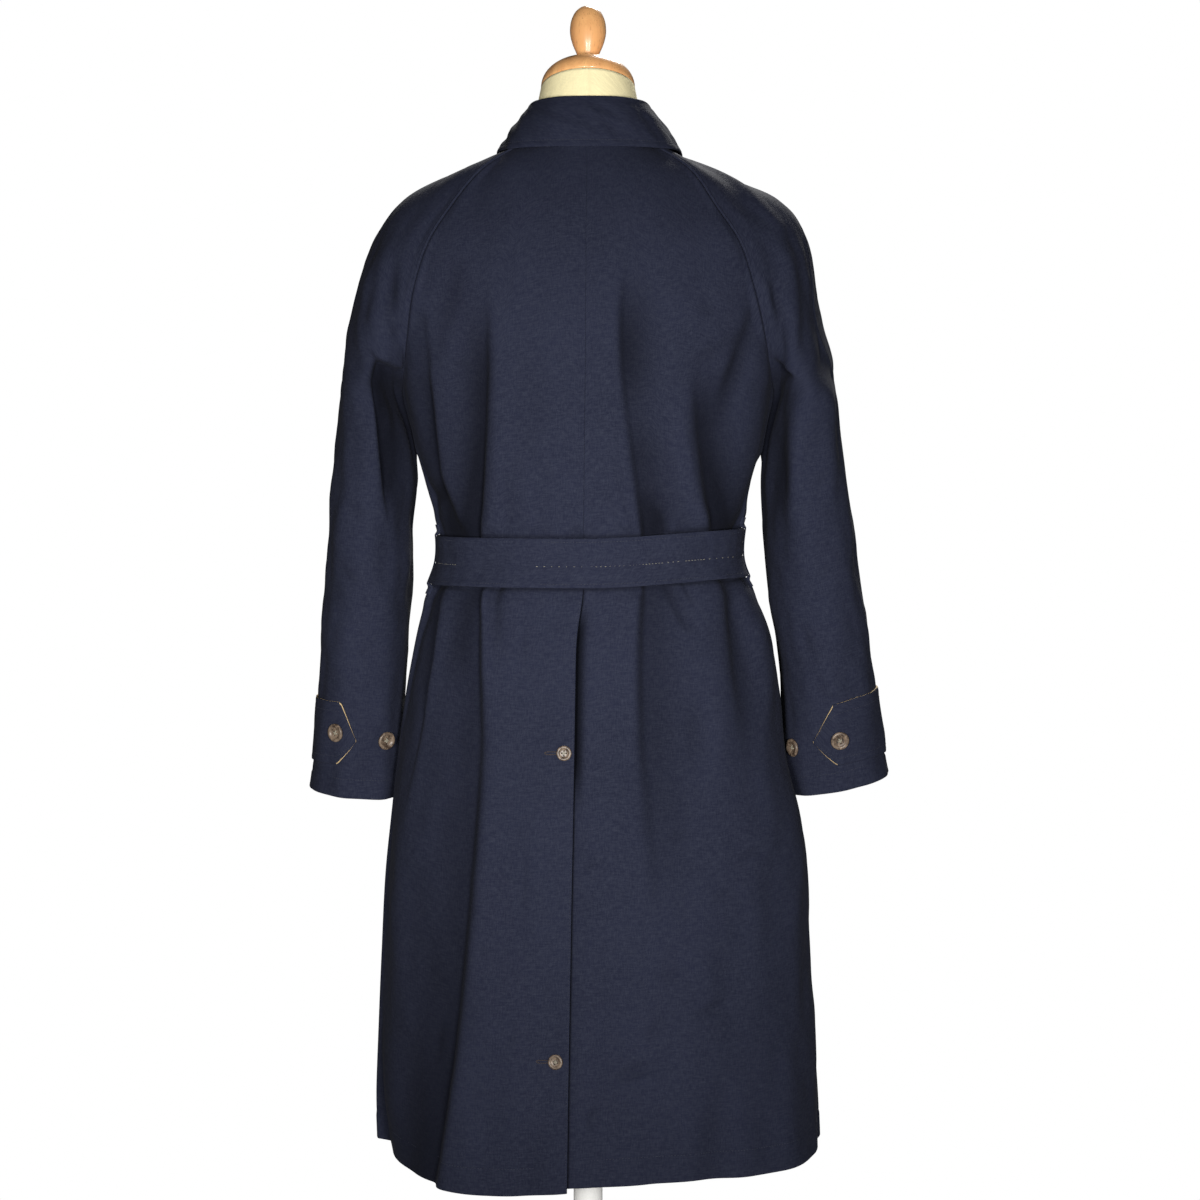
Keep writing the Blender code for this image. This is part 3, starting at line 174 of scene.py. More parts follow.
# Each crease is a smooth path through three points of the cloth, seen square on. Depths are in
# millimetres at those points: below zero is let in, above zero stands out. Plus is its width, in
# millimetres, on the +X side of a path that runs down, and below one that runs towards -X; minus is
# its width on the other side. Growth multiplies both widths by the path's end.
BACK_CREASES = (
    # x1, z1, x2, z2, x3, z3, depth1, depth2, depth3, plus, minus, growth
    # above the belt
    (0.103, 1.350, 0.107, 1.225, 0.120, 1.072, 0.0, -6.0, -8.5, 26, 6.5, 1.0),
    (0.087, 1.330, 0.089, 1.220, 0.097, 1.092, 0.0, 1.7, 2.2, 9, 9, 1.0),
    (0.167, 1.300, 0.162, 1.200, 0.157, 1.125, -1.5, -5.0, -4.0, 13, 5.5, 1.0),
    (0.157, 1.150, 0.149, 1.108, 0.134, 1.074, 0.0, -5.0, -6.5, 13, 6, 1.0),
    (0.122, 1.398, 0.140, 1.325, 0.157, 1.262, 0.0, -1.8, -1.2, 14, 12, 0.9),
    (-0.045, 1.375, -0.039, 1.270, -0.055, 1.130, 0.0, -5.6, 0.0, 6.5, 28, 0.9),
    (-0.044, 1.215, -0.053, 1.150, -0.063, 1.072, 0.0, -4.6, -8.5, 6.5, 30, 1.0),
    (-0.018, 1.180, -0.027, 1.130, -0.040, 1.090, 0.0, 1.6, 1.8, 9, 7, 0.9),
    (-0.112, 1.275, -0.120, 1.185, -0.142, 1.074, 0.0, -6.0, -8.5, 10, 26, 1.0),
    (-0.093, 1.235, -0.099, 1.170, -0.118, 1.100, 0.0, 1.8, 1.5, 9, 7, 1.0),
    (-0.170, 1.305, -0.152, 1.250, -0.134, 1.180, -2.0, -4.6, 0.0, 9, 8, 1.1),
    (-0.160, 1.288, -0.130, 1.268, -0.105, 1.258, -0.5, -1.6, 0.0, 8, 9, 1.2),
    (-0.112, 1.328, -0.120, 1.312, -0.129, 1.296, 0.0, -1.1, 0.0, 8, 9, 1.0),
    (0.028, 1.386, 0.009, 1.349, -0.003, 1.360, 0.0, -0.7, 0.0, 8, 9, 1.0),
    (0.149, 1.257, 0.132, 1.254, 0.116, 1.252, 0.0, -0.6, 0.0, 3, 3, 1.0),
    (-0.084, 1.108, -0.087, 1.092, -0.088, 1.080, 0.0, 1.6, 1.0, 5, 6, 0.8),
    (-0.072, 1.115, -0.074, 1.095, -0.073, 1.074, 0.0, -2.2, -3.2, 6, 5, 0.8),
    (0.016, 1.097, 0.010, 1.086, 0.004, 1.074, 0.0, -1.6, -2.4, 9, 6, 0.8),
    (0.062, 1.330, 0.058, 1.220, 0.060, 1.120, 0.0, -0.9, 0.0, 18, 16, 1.0),
    (0.050, 1.190, 0.046, 1.120, 0.043, 1.076, 0.0, -0.8, -1.6, 8, 9, 1.0),
    # skirt
    (0.118, 1.042, 0.124, 0.760, 0.172, 0.420, -6.0, -9.0, -13.0, 44, 8, 1.5),
    (0.104, 1.030, 0.104, 0.970, 0.108, 0.880, 2.4, 2.2, 0.0, 7, 6, 1.3),
    (0.112, 1.042, 0.134, 0.979, 0.148, 0.925, -5.5, -4.0, 0.0, 12, 10, 1.3),
    (0.087, 1.042, 0.098, 1.012, 0.093, 0.940, -5.5, -3.4, 0.0, 4, 6, 2.2),
    (0.067, 1.002, 0.067, 0.975, 0.066, 0.948, 0.0, -1.0, 0.0, 5, 6, 1.0),
    (0.065, 0.780, 0.065, 0.740, 0.067, 0.690, 0.0, -1.0, 0.0, 6, 6, 1.0),
    (0.153, 1.042, 0.169, 0.935, 0.197, 0.765, -2.6, -3.0, 0.0, 22, 2.6, 1.4),
    (0.147, 1.030, 0.161, 0.950, 0.182, 0.830, 1.6, 1.6, 0.0, 6, 7, 1.2),
    (0.158, 0.605, 0.161, 0.577, 0.165, 0.548, 0.0, -1.6, 0.0, 4, 5, 1.0),
    (-0.065, 1.042, -0.065, 0.890, -0.080, 0.660, -8.5, -7.5, 0.0, 8, 30, 1.8),
    (-0.049, 1.030, -0.047, 0.930, -0.050, 0.820, 1.8, 1.4, 0.0, 8, 6, 1.3),
    (-0.079, 1.042, -0.095, 1.010, -0.112, 0.982, -3.4, -3.2, 0.0, 5, 7, 1.2),
    (-0.100, 1.042, -0.104, 1.026, -0.112, 1.012, -2.0, -1.6, 0.0, 4, 5, 1.2),
    (-0.146, 1.046, -0.162, 0.960, -0.174, 0.770, -7.0, -7.5, 0.0, 11, 12, 1.6),
    (-0.152, 1.046, -0.174, 0.985, -0.196, 0.880, 2.2, 3.4, 0.0, 9, 10, 1.3),
    (-0.112, 0.935, -0.112, 0.890, -0.115, 0.835, 0.0, -2.6, 0.0, 11, 11, 1.1),
    (0.014, 0.753, -0.002, 0.761, -0.015, 0.767, 0.0, -1.5, 0.0, 3, 4, 1.0),
    (-0.073, 0.780, -0.096, 0.787, -0.117, 0.791, 0.0, -1.4, 0.0, 4, 3, 1.0),
    (-0.150, 0.762, -0.170, 0.768, -0.188, 0.773, 0.0, -1.8, 0.0, 4, 3, 1.0),
    (-0.098, 0.597, -0.126, 0.613, -0.152, 0.621, 0.0, -2.2, 0.0, 5, 7, 1.0),
    (-0.018, 0.540, -0.050, 0.555, -0.088, 0.562, 0.0, -2.6, 0.0, 5, 8, 1.0),
    (-0.002, 0.486, -0.008, 0.512, -0.016, 0.528, 0.0, -2.0, 0.0, 7, 6, 1.0),
    (-0.124, 0.720, -0.142, 0.727, -0.162, 0.729, 0.0, -1.3, 0.0, 5, 5, 1.0),
    (-0.050, 0.584, -0.070, 0.597, -0.084, 0.620, 0.0, -1.7, 0.0, 6, 6, 1.0),
    (-0.060, 0.660, -0.090, 0.650, -0.110, 0.662, 0.0, -1.4, 0.0, 9, 7, 1.0),
    (0.119, 0.678, 0.107, 0.672, 0.094, 0.670, 0.0, -0.9, 0.0, 4, 4, 1.0),
    (0.089, 0.599, 0.078, 0.586, 0.070, 0.618, 0.0, -1.0, 0.0, 5, 5, 1.0),
    (0.066, 0.520, 0.058, 0.480, 0.062, 0.440, 0.0, -1.2, -1.6, 12, 12, 1.0),
    (-0.120, 0.560, -0.130, 0.500, -0.128, 0.430, 0.0, -2.0, -3.0, 18, 16, 1.2),
)
FRONT_CREASES = (
    (0.106, 1.290, 0.102, 1.200, 0.109, 1.072, 0.0, -4.5, -6.5, 28, 8, 1.0),
    (0.061, 1.230, 0.058, 1.150, 0.060, 1.072, 0.0, -1.8, -4.0, 7, 16, 0.9),
    (0.142, 1.240, 0.138, 1.160, 0.130, 1.072, -0.5, -3.5, -6.0, 14, 8, 0.9),
    (-0.090, 1.285, -0.090, 1.190, -0.102, 1.072, 0.0, -4.8, -7.0, 8, 26, 1.0),
    (-0.045, 1.180, -0.045, 1.120, -0.050, 1.072, 0.0, -1.8, -3.5, 12, 6, 0.9),
    (-0.150, 1.250, -0.136, 1.170, -0.132, 1.072, -0.5, -3.8, -6.0, 7, 14, 0.9),
    (0.168, 1.290, 0.140, 1.262, 0.112, 1.250, -0.5, -2.0, 0.0, 8, 8, 1.1),
    (-0.168, 1.290, -0.146, 1.250, -0.130, 1.205, -0.5, -2.4, 0.0, 8, 8, 1.1),
    (0.060, 1.360, 0.068, 1.335, 0.074, 1.300, 0.0, -1.0, 0.0, 10, 10, 1.0),
    (0.100, 1.042, 0.117, 0.780, 0.163, 0.420, -6.0, -8.5, -10.0, 40, 9, 1.5),
    (0.062, 1.042, 0.066, 0.960, 0.062, 0.860, -5.0, -3.5, 0.0, 5, 14, 1.5),
    (0.124, 1.042, 0.140, 0.960, 0.152, 0.880, -4.5, -4.0, 0.0, 13, 8, 1.4),
    (-0.086, 1.042, -0.105, 0.800, -0.141, 0.420, -6.0, -8.5, -10.0, 9, 38, 1.5),
    (-0.048, 1.042, -0.050, 0.970, -0.046, 0.870, -4.5, -3.2, 0.0, 12, 5, 1.5),
    (-0.116, 1.042, -0.134, 0.950, -0.150, 0.860, -4.5, -4.0, 0.0, 8, 14, 1.4),
    (-0.150, 0.690, -0.120, 0.672, -0.092, 0.668, 0.0, -1.5, 0.0, 5, 4, 1.0),
    (0.150, 0.620, 0.118, 0.600, 0.096, 0.604, 0.0, -1.6, 0.0, 6, 5, 1.0),
    (-0.060, 0.560, -0.072, 0.540, -0.092, 0.546, 0.0, -1.6, 0.0, 6, 6, 1.0),
    (0.050, 0.740, 0.060, 0.700, 0.058, 0.650, 0.0, -1.2, 0.0, 8, 8, 1.0),
)
LEFT_SLEEVE_CREASES = (
    (0.182, 1.396, 0.205, 1.362, 0.215, 1.305, 0.0, 2.6, 1.6, 8, 10, 1.0),
    (0.190, 1.368, 0.200, 1.330, 0.192, 1.290, 0.0, -3.6, -2.0, 7, 9, 1.1),
    (0.216, 1.268, 0.206, 1.262, 0.193, 1.256, 0.0, 2.6, 1.4, 3, 12, 1.0),
    (0.217, 1.262, 0.206, 1.255, 0.190, 1.250, -2.0, -7.0, -3.0, 24, 3, 1.0),
    (0.213, 1.255, 0.207, 1.180, 0.197, 1.080, -1.0, -6.0, 0.0, 3, 15, 1.0),
    (0.198, 1.222, 0.195, 1.196, 0.191, 1.170, 0.0, 2.0, 0.0, 4, 4, 1.0),
    (0.199, 1.240, 0.193, 1.165, 0.194, 1.075, -3.0, -6.5, -1.0, 13, 12, 1.0),
    (0.200, 1.110, 0.206, 1.060, 0.203, 1.000, 0.0, -1.6, 0.0, 10, 8, 1.1),
    (0.255, 1.130, 0.238, 1.108, 0.222, 1.098, 0.0, -1.2, 0.0, 7, 7, 1.0),
    (0.262, 1.060, 0.246, 1.040, 0.232, 1.034, 0.0, -0.9, 0.0, 6, 6, 1.0),
    (0.214, 0.985, 0.228, 0.960, 0.246, 0.948, 0.0, -1.0, 0.0, 8, 7, 1.0),
    (0.244, 1.350, 0.236, 1.322, 0.232, 1.290, 0.0, -0.9, 0.0, 8, 8, 1.0),
    (0.210, 0.900, 0.214, 0.870, 0.211, 0.845, 0.0, -1.4, 0.0, 7, 6, 1.0),
)
RIGHT_SLEEVE_CREASES = (
    (-0.178, 1.376, -0.203, 1.350, -0.206, 1.255, 0.0, 3.0, 1.6, 9, 8, 1.0),
    (-0.183, 1.350, -0.190, 1.322, -0.194, 1.290, 0.0, -3.2, 0.0, 6, 6, 1.0),
    (-0.192, 1.330, -0.194, 1.290, -0.196, 1.262, 0.0, -2.4, -1.0, 8, 7, 1.0),
    (-0.184, 1.262, -0.196, 1.250, -0.209, 1.242, -1.0, -5.5, -1.0, 18, 3, 1.0),
    (-0.191, 1.225, -0.190, 1.140, -0.196, 1.030, -3.0, -6.0, 0.0, 11, 10, 1.0),
    (-0.216, 1.230, -0.210, 1.150, -0.206, 1.080, 0.0, 1.6, 0.0, 8, 9, 1.0),
    (-0.213, 1.010, -0.222, 0.975, -0.233, 0.945, 0.0, -1.3, 0.0, 7, 6, 1.0),
    (-0.262, 1.060, -0.246, 1.046, -0.232, 1.050, 0.0, -0.9, 0.0, 6, 6, 1.0),
    (-0.250, 1.160, -0.240, 1.140, -0.226, 1.126, 0.0, -1.0, 0.0, 7, 7, 1.0),
    (-0.226, 0.935, -0.246, 0.915, -0.266, 0.912, 0.0, -1.2, 0.0, 8, 6, 1.0),
    (-0.196, 1.400, -0.206, 1.386, -0.214, 1.366, 0.0, -1.0, 0.0, 8, 8, 1.0),
)
FRONT_SLEEVE_CREASES = (
    (0.170, 1.352, 0.196, 1.325, 0.208, 1.270, 0.0, 2.4, 1.2, 8, 10, 1.0),
    (0.178, 1.330, 0.190, 1.295, 0.196, 1.262, 0.0, -3.0, -1.5, 7, 8, 1.0),
    (0.214, 1.255, 0.203, 1.246, 0.190, 1.242, -1.5, -5.5, -2.5, 22, 3, 1.0),
    (0.203, 1.220, 0.196, 1.150, 0.193, 1.060, -1.5, -5.0, 0.0, 12, 11, 1.0),
    (0.246, 1.110, 0.230, 1.082, 0.210, 1.074, 0.0, -2.2, 0.0, 8, 7, 1.0),
    (0.258, 1.066, 0.240, 1.044, 0.216, 1.040, 0.0, -1.8, 0.0, 7, 7, 1.0),
    (0.225, 0.960, 0.240, 0.935, 0.256, 0.926, 0.0, -1.2, 0.0, 8, 7, 1.0),
)
CREASE_STRENGTH = 2.0     # of the worn coat, as a multiple of the depths above
CREASE_ROOM = 0.0140      # deepest that creases go
SKIRT_ROOM = 0.0100       # and how much more in the skirt
# Painted shade: how dark the cloth is painted in its folds and seams, by the belt and vent and under
# the arm, where shade would fall, from 0, its open colour, to 1, its darkest.
FOLD_FULL, FOLD_MOST = 1.1, 0.8           # depth of a full fold, in crease rooms, and its tone
PAINTED_SHADE_CURVE = 1.3                        # above 1, shallow folds are toned less
SKIRT_EASE = 1.2          # added to the full fold in the skirt, where folds run deeper
PAINTED_SEAM_SHADE, PAINTED_UNDERARM_SHADE, PAINTED_BELT_SHADE = 0.55, 0.80, 0.70
PATH_STEPS = 14           # straight steps that a crease's path is measured along
SEAM_STILL = 0.010        # distance from a side, raglan or overarm seam in which creases die out

# Soft unevenness of worn cloth: wavelength across, wavelength down, height, seed.
BODY_UNEVEN = ((0.085, 0.210, 0.0011, 11), (0.040, 0.075, 0.00024, 12), (0.014, 0.022, 0.00005, 13))
SLEEVE_UNEVEN = ((0.050, 0.110, 0.0009, 21), (0.026, 0.048, 0.00025, 22),
                 (0.012, 0.018, 0.00005, 23))

# ---------------------------------------------------------------- small helpers


def fade(distance, length):
    """0 to 1 smoothly as the distance goes from 0 to the length."""
    share = np.clip(np.asarray(distance, float) / length, 0, 1)
    return share * share * (3 - 2 * share)


def hump(distance, width):
    """Bell of height 1 round distance 0."""
    return np.exp(-(np.asarray(distance, float) / width) ** 2)


def together(place, along):
    """Both as arrays of one shape."""
    return np.broadcast_arrays(np.asarray(place, float), np.asarray(along, float))


def soft_oblong(turn, power, half_width, half_height):
    """Points round an oblong with soft corners, which are squarer the lower the power is."""
    across, up = np.cos(turn), np.sin(turn)
    return np.stack((np.sign(across) * np.abs(across) ** power * half_width,
                     np.sign(up) * np.abs(up) ** power * half_height), axis=1)


def unit(vectors):
    """Vectors of length 1."""
    return vectors / np.maximum(np.linalg.norm(vectors, axis=-1, keepdims=True), 1e-12)


def smooth_rows(rows, place):
    """Rows at fractional places, on smooth curves through the given rows."""
    low = np.clip(np.floor(place).astype(int), 0, len(rows) - 2)
    step = (place - low)[(...,) + (None,) * (rows.ndim - 1)]
    a, b, c, d = (rows[np.clip(low + k, 0, len(rows) - 1)] for k in (-1, 0, 1, 2))
    return 0.5 * (2 * b + (c - a) * step + (2 * a - 5 * b + 4 * c - d) * step ** 2
                  + (3 * b - a - 3 * c + d) * step ** 3)


def cubic(rows, along):
    """Points of rows, from 0 at the first seam to 1 at the second."""
    go = along[..., None]
    rest = 1 - go
    return (rows[..., 0, :] * rest ** 3 + rows[..., 1, :] * (3 * go * rest ** 2)
            + rows[..., 2, :] * (3 * go ** 2 * rest) + rows[..., 3, :] * go ** 3)


def running_length(grid, axis):
    """Length run along one axis of a grid of points, from its start."""
    steps = np.linalg.norm(np.diff(grid, axis=axis), axis=-1)
    start = np.zeros_like(np.take(steps, [0], axis=axis))
    return np.concatenate((start, np.cumsum(steps, axis=axis)), axis=axis)


def grid_normals(grid):
    """Unit normals of a grid of points: its rows' way crossed with its columns' way."""
    return unit(np.cross(np.gradient(grid, axis=0), np.gradient(grid, axis=1)))


def even_steps(total, step, edge=(0.0004, 0.0012, 0.0024)):
    """Even distances from 0 to a total, an even number of steps, with finer ones at both ends."""
    inside = np.arange(edge[-1] + step, total - edge[-1] - step / 2, step)
    marks = np.concatenate(([0.0], edge, inside, total - np.array(edge[::-1]), [total]))
    if len(marks) % 2 == 0:
        marks = np.insert(marks, len(edge) + 1, (marks[len(edge)] + marks[len(edge) + 1]) / 2)
    return marks


# ---------------------------------------------------------------- creases and unevenness


def three_stage(share, first, middle, last):
    """Value that goes smoothly from the first through the middle to the last."""
    return (first + (middle - first) * fade(share, 0.5) + (last - middle) * fade(share - 0.5, 0.5))


def crease_depth(creases, x, z):
    """How far all the creases move the cloth out, at places seen square on."""
    total = np.zeros_like(x)
    share = np.linspace(0, 1, PATH_STEPS + 1)
    weights = np.array(((1 - share) * (1 - 2 * share), 4 * share * (1 - share),
                        share * (2 * share - 1)))
    for x1, z1, x2, z2, x3, z3, depth1, depth2, depth3, plus, minus, growth in creases:
        path_x, path_z = np.array((x1, x2, x3)) @ weights, np.array((z1, z2, z3)) @ weights
        reach = 2.6 * max(plus, minus) * max(growth, 1) / 1000
        near = ((x > path_x.min() - reach) & (x < path_x.max() + reach)
                & (z > path_z.min() - reach) & (z < path_z.max() + reach))
        if not near.any():
            continue
        spot_x, spot_z = x[near], z[near]
        best = np.full(spot_x.shape, np.inf)
        side, where = np.zeros_like(best), np.zeros_like(best)
        for step in range(PATH_STEPS):
            start_x, start_z = path_x[step], path_z[step]
            run_x, run_z = path_x[step + 1] - start_x, path_z[step + 1] - start_z
            length = math.hypot(run_x, run_z)
            off_x, off_z = spot_x - start_x, spot_z - start_z
            go = np.clip((off_x * run_x + off_z * run_z) / length ** 2, 0, 1)
            gap = np.hypot(off_x - go * run_x, off_z - go * run_z)
            closer = gap < best
            best = np.where(closer, gap, best)
            side = np.where(closer, (off_z * run_x - off_x * run_z) / length, side)
            where = np.where(closer, (step + go) / PATH_STEPS, where)
        lean = np.clip(side / np.maximum(best, 1e-9), -1, 1)
        width = (plus * (1 + lean) + minus * (1 - lean)) / 2000 * (1 + (growth - 1) * where)
        total[near] += three_stage(where, depth1, depth2, depth3) / 1000 * hump(best, width)
    return total


def unevenness(layers, across, up):
    """Soft random height of worn cloth, the same each time."""
    total = np.zeros(np.broadcast(across, up).shape)
    for across_size, up_size, height, seed in layers:
        pick = np.random.default_rng(seed)
        for _ in range(18):
            turn, phase = pick.uniform(0, math.pi), pick.uniform(0, 2 * math.pi)
            stretch = pick.uniform(0.7, 1.5)
            total += height / 3 * np.cos(2 * math.pi * stretch * (
                math.cos(turn) * across / across_size + math.sin(turn) * up / up_size) + phase)
    return total


# ---------------------------------------------------------------- the quarters' outer faces


def seam_handle(side, face, turn, reach, outward):
    """Handle of a row at a raglan seam: outward along the sleeve, or inward along the body."""
    angle = math.radians(turn)
    across = side * math.cos(angle) * (1 if outward else -1)
    return np.array((across, face * math.sin(angle), 0.0)) * reach


def body_rows(side, face):
    """Rows of a body quarter, hem to neckline: first seam, the two handles, second seam."""
    rows = []
    for height, left, right, back, front, centre_x in BODY:
        width = side * (left if side == LEFT else right)
        depth = face * (back if face == BACK else front)
        middle = centre_x if face == BACK else 0.0
        rows.append(((middle, depth, height), (middle + (width - middle) * FULLNESS, depth, height),
                     (width, depth * FULLNESS, height), (width, 0.0, height)))
    rows[0] = tuple((x, y, z) for (x, y, _), z in zip(rows[0], HEM[side, face]))
    seam = BACK_SEAM if face == BACK else FRONT_SEAM
    for (back_y, back_z, front_y, front_z, centre_x), row in zip(CENTRES, seam):
        left_x, right_x, seam_y, seam_z, turn, reach = row[:6]
        middle = centre_x if face == BACK else 0.0
        first = np.array((middle, back_y, back_z) if face == BACK else (middle, front_y, front_z))
        second = np.array((side * (left_x if side == LEFT else right_x), seam_y, seam_z))
        rows.append((first, first + np.array(((second[0] - middle) * CENTRE_HANDLE, 0, 0)),
                     second + seam_handle(side, face, turn, reach, False), second))
    return np.array(rows, float)


def sleeve_rows(side, face):
    """Rows of a sleeve half, cuff to neckline, from the underarm or raglan seam to the overarm."""
    rows = []
    for inner_x, inner_z, outer_x, outer_z, middle_y, depth in SLEEVE[side]:
        first = np.array((side * inner_x, middle_y, inner_z))
        second = np.array((side * outer_x, middle_y, outer_z))
        droop = CUFF_DROOP if not rows and face == BACK else 0
        bulge = np.array((0, face * depth * TUBE_HANDLE, -droop))
        rows.append((first, first + bulge, second + bulge, second))
    seam = BACK_SEAM if face == BACK else FRONT_SEAM
    for row, over in zip(seam, OVERARM):
        left_x, right_x, seam_y, seam_z, _, _, turn, reach = row
        over_z, left_over, right_over, left_y, right_y, over_turn, over_reach = over
        first = np.array((side * (left_x if side == LEFT else right_x), seam_y, seam_z))
        over_x, over_y = (left_over, left_y) if side == LEFT else (right_over, right_y)
        second = np.array((side * over_x, over_y, over_z))
        slant = math.radians(over_turn if side == RIGHT else 0)
        bulge = np.array((-face * side * math.sin(slant), face * math.cos(slant), 0))
        rows.append((first, first + seam_handle(side, face, turn, reach, True),
                     second + bulge * (over_reach - face * over_y), second))
    return np.array(rows, float)


def belt_low(x):
    """Height of the belt's lower edge at a distance to the wearer's left."""
    return BELT_LOW + BELT_RISE * fade(-np.asarray(x, float), BODY[WAIST_MIDDLE][2])


HEM_DEPTH, CUFF_DEPTH = 0.027, 0.020      # of the turned-up hem and cuffs
FLAP_LIFT = 0.0018                        # how far the vent's flap stands off near its edge
VENT_GAP = 0.0095                         # depth of the gap beside the flap, below the belt
ARMPIT_MEET = (0.5, 2.5)  # rows above the armpit where the seam begins to sink, and over how many
UNDERARM_LOW, UNDERARM_RISE = 1.156, 0.016       # where the sleeve begins to lie against the side
UNDERARM_ROOM, UNDERARM_WIDTH = 0.0004, 0.024    # left between them, and breadth of what moves
UNDERARM_LAP, UNDERARM_TOP = 0.0013, 1.236       # how far the sleeve tucks in front of the side


def underarm_gap(side, face, height):
    """Room between the side seam and the underarm seam at a height."""
    body, sleeve = (rows[:, column] for rows, column in (
        (smooth_rows(body_rows(side, face), np.linspace(0, len(BODY) - 1, 200)), 3),
        (smooth_rows(sleeve_rows(side, face), np.linspace(0, len(SLEEVE[side]) - 1, 200)), 0)))
    return (np.interp(height, sleeve[:, 2], sleeve[:, 0] * side)
            - np.interp(height, body[:, 2], body[:, 0] * side))


TABLE_STEP, TABLE_COLUMNS = 6, 41         # measured rows for each row of sizes, and columns
PUCKER_PITCH = 0.011                      # from one pucker of a hem's stitching to the next


class Surface:
    """Outer face of one quarter of the cloth, with its creases, seams and turned edges."""

    def __init__(self, kind, side, face, creases, uneven, strength):
        self.kind, self.side, self.face = kind, side, face
        self.rows = (body_rows if kind == "body" else sleeve_rows)(side, face)
        self.last = len(self.rows) - 1
        self.armpit = len(BODY) if kind == "body" else len(SLEEVE[side])
        self.creases, self.uneven, self.strength = creases, uneven, strength
        self.places = np.linspace(0, self.last, self.last * TABLE_STEP + 1)
        self.alongs = np.linspace(0, 1, TABLE_COLUMNS)
        grid = self.base(self.places[:, None], self.alongs[None, :])
        self.across, self.up = running_length(grid, 1), running_length(grid, 0)

    def base(self, place, along):
        """Points of the smooth face, before any crease."""
        place, along = together(place, along)
        return cubic(smooth_rows(self.rows, place), along)

    def base_normal(self, place, along):
        """Ways out of the smooth face."""
        place, along = together(place, along)
        low, high = np.clip(place - 0.01, 0, self.last), np.clip(place + 0.01, 0, self.last)
        up = self.base(high, along) - self.base(low, along)
        across = self.base(place, along + 0.004) - self.base(place, along - 0.004)
        return unit(np.cross(up, across)) * self.side * self.face

    def distances(self, place, along):
        """Run of the cloth to the first seam, to the second and down to the lower edge."""
        place, along = together(place, along)
        row = np.clip(place * TABLE_STEP, 0, len(self.places) - 1.0001)
        column = np.clip(along * (len(self.alongs) - 1), 0, len(self.alongs) - 1.0001)
        low, left = row.astype(int), column.astype(int)
        rise, run = row - low, column - left

        def read(table):
            return ((table[low, left] * (1 - run) + table[low, left + 1] * run) * (1 - rise)
                    + (table[low + 1, left] * (1 - run) + table[low + 1, left + 1] * run) * rise)

        near = read(self.across)
        width = self.across[low, -1] * (1 - rise) + self.across[low + 1, -1] * rise
        return near, width - near, read(self.up)

    def along_at(self, place, distance, from_second=False):
        """Shares of rows that lie at a distance from a seam."""
        shares = []
        for spot, gap in np.broadcast(place, distance):
            row = np.array([np.interp(spot, self.places, column) for column in self.across.T])
            shares.append(np.interp(row[-1] - gap if from_second else gap, row, self.alongs))
        return np.array(shares)

    def place_at(self, along, height):
        """Fractional rows at a run of cloth above the lower edge."""
        places = []
        for spot, run in np.broadcast(along, height):
            column = np.array([np.interp(spot, self.alongs, row) for row in self.up])
            places.append(np.interp(run, column, self.places))
        return np.array(places)

    def place_of_height(self, along, height):
        """Fractional rows at a height above the floor."""
        places = []
        for spot, level in np.broadcast(along, height):
            column = self.base(self.places, np.full_like(self.places, spot))[:, 2]
            places.append(np.interp(level, column, self.places))
        return np.array(places)

    def cloth_depth(self, place, along, spot):
        """How far creases, wear and the belt move the face out."""
        near, far, _ = self.distances(place, along)
        x, z = spot[..., 0], spot[..., 2]
        move = crease_depth(self.creases, x, z) * self.strength
        room = CREASE_ROOM + SKIRT_ROOM * (1 - fade(z - 0.80, 0.08))
        move = np.where(move < 0, move / (1 + (move / room) ** 4) ** 0.25, move)
        move = move + unevenness(self.uneven, self.side * near + self.face * 3, z)
        move = move * fade(far, SEAM_STILL)
        if self.kind == "sleeve":
            return move * fade(near, SEAM_STILL)
        inside = np.minimum(z - belt_low(x), belt_low(x) + BELT_HEIGHT - z)
        move = np.where(move > 0, move * (1 - fade(inside + 0.014, 0.012)),
                        move * (1 - fade(inside - 0.002, 0.012)))
        return (move - 0.0010 * fade(inside + 0.004, 0.004)
                + 0.0014 * hump(inside + 0.016, 0.009))

    def painted_shade(self, place, along):
        """Share of painted shade on the face: in folds and seams, by the belt and vent, under the
        arm.
        """
        place, along = together(place, along)
        spot = self.base(place, along)
        x, z = spot[..., 0], spot[..., 2]
        near, far, _ = self.distances(place, along)
        # painted shade deep in the creases, by their depth
        deep = -crease_depth(self.creases, x, z) * self.strength / CREASE_ROOM
        full = FOLD_FULL + SKIRT_EASE * fade(1.05 - z, 0.02)
        share = np.clip(deep / full, 0, 1) ** PAINTED_SHADE_CURVE
        share = np.minimum(share, FOLD_MOST) * fade(far, SEAM_STILL)
        # painted shadow along the seams, a thin dark line
        share = np.maximum(share, PAINTED_SEAM_SHADE * hump(far, 0.0016))
        # painted shade on the inner sleeve, below the armpit
        if self.kind == "sleeve":
            below = 1 - fade(place - self.armpit + 1.5, 1.8)
            return np.maximum(share, PAINTED_UNDERARM_SHADE * below * (1 - fade(near - 0.005, 0.024)))
        # painted shadow along the belt's upper and lower edges
        beside = np.maximum(belt_low(x) - z, z - belt_low(x) - BELT_HEIGHT)
        share = np.maximum(share, PAINTED_BELT_SHADE * hump(beside, 0.0028))
        # painted shadow in the vent's gap and along the flap's edge
        if self.face == BACK and self.side == RIGHT:
            share = np.maximum(share, hump(near, 0.0065) * vent_depth(z) / VENT_GAP)
            share = np.maximum(share, (z < belt_low(x)) * hump(near, 0.0018))
        return share

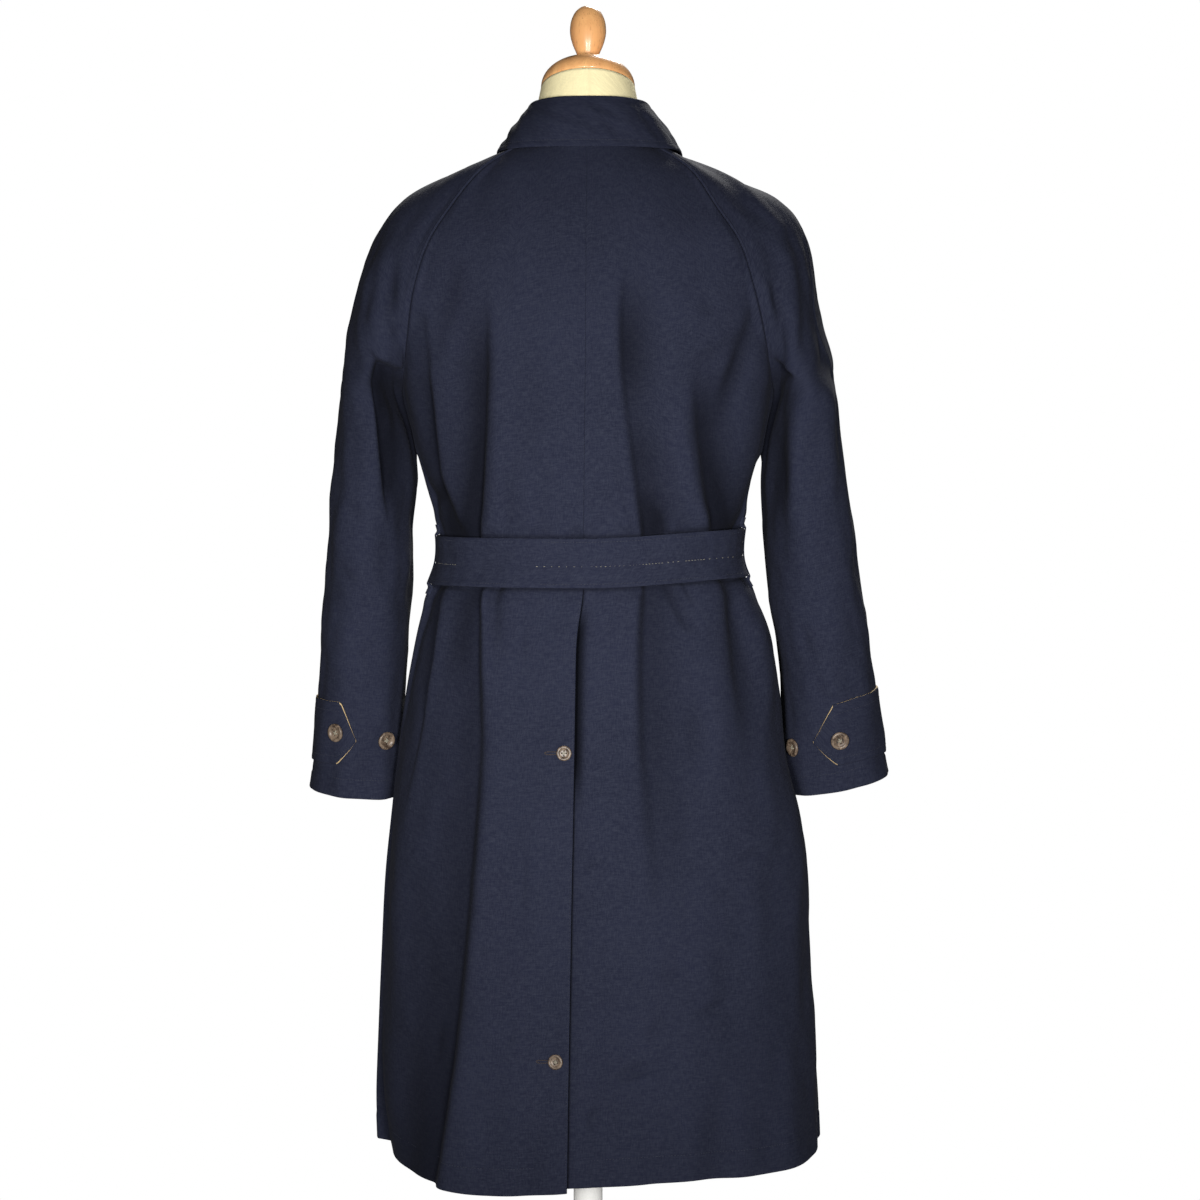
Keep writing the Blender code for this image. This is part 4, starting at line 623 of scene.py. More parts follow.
    def edge_depth(self, place, along, spot):
        """How far seams, turned edges and the vent move the face out."""
        near, far, up = self.distances(place, along)
        place = np.broadcast_to(np.asarray(place, float), near.shape)
        deep = CUFF_DEPTH if self.kind == "sleeve" else HEM_DEPTH
        pucker = 1 + 0.5 * np.sin(2 * math.pi * (near + 0.02 * np.sin(near * 90)) / PUCKER_PITCH)
        move = (0.0005 * (1 - fade(up - deep + 0.0015, 0.002))
                - 0.00045 * hump(up - deep, 0.0013) * pucker - 0.0006 * hump(up, 0.0009))
        yoke = fade(place - self.armpit + 1, 1.0)
        height = spot[..., 2]
        reach = np.maximum(underarm_gap(self.side, self.face, height) - UNDERARM_ROOM, 0) / 2
        shut = fade(height - UNDERARM_LOW, UNDERARM_RISE) * (1 - yoke)
        # round the armpit the sleeve and the side meet with no valley between them
        meet = (fade(height - UNDERARM_LOW, UNDERARM_RISE)
                * (1 - fade(place - self.armpit - ARMPIT_MEET[0], ARMPIT_MEET[1])))
        tuck = UNDERARM_LAP * shut * (1 - fade(height - UNDERARM_TOP, 0.014))
        if self.kind == "sleeve":
            move = move + 0.0001 * meet * hump(near, 0.004)
            lip = 0.0010 * hump(near - 0.0016, 0.0012) + 0.0005 * hump(near - 0.005, 0.0030)
            move = move + yoke * (lip - 0.0006 * (1 - meet) * hump(near, 0.0006))
            move = move - (1 - yoke) * (1 - meet) * 0.0008 * hump(near, 0.0014)
            move = move + shut * reach * hump(near, UNDERARM_WIDTH)
            move = move - self.face * BACK * tuck * hump(near - 0.007, 0.007)
            return move - 0.0009 * hump(far, 0.0013) + 0.0003 * hump(far - 0.0035, 0.002)
        move = move - (0.0007 - 0.0001 * yoke) * (1 - meet) * hump(far, 0.0011)
        move = move + 0.0001 * meet * hump(far, 0.004) + shut * reach * hump(far, UNDERARM_WIDTH)
        move = move + self.face * BACK * tuck * hump(far - 0.007, 0.007)
        if self.face == FRONT:
            return move
        joined = fade(place - VENT_TOP + 0.2, 0.4)
        move = move - joined * 0.0002 * hump(near, 0.0009)
        if self.side == LEFT:
            move = move + joined * 0.0002 * hump(near - 0.003, 0.0018)
            flap = FLAP_LIFT * (1 - fade(near, 0.034)) - 0.0006 * hump(near, 0.0010)
            return move + (1 - joined) * flap
        return move - (1 - joined) * ((WALL + LAP_GAP) * (1 - fade(near - 0.003, 0.017))
                                      + vent_depth(spot[..., 2]) * hump(near, 0.0062))

    def point(self, place, along):
        """Points of the finished face."""
        place, along = together(place, along)
        spot = self.base(place, along)
        move = self.cloth_depth(place, along, spot) + self.edge_depth(place, along, spot)
        return spot + self.base_normal(place, along) * move[..., None]

    def spot(self, place, along, lift=0.0):
        """Points of the finished face moved out by a lift, and its normals there."""
        place, along = together(place, along)
        low, high = np.clip(place - 0.02, 0, self.last), np.clip(place + 0.02, 0, self.last)
        left, right = np.clip(along - 0.005, 0, 1), np.clip(along + 0.005, 0, 1)
        up = self.point(high, along) - self.point(low, along)
        across = self.point(place, right) - self.point(place, left)
        normal = unit(np.cross(up, across)) * self.side * self.face
        return self.point(place, along) + normal * lift, normal


def vent_depth(height):
    """Depth of the gap beside the vent's flap."""
    return (0.0008 + VENT_GAP * fade(height - 0.800, 0.070)) * (1 - fade(height - 0.985, 0.040))


def make_surfaces(strength):
    """The eight quarters' faces, by kind, side and face."""
    surfaces = {}
    for side in (LEFT, RIGHT):
        for face in (BACK, FRONT):
            surfaces["body", side, face] = Surface(
                "body", side, face, BACK_CREASES if face == BACK else FRONT_CREASES, BODY_UNEVEN,
                strength)
            if face == BACK:
                creases = LEFT_SLEEVE_CREASES if side == LEFT else RIGHT_SLEEVE_CREASES
            else:
                creases = [(side * x1, z1, side * x2, z2, side * x3, z3, d1, d2, d3,
                            *((plus, minus) if side == LEFT else (minus, plus)), growth)
                           for x1, z1, x2, z2, x3, z3, d1, d2, d3, plus, minus, growth
                           in FRONT_SLEEVE_CREASES]
            surfaces["sleeve", side, face] = Surface("sleeve", side, face, creases, SLEEVE_UNEVEN,
                                                     strength)
    return surfaces


# ---------------------------------------------------------------- meshes


def new_object(name, mesh, *materials):
    """Object of the scene made from a mesh, with its materials."""
    for material in materials:
        mesh.materials.append(material)
    piece = bpy.data.objects.new(name, mesh)
    bpy.context.scene.collection.objects.link(piece)
    return piece


def finish_piece(piece, slot, *nodes):
    """The piece rides on the object's one body and stands for its solids, which are hidden; the slot
    is not used.
    """
    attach(piece, "root")
    if nodes:
        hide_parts(*nodes)
    return piece


def mesh_from(name, points, faces, uv=None, kinds=None):
    """Smooth mesh from points, faces, a place on the cloth for each point, and a material each."""
    mesh = bpy.data.meshes.new(name)
    mesh.from_pydata(np.asarray(points).tolist(), [], faces)
    mesh.polygons.foreach_set("use_smooth", np.ones(len(mesh.polygons), bool))
    if kinds is not None:
        mesh.polygons.foreach_set("material_index", np.asarray(kinds, np.int32))
    if uv is not None:
        layer = mesh.uv_layers.new(name="cloth")
        corners = np.empty(len(mesh.loops), np.int32)
        mesh.loops.foreach_get("vertex_index", corners)
        layer.data.foreach_set("uv", np.asarray(uv, np.float32)[corners].ravel())
    mesh.update()
    return mesh


BARE_TIP = 0.14           # share of a strap's length, from its point, where its edge looks bare


def shell_mesh(name, outer, wall, uv, present=None, rim_kind=0, inner=None, painted_shade=None):
    """Closed shell on a fine grid of points, with a coarser inside of half as many squares.

    Present tells which of the coarse squares are there. The rim may have a material of its own.
    """
    rows, columns = outer.shape[:2]
    normals = grid_normals(outer)
    if inner is None:
        middle = outer[rows // 2, columns // 2]
        away = middle - np.array((0, 0, middle[2]))
        sign = 1 if normals[rows // 2, columns // 2] @ away > 0 else -1
        inner = outer - normals * wall * sign
    else:
        thick = outer[rows // 2, columns // 2] - inner[rows // 2, columns // 2]
        sign = 1 if normals[rows // 2, columns // 2] @ thick > 0 else -1
    inside = inner[::2, ::2]
    deep, broad = inside.shape[:2]
    if present is None:
        present = np.ones((deep - 1, broad - 1), bool)
    offset = rows * columns
    faces, kinds = [], []
    fine = present.repeat(2, axis=0).repeat(2, axis=1)
    r, c = np.nonzero(fine)
    quads = np.stack((r * columns + c, (r + 1) * columns + c, (r + 1) * columns + c + 1,
                      r * columns + c + 1), axis=1)
    r, c = np.nonzero(present)
    backs = offset + np.stack((r * broad + c, r * broad + c + 1, (r + 1) * broad + c + 1,
                               (r + 1) * broad + c), axis=1)
    if sign < 0:
        quads, backs = quads[:, ::-1], backs[:, ::-1]
    faces += quads.tolist() + backs.tolist()
    kinds += [0] * len(faces)
    if rim_kind:          # a bare edge shows its own material on the skin's border too
        r, c = np.nonzero(fine)
        tip = c < columns * BARE_TIP
        for i in np.nonzero(((r == 0) | (r == rows - 2)) & tip | (c == 0))[0]:
            kinds[i] = rim_kind
    padded = np.pad(present, 1)
    for row, column in zip(*np.nonzero(present)):
        corners = [(row, column), (row, column + 1), (row + 1, column + 1), (row + 1, column)]
        for step, (near_row, near_column) in enumerate(((-1, 0), (0, 1), (1, 0), (0, -1))):
            if padded[row + 1 + near_row, column + 1 + near_column]:
                continue
            (r1, c1), (r2, c2) = corners[step], corners[(step + 1) % 4]
            rim = [2 * r1 * columns + 2 * c1, (r1 + r2) * columns + c1 + c2,
                   2 * r2 * columns + 2 * c2, offset + r2 * broad + c2, offset + r1 * broad + c1]
            faces.append(rim if sign > 0 else rim[::-1])
            kinds.append(rim_kind)
    points = np.concatenate((outer.reshape(-1, 3), inside.reshape(-1, 3)))
    places = np.concatenate((uv.reshape(-1, 2), uv[::2, ::2].reshape(-1, 2)))
    used = np.zeros(len(points), bool)
    used[np.fromiter((i for face in faces for i in face), int)] = True
    fresh = np.cumsum(used) - 1
    faces = [[int(fresh[i]) for i in face] for face in faces]
    mesh = mesh_from(name, points[used], faces, places[used], kinds)
    # painted shade for each point, which the cloth's material darkens the colour by
    if painted_shade is not None:
        shares = np.concatenate((painted_shade.ravel(), painted_shade[::2, ::2].ravel()))[used]
        mesh.attributes.new("painted_shade", "FLOAT", "POINT").data.foreach_set(
            "value", shares.astype(np.float32))
    return mesh


def cloth_uv(grid, middle_row=0):
    """Place on the flat cloth for each point of a grid, in metres."""
    across, up = running_length(grid, 1), running_length(grid, 0)
    return np.stack((across, up - up[middle_row]), axis=-1)


def revolved(profile, sides, spread=(1.0, 1.0)):
    """Points and faces turned about the Z axis, from the top's middle down to the bottom's."""
    turn = np.linspace(0, 2 * math.pi, sides, endpoint=False)
    points, faces = [(0, 0, profile[0][1])], []
    for radius, height in profile[1:-1]:
        points += [(radius * math.cos(a) * spread[0], radius * math.sin(a) * spread[1], height)
                   for a in turn]
    points.append((0, 0, profile[-1][1]))
    last = len(points) - 1
    for i in range(sides):
        j = (i + 1) % sides
        faces.append([0, 1 + i, 1 + j])
        for ring in range(len(profile) - 3):
            low = 1 + ring * sides
            faces.append([low + i, low + sides + i, low + sides + j, low + j])
        low = 1 + (len(profile) - 3) * sides
        faces.append([low + i, last, low + j])
    return np.array(points, float), faces


def smooth_profile(profile, steps):
    """Finer outline on a smooth curve through an outline's points."""
    return smooth_rows(np.array(profile, float), np.linspace(0, len(profile) - 1, steps))


def placed(points, origin, normal, up_hint=(0, 0, 1)):
    """Points turned so that their Z axis is the normal, and moved to the origin."""
    z = unit(np.asarray(normal, float))
    y = np.asarray(up_hint, float) - z * (np.asarray(up_hint, float) @ z)
    y = unit(y)
    turn = np.stack((np.cross(y, z), y, z))
    return np.asarray(points) @ turn + np.asarray(origin)


# ---------------------------------------------------------------- cloth panels

ROW_STEP = 0.0030         # of the back's grid, up the cloth
BACK_STEP, FRONT_STEP, SLEEVE_STEP = 0.0022, 0.0034, 0.0021       # across it
VENT_LAP, FRONT_LAP = 0.12, 0.065         # shares of a row to which the lapped edges run on
FRONT_DIP = (0.08, 0.16)  # shares of a row to which the underlapped front is let in and back out
LAP_COLUMNS = 10
LAP_TOP = 9.6             # body row where the vent's underlap ends, behind the belt


def panel_places(surface, step):
    """Fractional rows of a panel's grid."""
    column = surface.up[:, len(surface.alongs) // 2]
    return np.interp(even_steps(column[-1], step), column, surface.places)


def panel_alongs(surface, step, open_edge=False):
    """Shares of a row of a panel's grid, with its seam edges drawn back by half a gap."""
    row = surface.across[(5 if surface.kind == "body" else 8) * TABLE_STEP]
    marks = even_steps(row[-1], step)
    marks[-1] -= SEAM_GAP / 2
    if not open_edge:
        marks[0] += SEAM_GAP / 2
    return np.interp(marks, row, surface.alongs)


def cut_panel(name, grid, material, painted_shade, present=None):
    """A panel of the coat as a shell that stands for its solid."""
    uv = cloth_uv(grid)
    mesh = shell_mesh(name + "_cloth", grid, WALL, uv, present, painted_shade=painted_shade)
    return finish_piece(new_object(name + "_cloth", mesh, material), "navy_cotton", name)


def make_backs(surfaces, material):
    """The left back laps over the vent; the right back carries the underlap behind it."""
    left, right = surfaces["body", LEFT, BACK], surfaces["body", RIGHT, BACK]
    places = panel_places(left, ROW_STEP)[:, None]
    alongs = panel_alongs(left, BACK_STEP)[None, :]
    cut_panel("back_left", left.point(places, alongs), material, left.painted_shade(places, alongs))
    lap = np.linspace(VENT_LAP, 0, LAP_COLUMNS + 1)[None, :-1]
    spot = left.base(places, lap)
    move = left.cloth_depth(places, lap, spot) - WALL - LAP_GAP - vent_depth(spot[..., 2])
    under = (spot + left.base_normal(places, lap) * move[..., None]
             + right.base(places, 0.0) - left.base(places, 0.0))
    alongs = panel_alongs(right, BACK_STEP, True)[None, :]
    grid = np.concatenate((under, right.point(places, alongs)), axis=1)
    # painted shadow in the vent's gap, on the underlap behind the flap
    painted_shade = np.concatenate((fade(vent_depth(spot[..., 2]), VENT_GAP),
                             right.painted_shade(places, alongs)), axis=1)
    present = np.ones((len(grid) // 2, grid.shape[1] // 2), bool)
    present[places[1:-1:2, 0] > LAP_TOP, :LAP_COLUMNS // 2] = False
    cut_panel("back_right", grid, material, painted_shade, present)


def make_fronts(surfaces, material):
    """The left front laps over the right one, which runs on under it."""
    left, right = surfaces["body", LEFT, FRONT], surfaces["body", RIGHT, FRONT]
    places = panel_places(left, ROW_STEP * 1.25)[:, None]
    lap = np.linspace(FRONT_LAP, 0, LAP_COLUMNS + 1)[None, :-1]
    alongs = panel_alongs(left, FRONT_STEP, True)[None, :]
    over = np.concatenate((right.point(places, lap), left.point(places, alongs)), axis=1)
    cut_panel("front_left", over, material, np.concatenate(
        (right.painted_shade(places, lap), left.painted_shade(places, alongs)), axis=1))
    alongs = panel_alongs(right, FRONT_STEP, True)[None, :]
    flat, ramp = FRONT_DIP
    dip = (WALL + LAP_GAP) * (1 - fade(alongs - flat, ramp - flat))
    body = right.point(places, alongs) - right.base_normal(places, alongs) * dip[..., None]
    under = left.point(places, lap) - left.base_normal(places, lap) * (WALL + LAP_GAP)
    cut_panel("front_right", np.concatenate((under, body), axis=1), material, np.concatenate(
        (left.painted_shade(places, lap), right.painted_shade(places, alongs)), axis=1))


def make_sleeves(surfaces, material):
    """Each sleeve is a back and a front half, from the cuff to the neckline."""
    for side, side_name in ((LEFT, "left"), (RIGHT, "right")):
        for face, face_name in ((BACK, "back"), (FRONT, "front")):
            surface = surfaces["sleeve", side, face]
            coarser = 1 if face == BACK else 1.25
            places = panel_places(surface, ROW_STEP * coarser)[:, None]
            alongs = panel_alongs(surface, SLEEVE_STEP * coarser)[None, :]
            cut_panel(f"sleeve_{face_name}_{side_name}", surface.point(places, alongs), material,
                      surface.painted_shade(places, alongs))


# ---------------------------------------------------------------- collar

COLLAR_SHIFT = np.array((-0.0015, 0, 0))
FOLD_HALF = 0.003         # half-width across the collar's fold
STAND_DROP = 0.006        # from the fold's top down to the stand's top edge
# Stations round the neck, from the centre of the back (0) to the centre of the front (1).
COLLAR = (
    # station, fold_x, fold_y, fold_z, leaf_x, leaf_y, leaf_z
    (0.000, 0.0000, 0.0625, 1.5280, 0.0000, 0.0790, 1.4757),
    (0.150, 0.0310, 0.0575, 1.5278, 0.0440, 0.0745, 1.4757),
    (0.276, 0.0515, 0.0380, 1.5265, 0.0790, 0.0550, 1.4757),
    (0.375, 0.0585, 0.0180, 1.5250, 0.0900, 0.0280, 1.4765),
    (0.474, 0.0610, -0.0060, 1.5225, 0.0960, -0.0020, 1.4752),
    (0.560, 0.0590, -0.0260, 1.5155, 0.0975, -0.0270, 1.4660),
    (0.650, 0.0540, -0.0450, 1.5050, 0.0950, -0.0500, 1.4515),
    (0.820, 0.0340, -0.0730, 1.4790, 0.0800, -0.0885, 1.4200),
    (1.000, 0.0040, -0.0870, 1.4555, 0.0500, -0.1060, 1.3850),
)
COLLAR_HALF_COLUMNS = 84
COLLAR_UNEVEN = ((0.045, 0.060, 0.0009, 41), (0.018, 0.030, 0.00035, 42))


def collar_line(surfaces):
    """The neckline, the fold's top, the leaf's edge and the way outward, at even stations."""
    halves = []
    out = np.linspace(0, 1, 25)
    for side in (LEFT, RIGHT):
        parts = [surfaces[kind, side, face].base(surfaces[kind, side, face].last, shares)
                 for kind, face, shares in (
                     ("body", BACK, out), ("sleeve", BACK, out),
                     ("sleeve", FRONT, out[::-1]), ("body", FRONT, out[::-1]))]
        line = np.concatenate(parts)
        run = running_length(line, 0)
        marks = np.linspace(0, run[-1], COLLAR_HALF_COLUMNS + 1)
        neck = np.stack([np.interp(marks, run, line[:, axis]) for axis in range(3)], axis=1)
        table = np.array(COLLAR)
        place = np.interp(marks / run[-1], table[:, 0], np.arange(len(table)))
        sizes = smooth_rows(table, place)
        fold, leaf = sizes[:, 1:4].copy(), sizes[:, 4:7].copy()
        fold[:, 0] *= side
        leaf[:, 0] *= side
        halves.append((neck, fold + COLLAR_SHIFT, leaf + COLLAR_SHIFT))
    neck, fold, leaf = (np.concatenate((right[:0:-1], left)) for left, right in zip(*halves))
    along = np.gradient(fold, axis=0)
    outward = unit(np.stack((-along[:, 1], along[:, 0], np.zeros(len(along))), axis=1))
    if outward[len(outward) // 2, 1] < 0:
        outward = -outward
    return neck, fold, leaf, outward


def collar_fall_grid(surfaces):
    """Points of the fall's face, from inside the fold, over it and down to the leaf's edge."""
    _, fold, leaf, outward = collar_line(surfaces)
    up = np.array((0, 0, 1.0))
    grid = [fold - outward * FOLD_HALF - up * drop for drop in (0.0060, 0.0045, 0.0030)]
    for angle in np.radians(np.arange(157.5, -1, -22.5)):
        grid.append(fold + outward * FOLD_HALF * math.cos(angle)
                    + up * FOLD_HALF * (math.sin(angle) - 1))
    shoulder = grid[-1]
    depth = np.linalg.norm(leaf - shoulder, axis=1).max()
    marks = even_steps(depth, 0.0030)[1:] / depth
    for share in marks:
        grid.append(shoulder * (1 - share) + leaf * share
                    + outward * (0.0045 * share * (1 - share) * 4 * 0.45))
    grid = np.array(grid)
    if len(grid) % 2 == 0:
        grid = np.insert(grid, 1, (grid[0] + grid[1]) / 2, axis=0)
    run, down = running_length(grid, 1), running_length(grid, 0)
    worn = unevenness(COLLAR_UNEVEN, run, down) * fade(down - 0.010, 0.015)
    lift = worn * (1 - 0.5 * fade(down - 0.050, 0.020))
    # turned edge: a shallow row of topstitching, six millimetres in, and a rolled rim
    low = down[-1] - down
    lift += 0.0004 * (1 - fade(low - 0.0055, 0.0015)) - 0.0004 * hump(low - 0.0065, 0.0011)
    lift -= 0.0006 * hump(low, 0.0009)
    return grid + outward[None] * (lift * fade(down - 0.006, 0.006))[..., None]


def make_collar(surfaces, material):
    """The stand rises from the neckline, and the fall turns over it."""
    neck, fold, _, outward = collar_line(surfaces)
    up = np.array((0, 0, 1.0))
    top = fold - outward * (FOLD_HALF - WALL) - up * (STAND_DROP + SEAM_GAP)
    low = neck + unit(top - neck) * SEAM_GAP
    stand = np.array([low * (1 - share) + top * share for share in np.linspace(0, 1, 13)])
    mesh = shell_mesh("collar_stand_cloth", stand, WALL, cloth_uv(stand),
                      inner=stand - outward * WALL)
    finish_piece(new_object("collar_stand_cloth", mesh, material), "navy_cotton", "collar_stand")
    fall = collar_fall_grid(surfaces)
    normals = grid_normals(fall)
    sign = 1 if normals[-3, len(outward) // 2] @ outward[len(outward) // 2] > 0 else -1
    mesh = shell_mesh("collar_fall_cloth", fall, WALL, cloth_uv(fall),
                      inner=fall - normals * WALL * sign)
    finish_piece(new_object("collar_fall_cloth", mesh, material), "navy_cotton", "collar_fall")


# ---------------------------------------------------------------- belt, loops and buckle

# The tail laps over the buckle's bar and on over the belt's start: how far it is lifted along the
# front, where shares of the rows count below zero on the wearer's right.
TAIL_SHARES = (-0.27, -0.16, -0.07, -0.035, 0.0, 0.035, 0.07, 0.16, 0.50)
TAIL_LIFTS = (0.0005, 0.0005, 0.0030, 0.0050, 0.0053, 0.0046, 0.0033, 0.0033, 0.0033)
BELT_SEAM, BELT_FAINT_LINE = 0.43, 0.72   # heights of its long seam and of a faint line, as shares
BELT_UNEVEN = ((0.060, 0.030, 0.0006, 51), (0.022, 0.012, 0.00025, 52))
BELT_STEP = 0.0042        # of its grid, round the waist
BELT_MARKS = (            # and heights of its grid's rows
    0.0, 0.0007, 0.0016, 0.0030, 0.0060, 0.0100, 0.0150, 0.0190, 0.0215, 0.0240,
    0.0280, 0.0325, 0.0360, 0.0395, 0.0440, 0.0470, 0.0484, 0.0493, 0.0500)


def waist_points(surface, along, height, lift):
    """Points near the waist at heights above the floor, off the smooth face by a lift."""
    places = np.linspace(7, 13, 121)
    heights = surface.base(places, 0.5)[:, 2]
    place = np.interp(height, heights, places)
    return surface.base(place, along) + surface.base_normal(place, along) * lift[..., None]


def belt_grid(surfaces, extra, worn):
    """Points of the belt's face, once round from the front's centre and on along its tail."""
    columns = []
    marks = np.array(BELT_MARKS)
    runs = ((LEFT, FRONT, 0.0, 1.0), (LEFT, BACK, 1.0, 0.0), (RIGHT, BACK, 0.0, 1.0),
            (RIGHT, FRONT, 1.0, 0.0), (LEFT, FRONT, 0.0, 0.5))
    run_before = 0.0
    for number, (side, face, start, end) in enumerate(runs):
        surface = surfaces["body", side, face]
        row = surface.across[WAIST_MIDDLE * TABLE_STEP]
        length = row[-1] * abs(end - start)
        count = 2 * round(length / BELT_STEP / 2)
        shares = np.linspace(start, end, count + 1)
        shares = shares if number == 0 else shares[1:]
        for share in shares:
            base = surface.base(WAIST_MIDDLE, share)
            signed = share if side == LEFT else -share
            lift = LAP_GAP
            if number >= 3:
                lift = float(np.interp(signed, TAIL_SHARES, TAIL_LIFTS))
            height = belt_low(base[0]) + marks
            run = run_before + row[-1] * abs(share - start)
            rise = np.full(len(marks), lift + extra)
            if worn:
                edge = np.minimum(marks, marks[-1] - marks)
                rise -= 0.0008 * hump(edge, 0.0012)
                rise -= 0.0007 * hump(marks - BELT_SEAM * marks[-1], 0.0011)
                rise -= 0.0003 * hump(marks - BELT_FAINT_LINE * marks[-1], 0.0014)
                rise += (np.clip(unevenness(BELT_UNEVEN, np.full(len(marks), run), marks),
                                 -0.0009, 0.0007) * fade((1 - share) * row[-1], 0.025))
            columns.append(waist_points(surface, share, height, rise))
        run_before += length
    return np.array(columns).transpose(1, 0, 2)


def make_belt(surfaces, material):
    """One band, once round the waist and past the front's centre."""
    outer, inner = belt_grid(surfaces, BELT_WALL, True), belt_grid(surfaces, 0.0, False)
    mesh = shell_mesh("belt_cloth", outer, BELT_WALL, cloth_uv(outer), inner=inner)
    finish_piece(new_object("belt_cloth", mesh, material), "navy_cotton", "belt")


LOOP_WIDTH = 0.010
LOOP_WALL = 0.0012
# How far a loop's inner side lies off the coat, beyond the belt's edges and across it.
LOOP_ENDS = (-0.0110, 0.0610)             # from the belt's lower edge
LOOP_LIFT = 0.00285                       # of its inner side off the coat, across the belt


def loop_grid(surfaces, side, extra):
    """Points of a belt loop's face, up its height and across the side seam."""
    back, front = surfaces["body", side, BACK], surfaces["body", side, FRONT]
    speed = 3 * FULLNESS * BODY[WAIST_MIDDLE][3]
    heights = even_steps(LOOP_ENDS[1] - LOOP_ENDS[0], 0.0008) + LOOP_ENDS[0]
    # outside, the loop bends softly over the belt's edges; inside, it fills the corners there
    bend, room = (0.0042, 0.0050) if extra else (0.0008, 0.0010)
    low = belt_low(side * BODY[WAIST_MIDDLE][1])
    columns = []
    for offset in np.linspace(-LOOP_WIDTH / 2, LOOP_WIDTH / 2, 11):
        surface = front if offset < 0 else back
        soft = 0.0003 * hump(abs(offset) - LOOP_WIDTH / 2, 0.0008) if extra else 0
        along = 1 - abs(offset) / speed
        columns.append(waist_points(surface, along, low + heights,
                                    np.full(len(heights), LOOP_LIFT + extra - soft)))
        place = surface.place_of_height(along, low + heights)
        on_coat = surface.point(place, np.full_like(place, along))
        on_coat += surface.base_normal(place, along) * (0.0003 + extra - soft)
        hug = 1 - fade(np.minimum(heights + room, BELT_HEIGHT + room - heights), bend)
        columns[-1] = columns[-1] * (1 - hug[:, None]) + on_coat * hug[:, None]
    return np.array(columns).transpose(1, 0, 2)


def make_loops(surfaces, material):
    """A loop at each side seam, sewn above and below the belt."""
    for side, name in ((LEFT, "belt_loop_left"), (RIGHT, "belt_loop_right")):
        outer, inner = loop_grid(surfaces, side, LOOP_WALL), loop_grid(surfaces, side, 0.0)
        mesh = shell_mesh(name + "_cloth", outer, LOOP_WALL, cloth_uv(outer), inner=inner)
        finish_piece(new_object(name + "_cloth", mesh, material), "navy_cotton", name)


BUCKLE_HALF_WIDTH, BUCKLE_HALF_HEIGHT = 0.025, 0.031
BUCKLE_RAIL = 0.004
BUCKLE_BAR_LIFT, BUCKLE_RAIL_LIFT = 0.0032, 0.0060           # of their inner sides, off the coat
BUCKLE_RAIL_DEPTH, BUCKLE_BAR_DEPTH = 0.0025, 0.0016
RAIL_SQUARENESS, FRAME_SQUARENESS = 0.62, 0.32    # 1 is an ellipse, less is squarer


def rounded_section(half_width, half_depth, count=16):
    """Outline of a rail, a soft rectangle."""
    turn = np.linspace(0, 2 * math.pi, count, endpoint=False)
    return soft_oblong(turn, RAIL_SQUARENESS, half_width, half_depth)


def make_buckle(surfaces, material):
    """Slide buckle: a rounded frame, and a lower bar that the belt runs over."""
    middle_z = BELT_LOW + BELT_HEIGHT / 2
    surface = surfaces["body", LEFT, FRONT]
    face_y = surface.base(surface.place_of_height(0.0, middle_z), 0.0)[0, 1]
    rail_y = face_y - BUCKLE_RAIL_LIFT - BUCKLE_RAIL_DEPTH / 2
    half = BUCKLE_RAIL / 2
    reach_x, reach_z = BUCKLE_HALF_WIDTH - half, BUCKLE_HALF_HEIGHT - half
    turn = np.linspace(0, 2 * math.pi, 72, endpoint=False)
    path = soft_oblong(turn, FRAME_SQUARENESS, reach_x, reach_z)
    ahead = unit(np.roll(path, -1, axis=0) - np.roll(path, 1, axis=0))
    outward = np.stack((ahead[:, 1], -ahead[:, 0]), axis=1)
    section = rounded_section(half, BUCKLE_RAIL_DEPTH / 2)
    points = [(x + ox * a, rail_y - b, middle_z + z + oz * a)
              for (x, z), (ox, oz) in zip(path, outward) for a, b in section]
    ring, count = len(section), len(path)
    faces = [[i * ring + j, i * ring + (j + 1) % ring, (i + 1) % count * ring + (j + 1) % ring,
              (i + 1) % count * ring + j] for i in range(count) for j in range(ring)]
    bar_y = face_y - BUCKLE_BAR_LIFT - BUCKLE_BAR_DEPTH / 2
    start = len(points)
    levels = np.linspace(-1, 1, 25)
    bar_section = rounded_section(half * 0.95, BUCKLE_BAR_DEPTH / 2)
    for level in levels:
        # the bar's ends swing out to meet the frame
        swing = (rail_y - bar_y) * fade(abs(level) - 0.80, 0.17)
        points += [(a, bar_y + swing - b, middle_z + level * reach_z) for a, b in bar_section]
    for i in range(len(levels) - 1):
        faces += [[start + i * ring + j, start + (i + 1) * ring + j,
                   start + (i + 1) * ring + (j + 1) % ring, start + i * ring + (j + 1) % ring]
                  for j in range(ring)]
    faces.append([start + j for j in range(ring)])
    faces.append([start + (len(levels) - 1) * ring + j for j in reversed(range(ring))])
    mesh = mesh_from("belt_buckle_slide", points, faces)
    outward_faces(mesh)
    finish_piece(new_object("belt_buckle_slide", mesh, material), "horn", "belt_buckle")


def outward_faces(mesh):
    """Turns a closed mesh's faces outward."""
    solid = bmesh.new()
    solid.from_mesh(mesh)
    bmesh.ops.recalc_face_normals(solid, faces=solid.faces)
    solid.to_mesh(mesh)
    solid.free()


# ---------------------------------------------------------------- cuff straps

STRAP_WALL = 0.0020
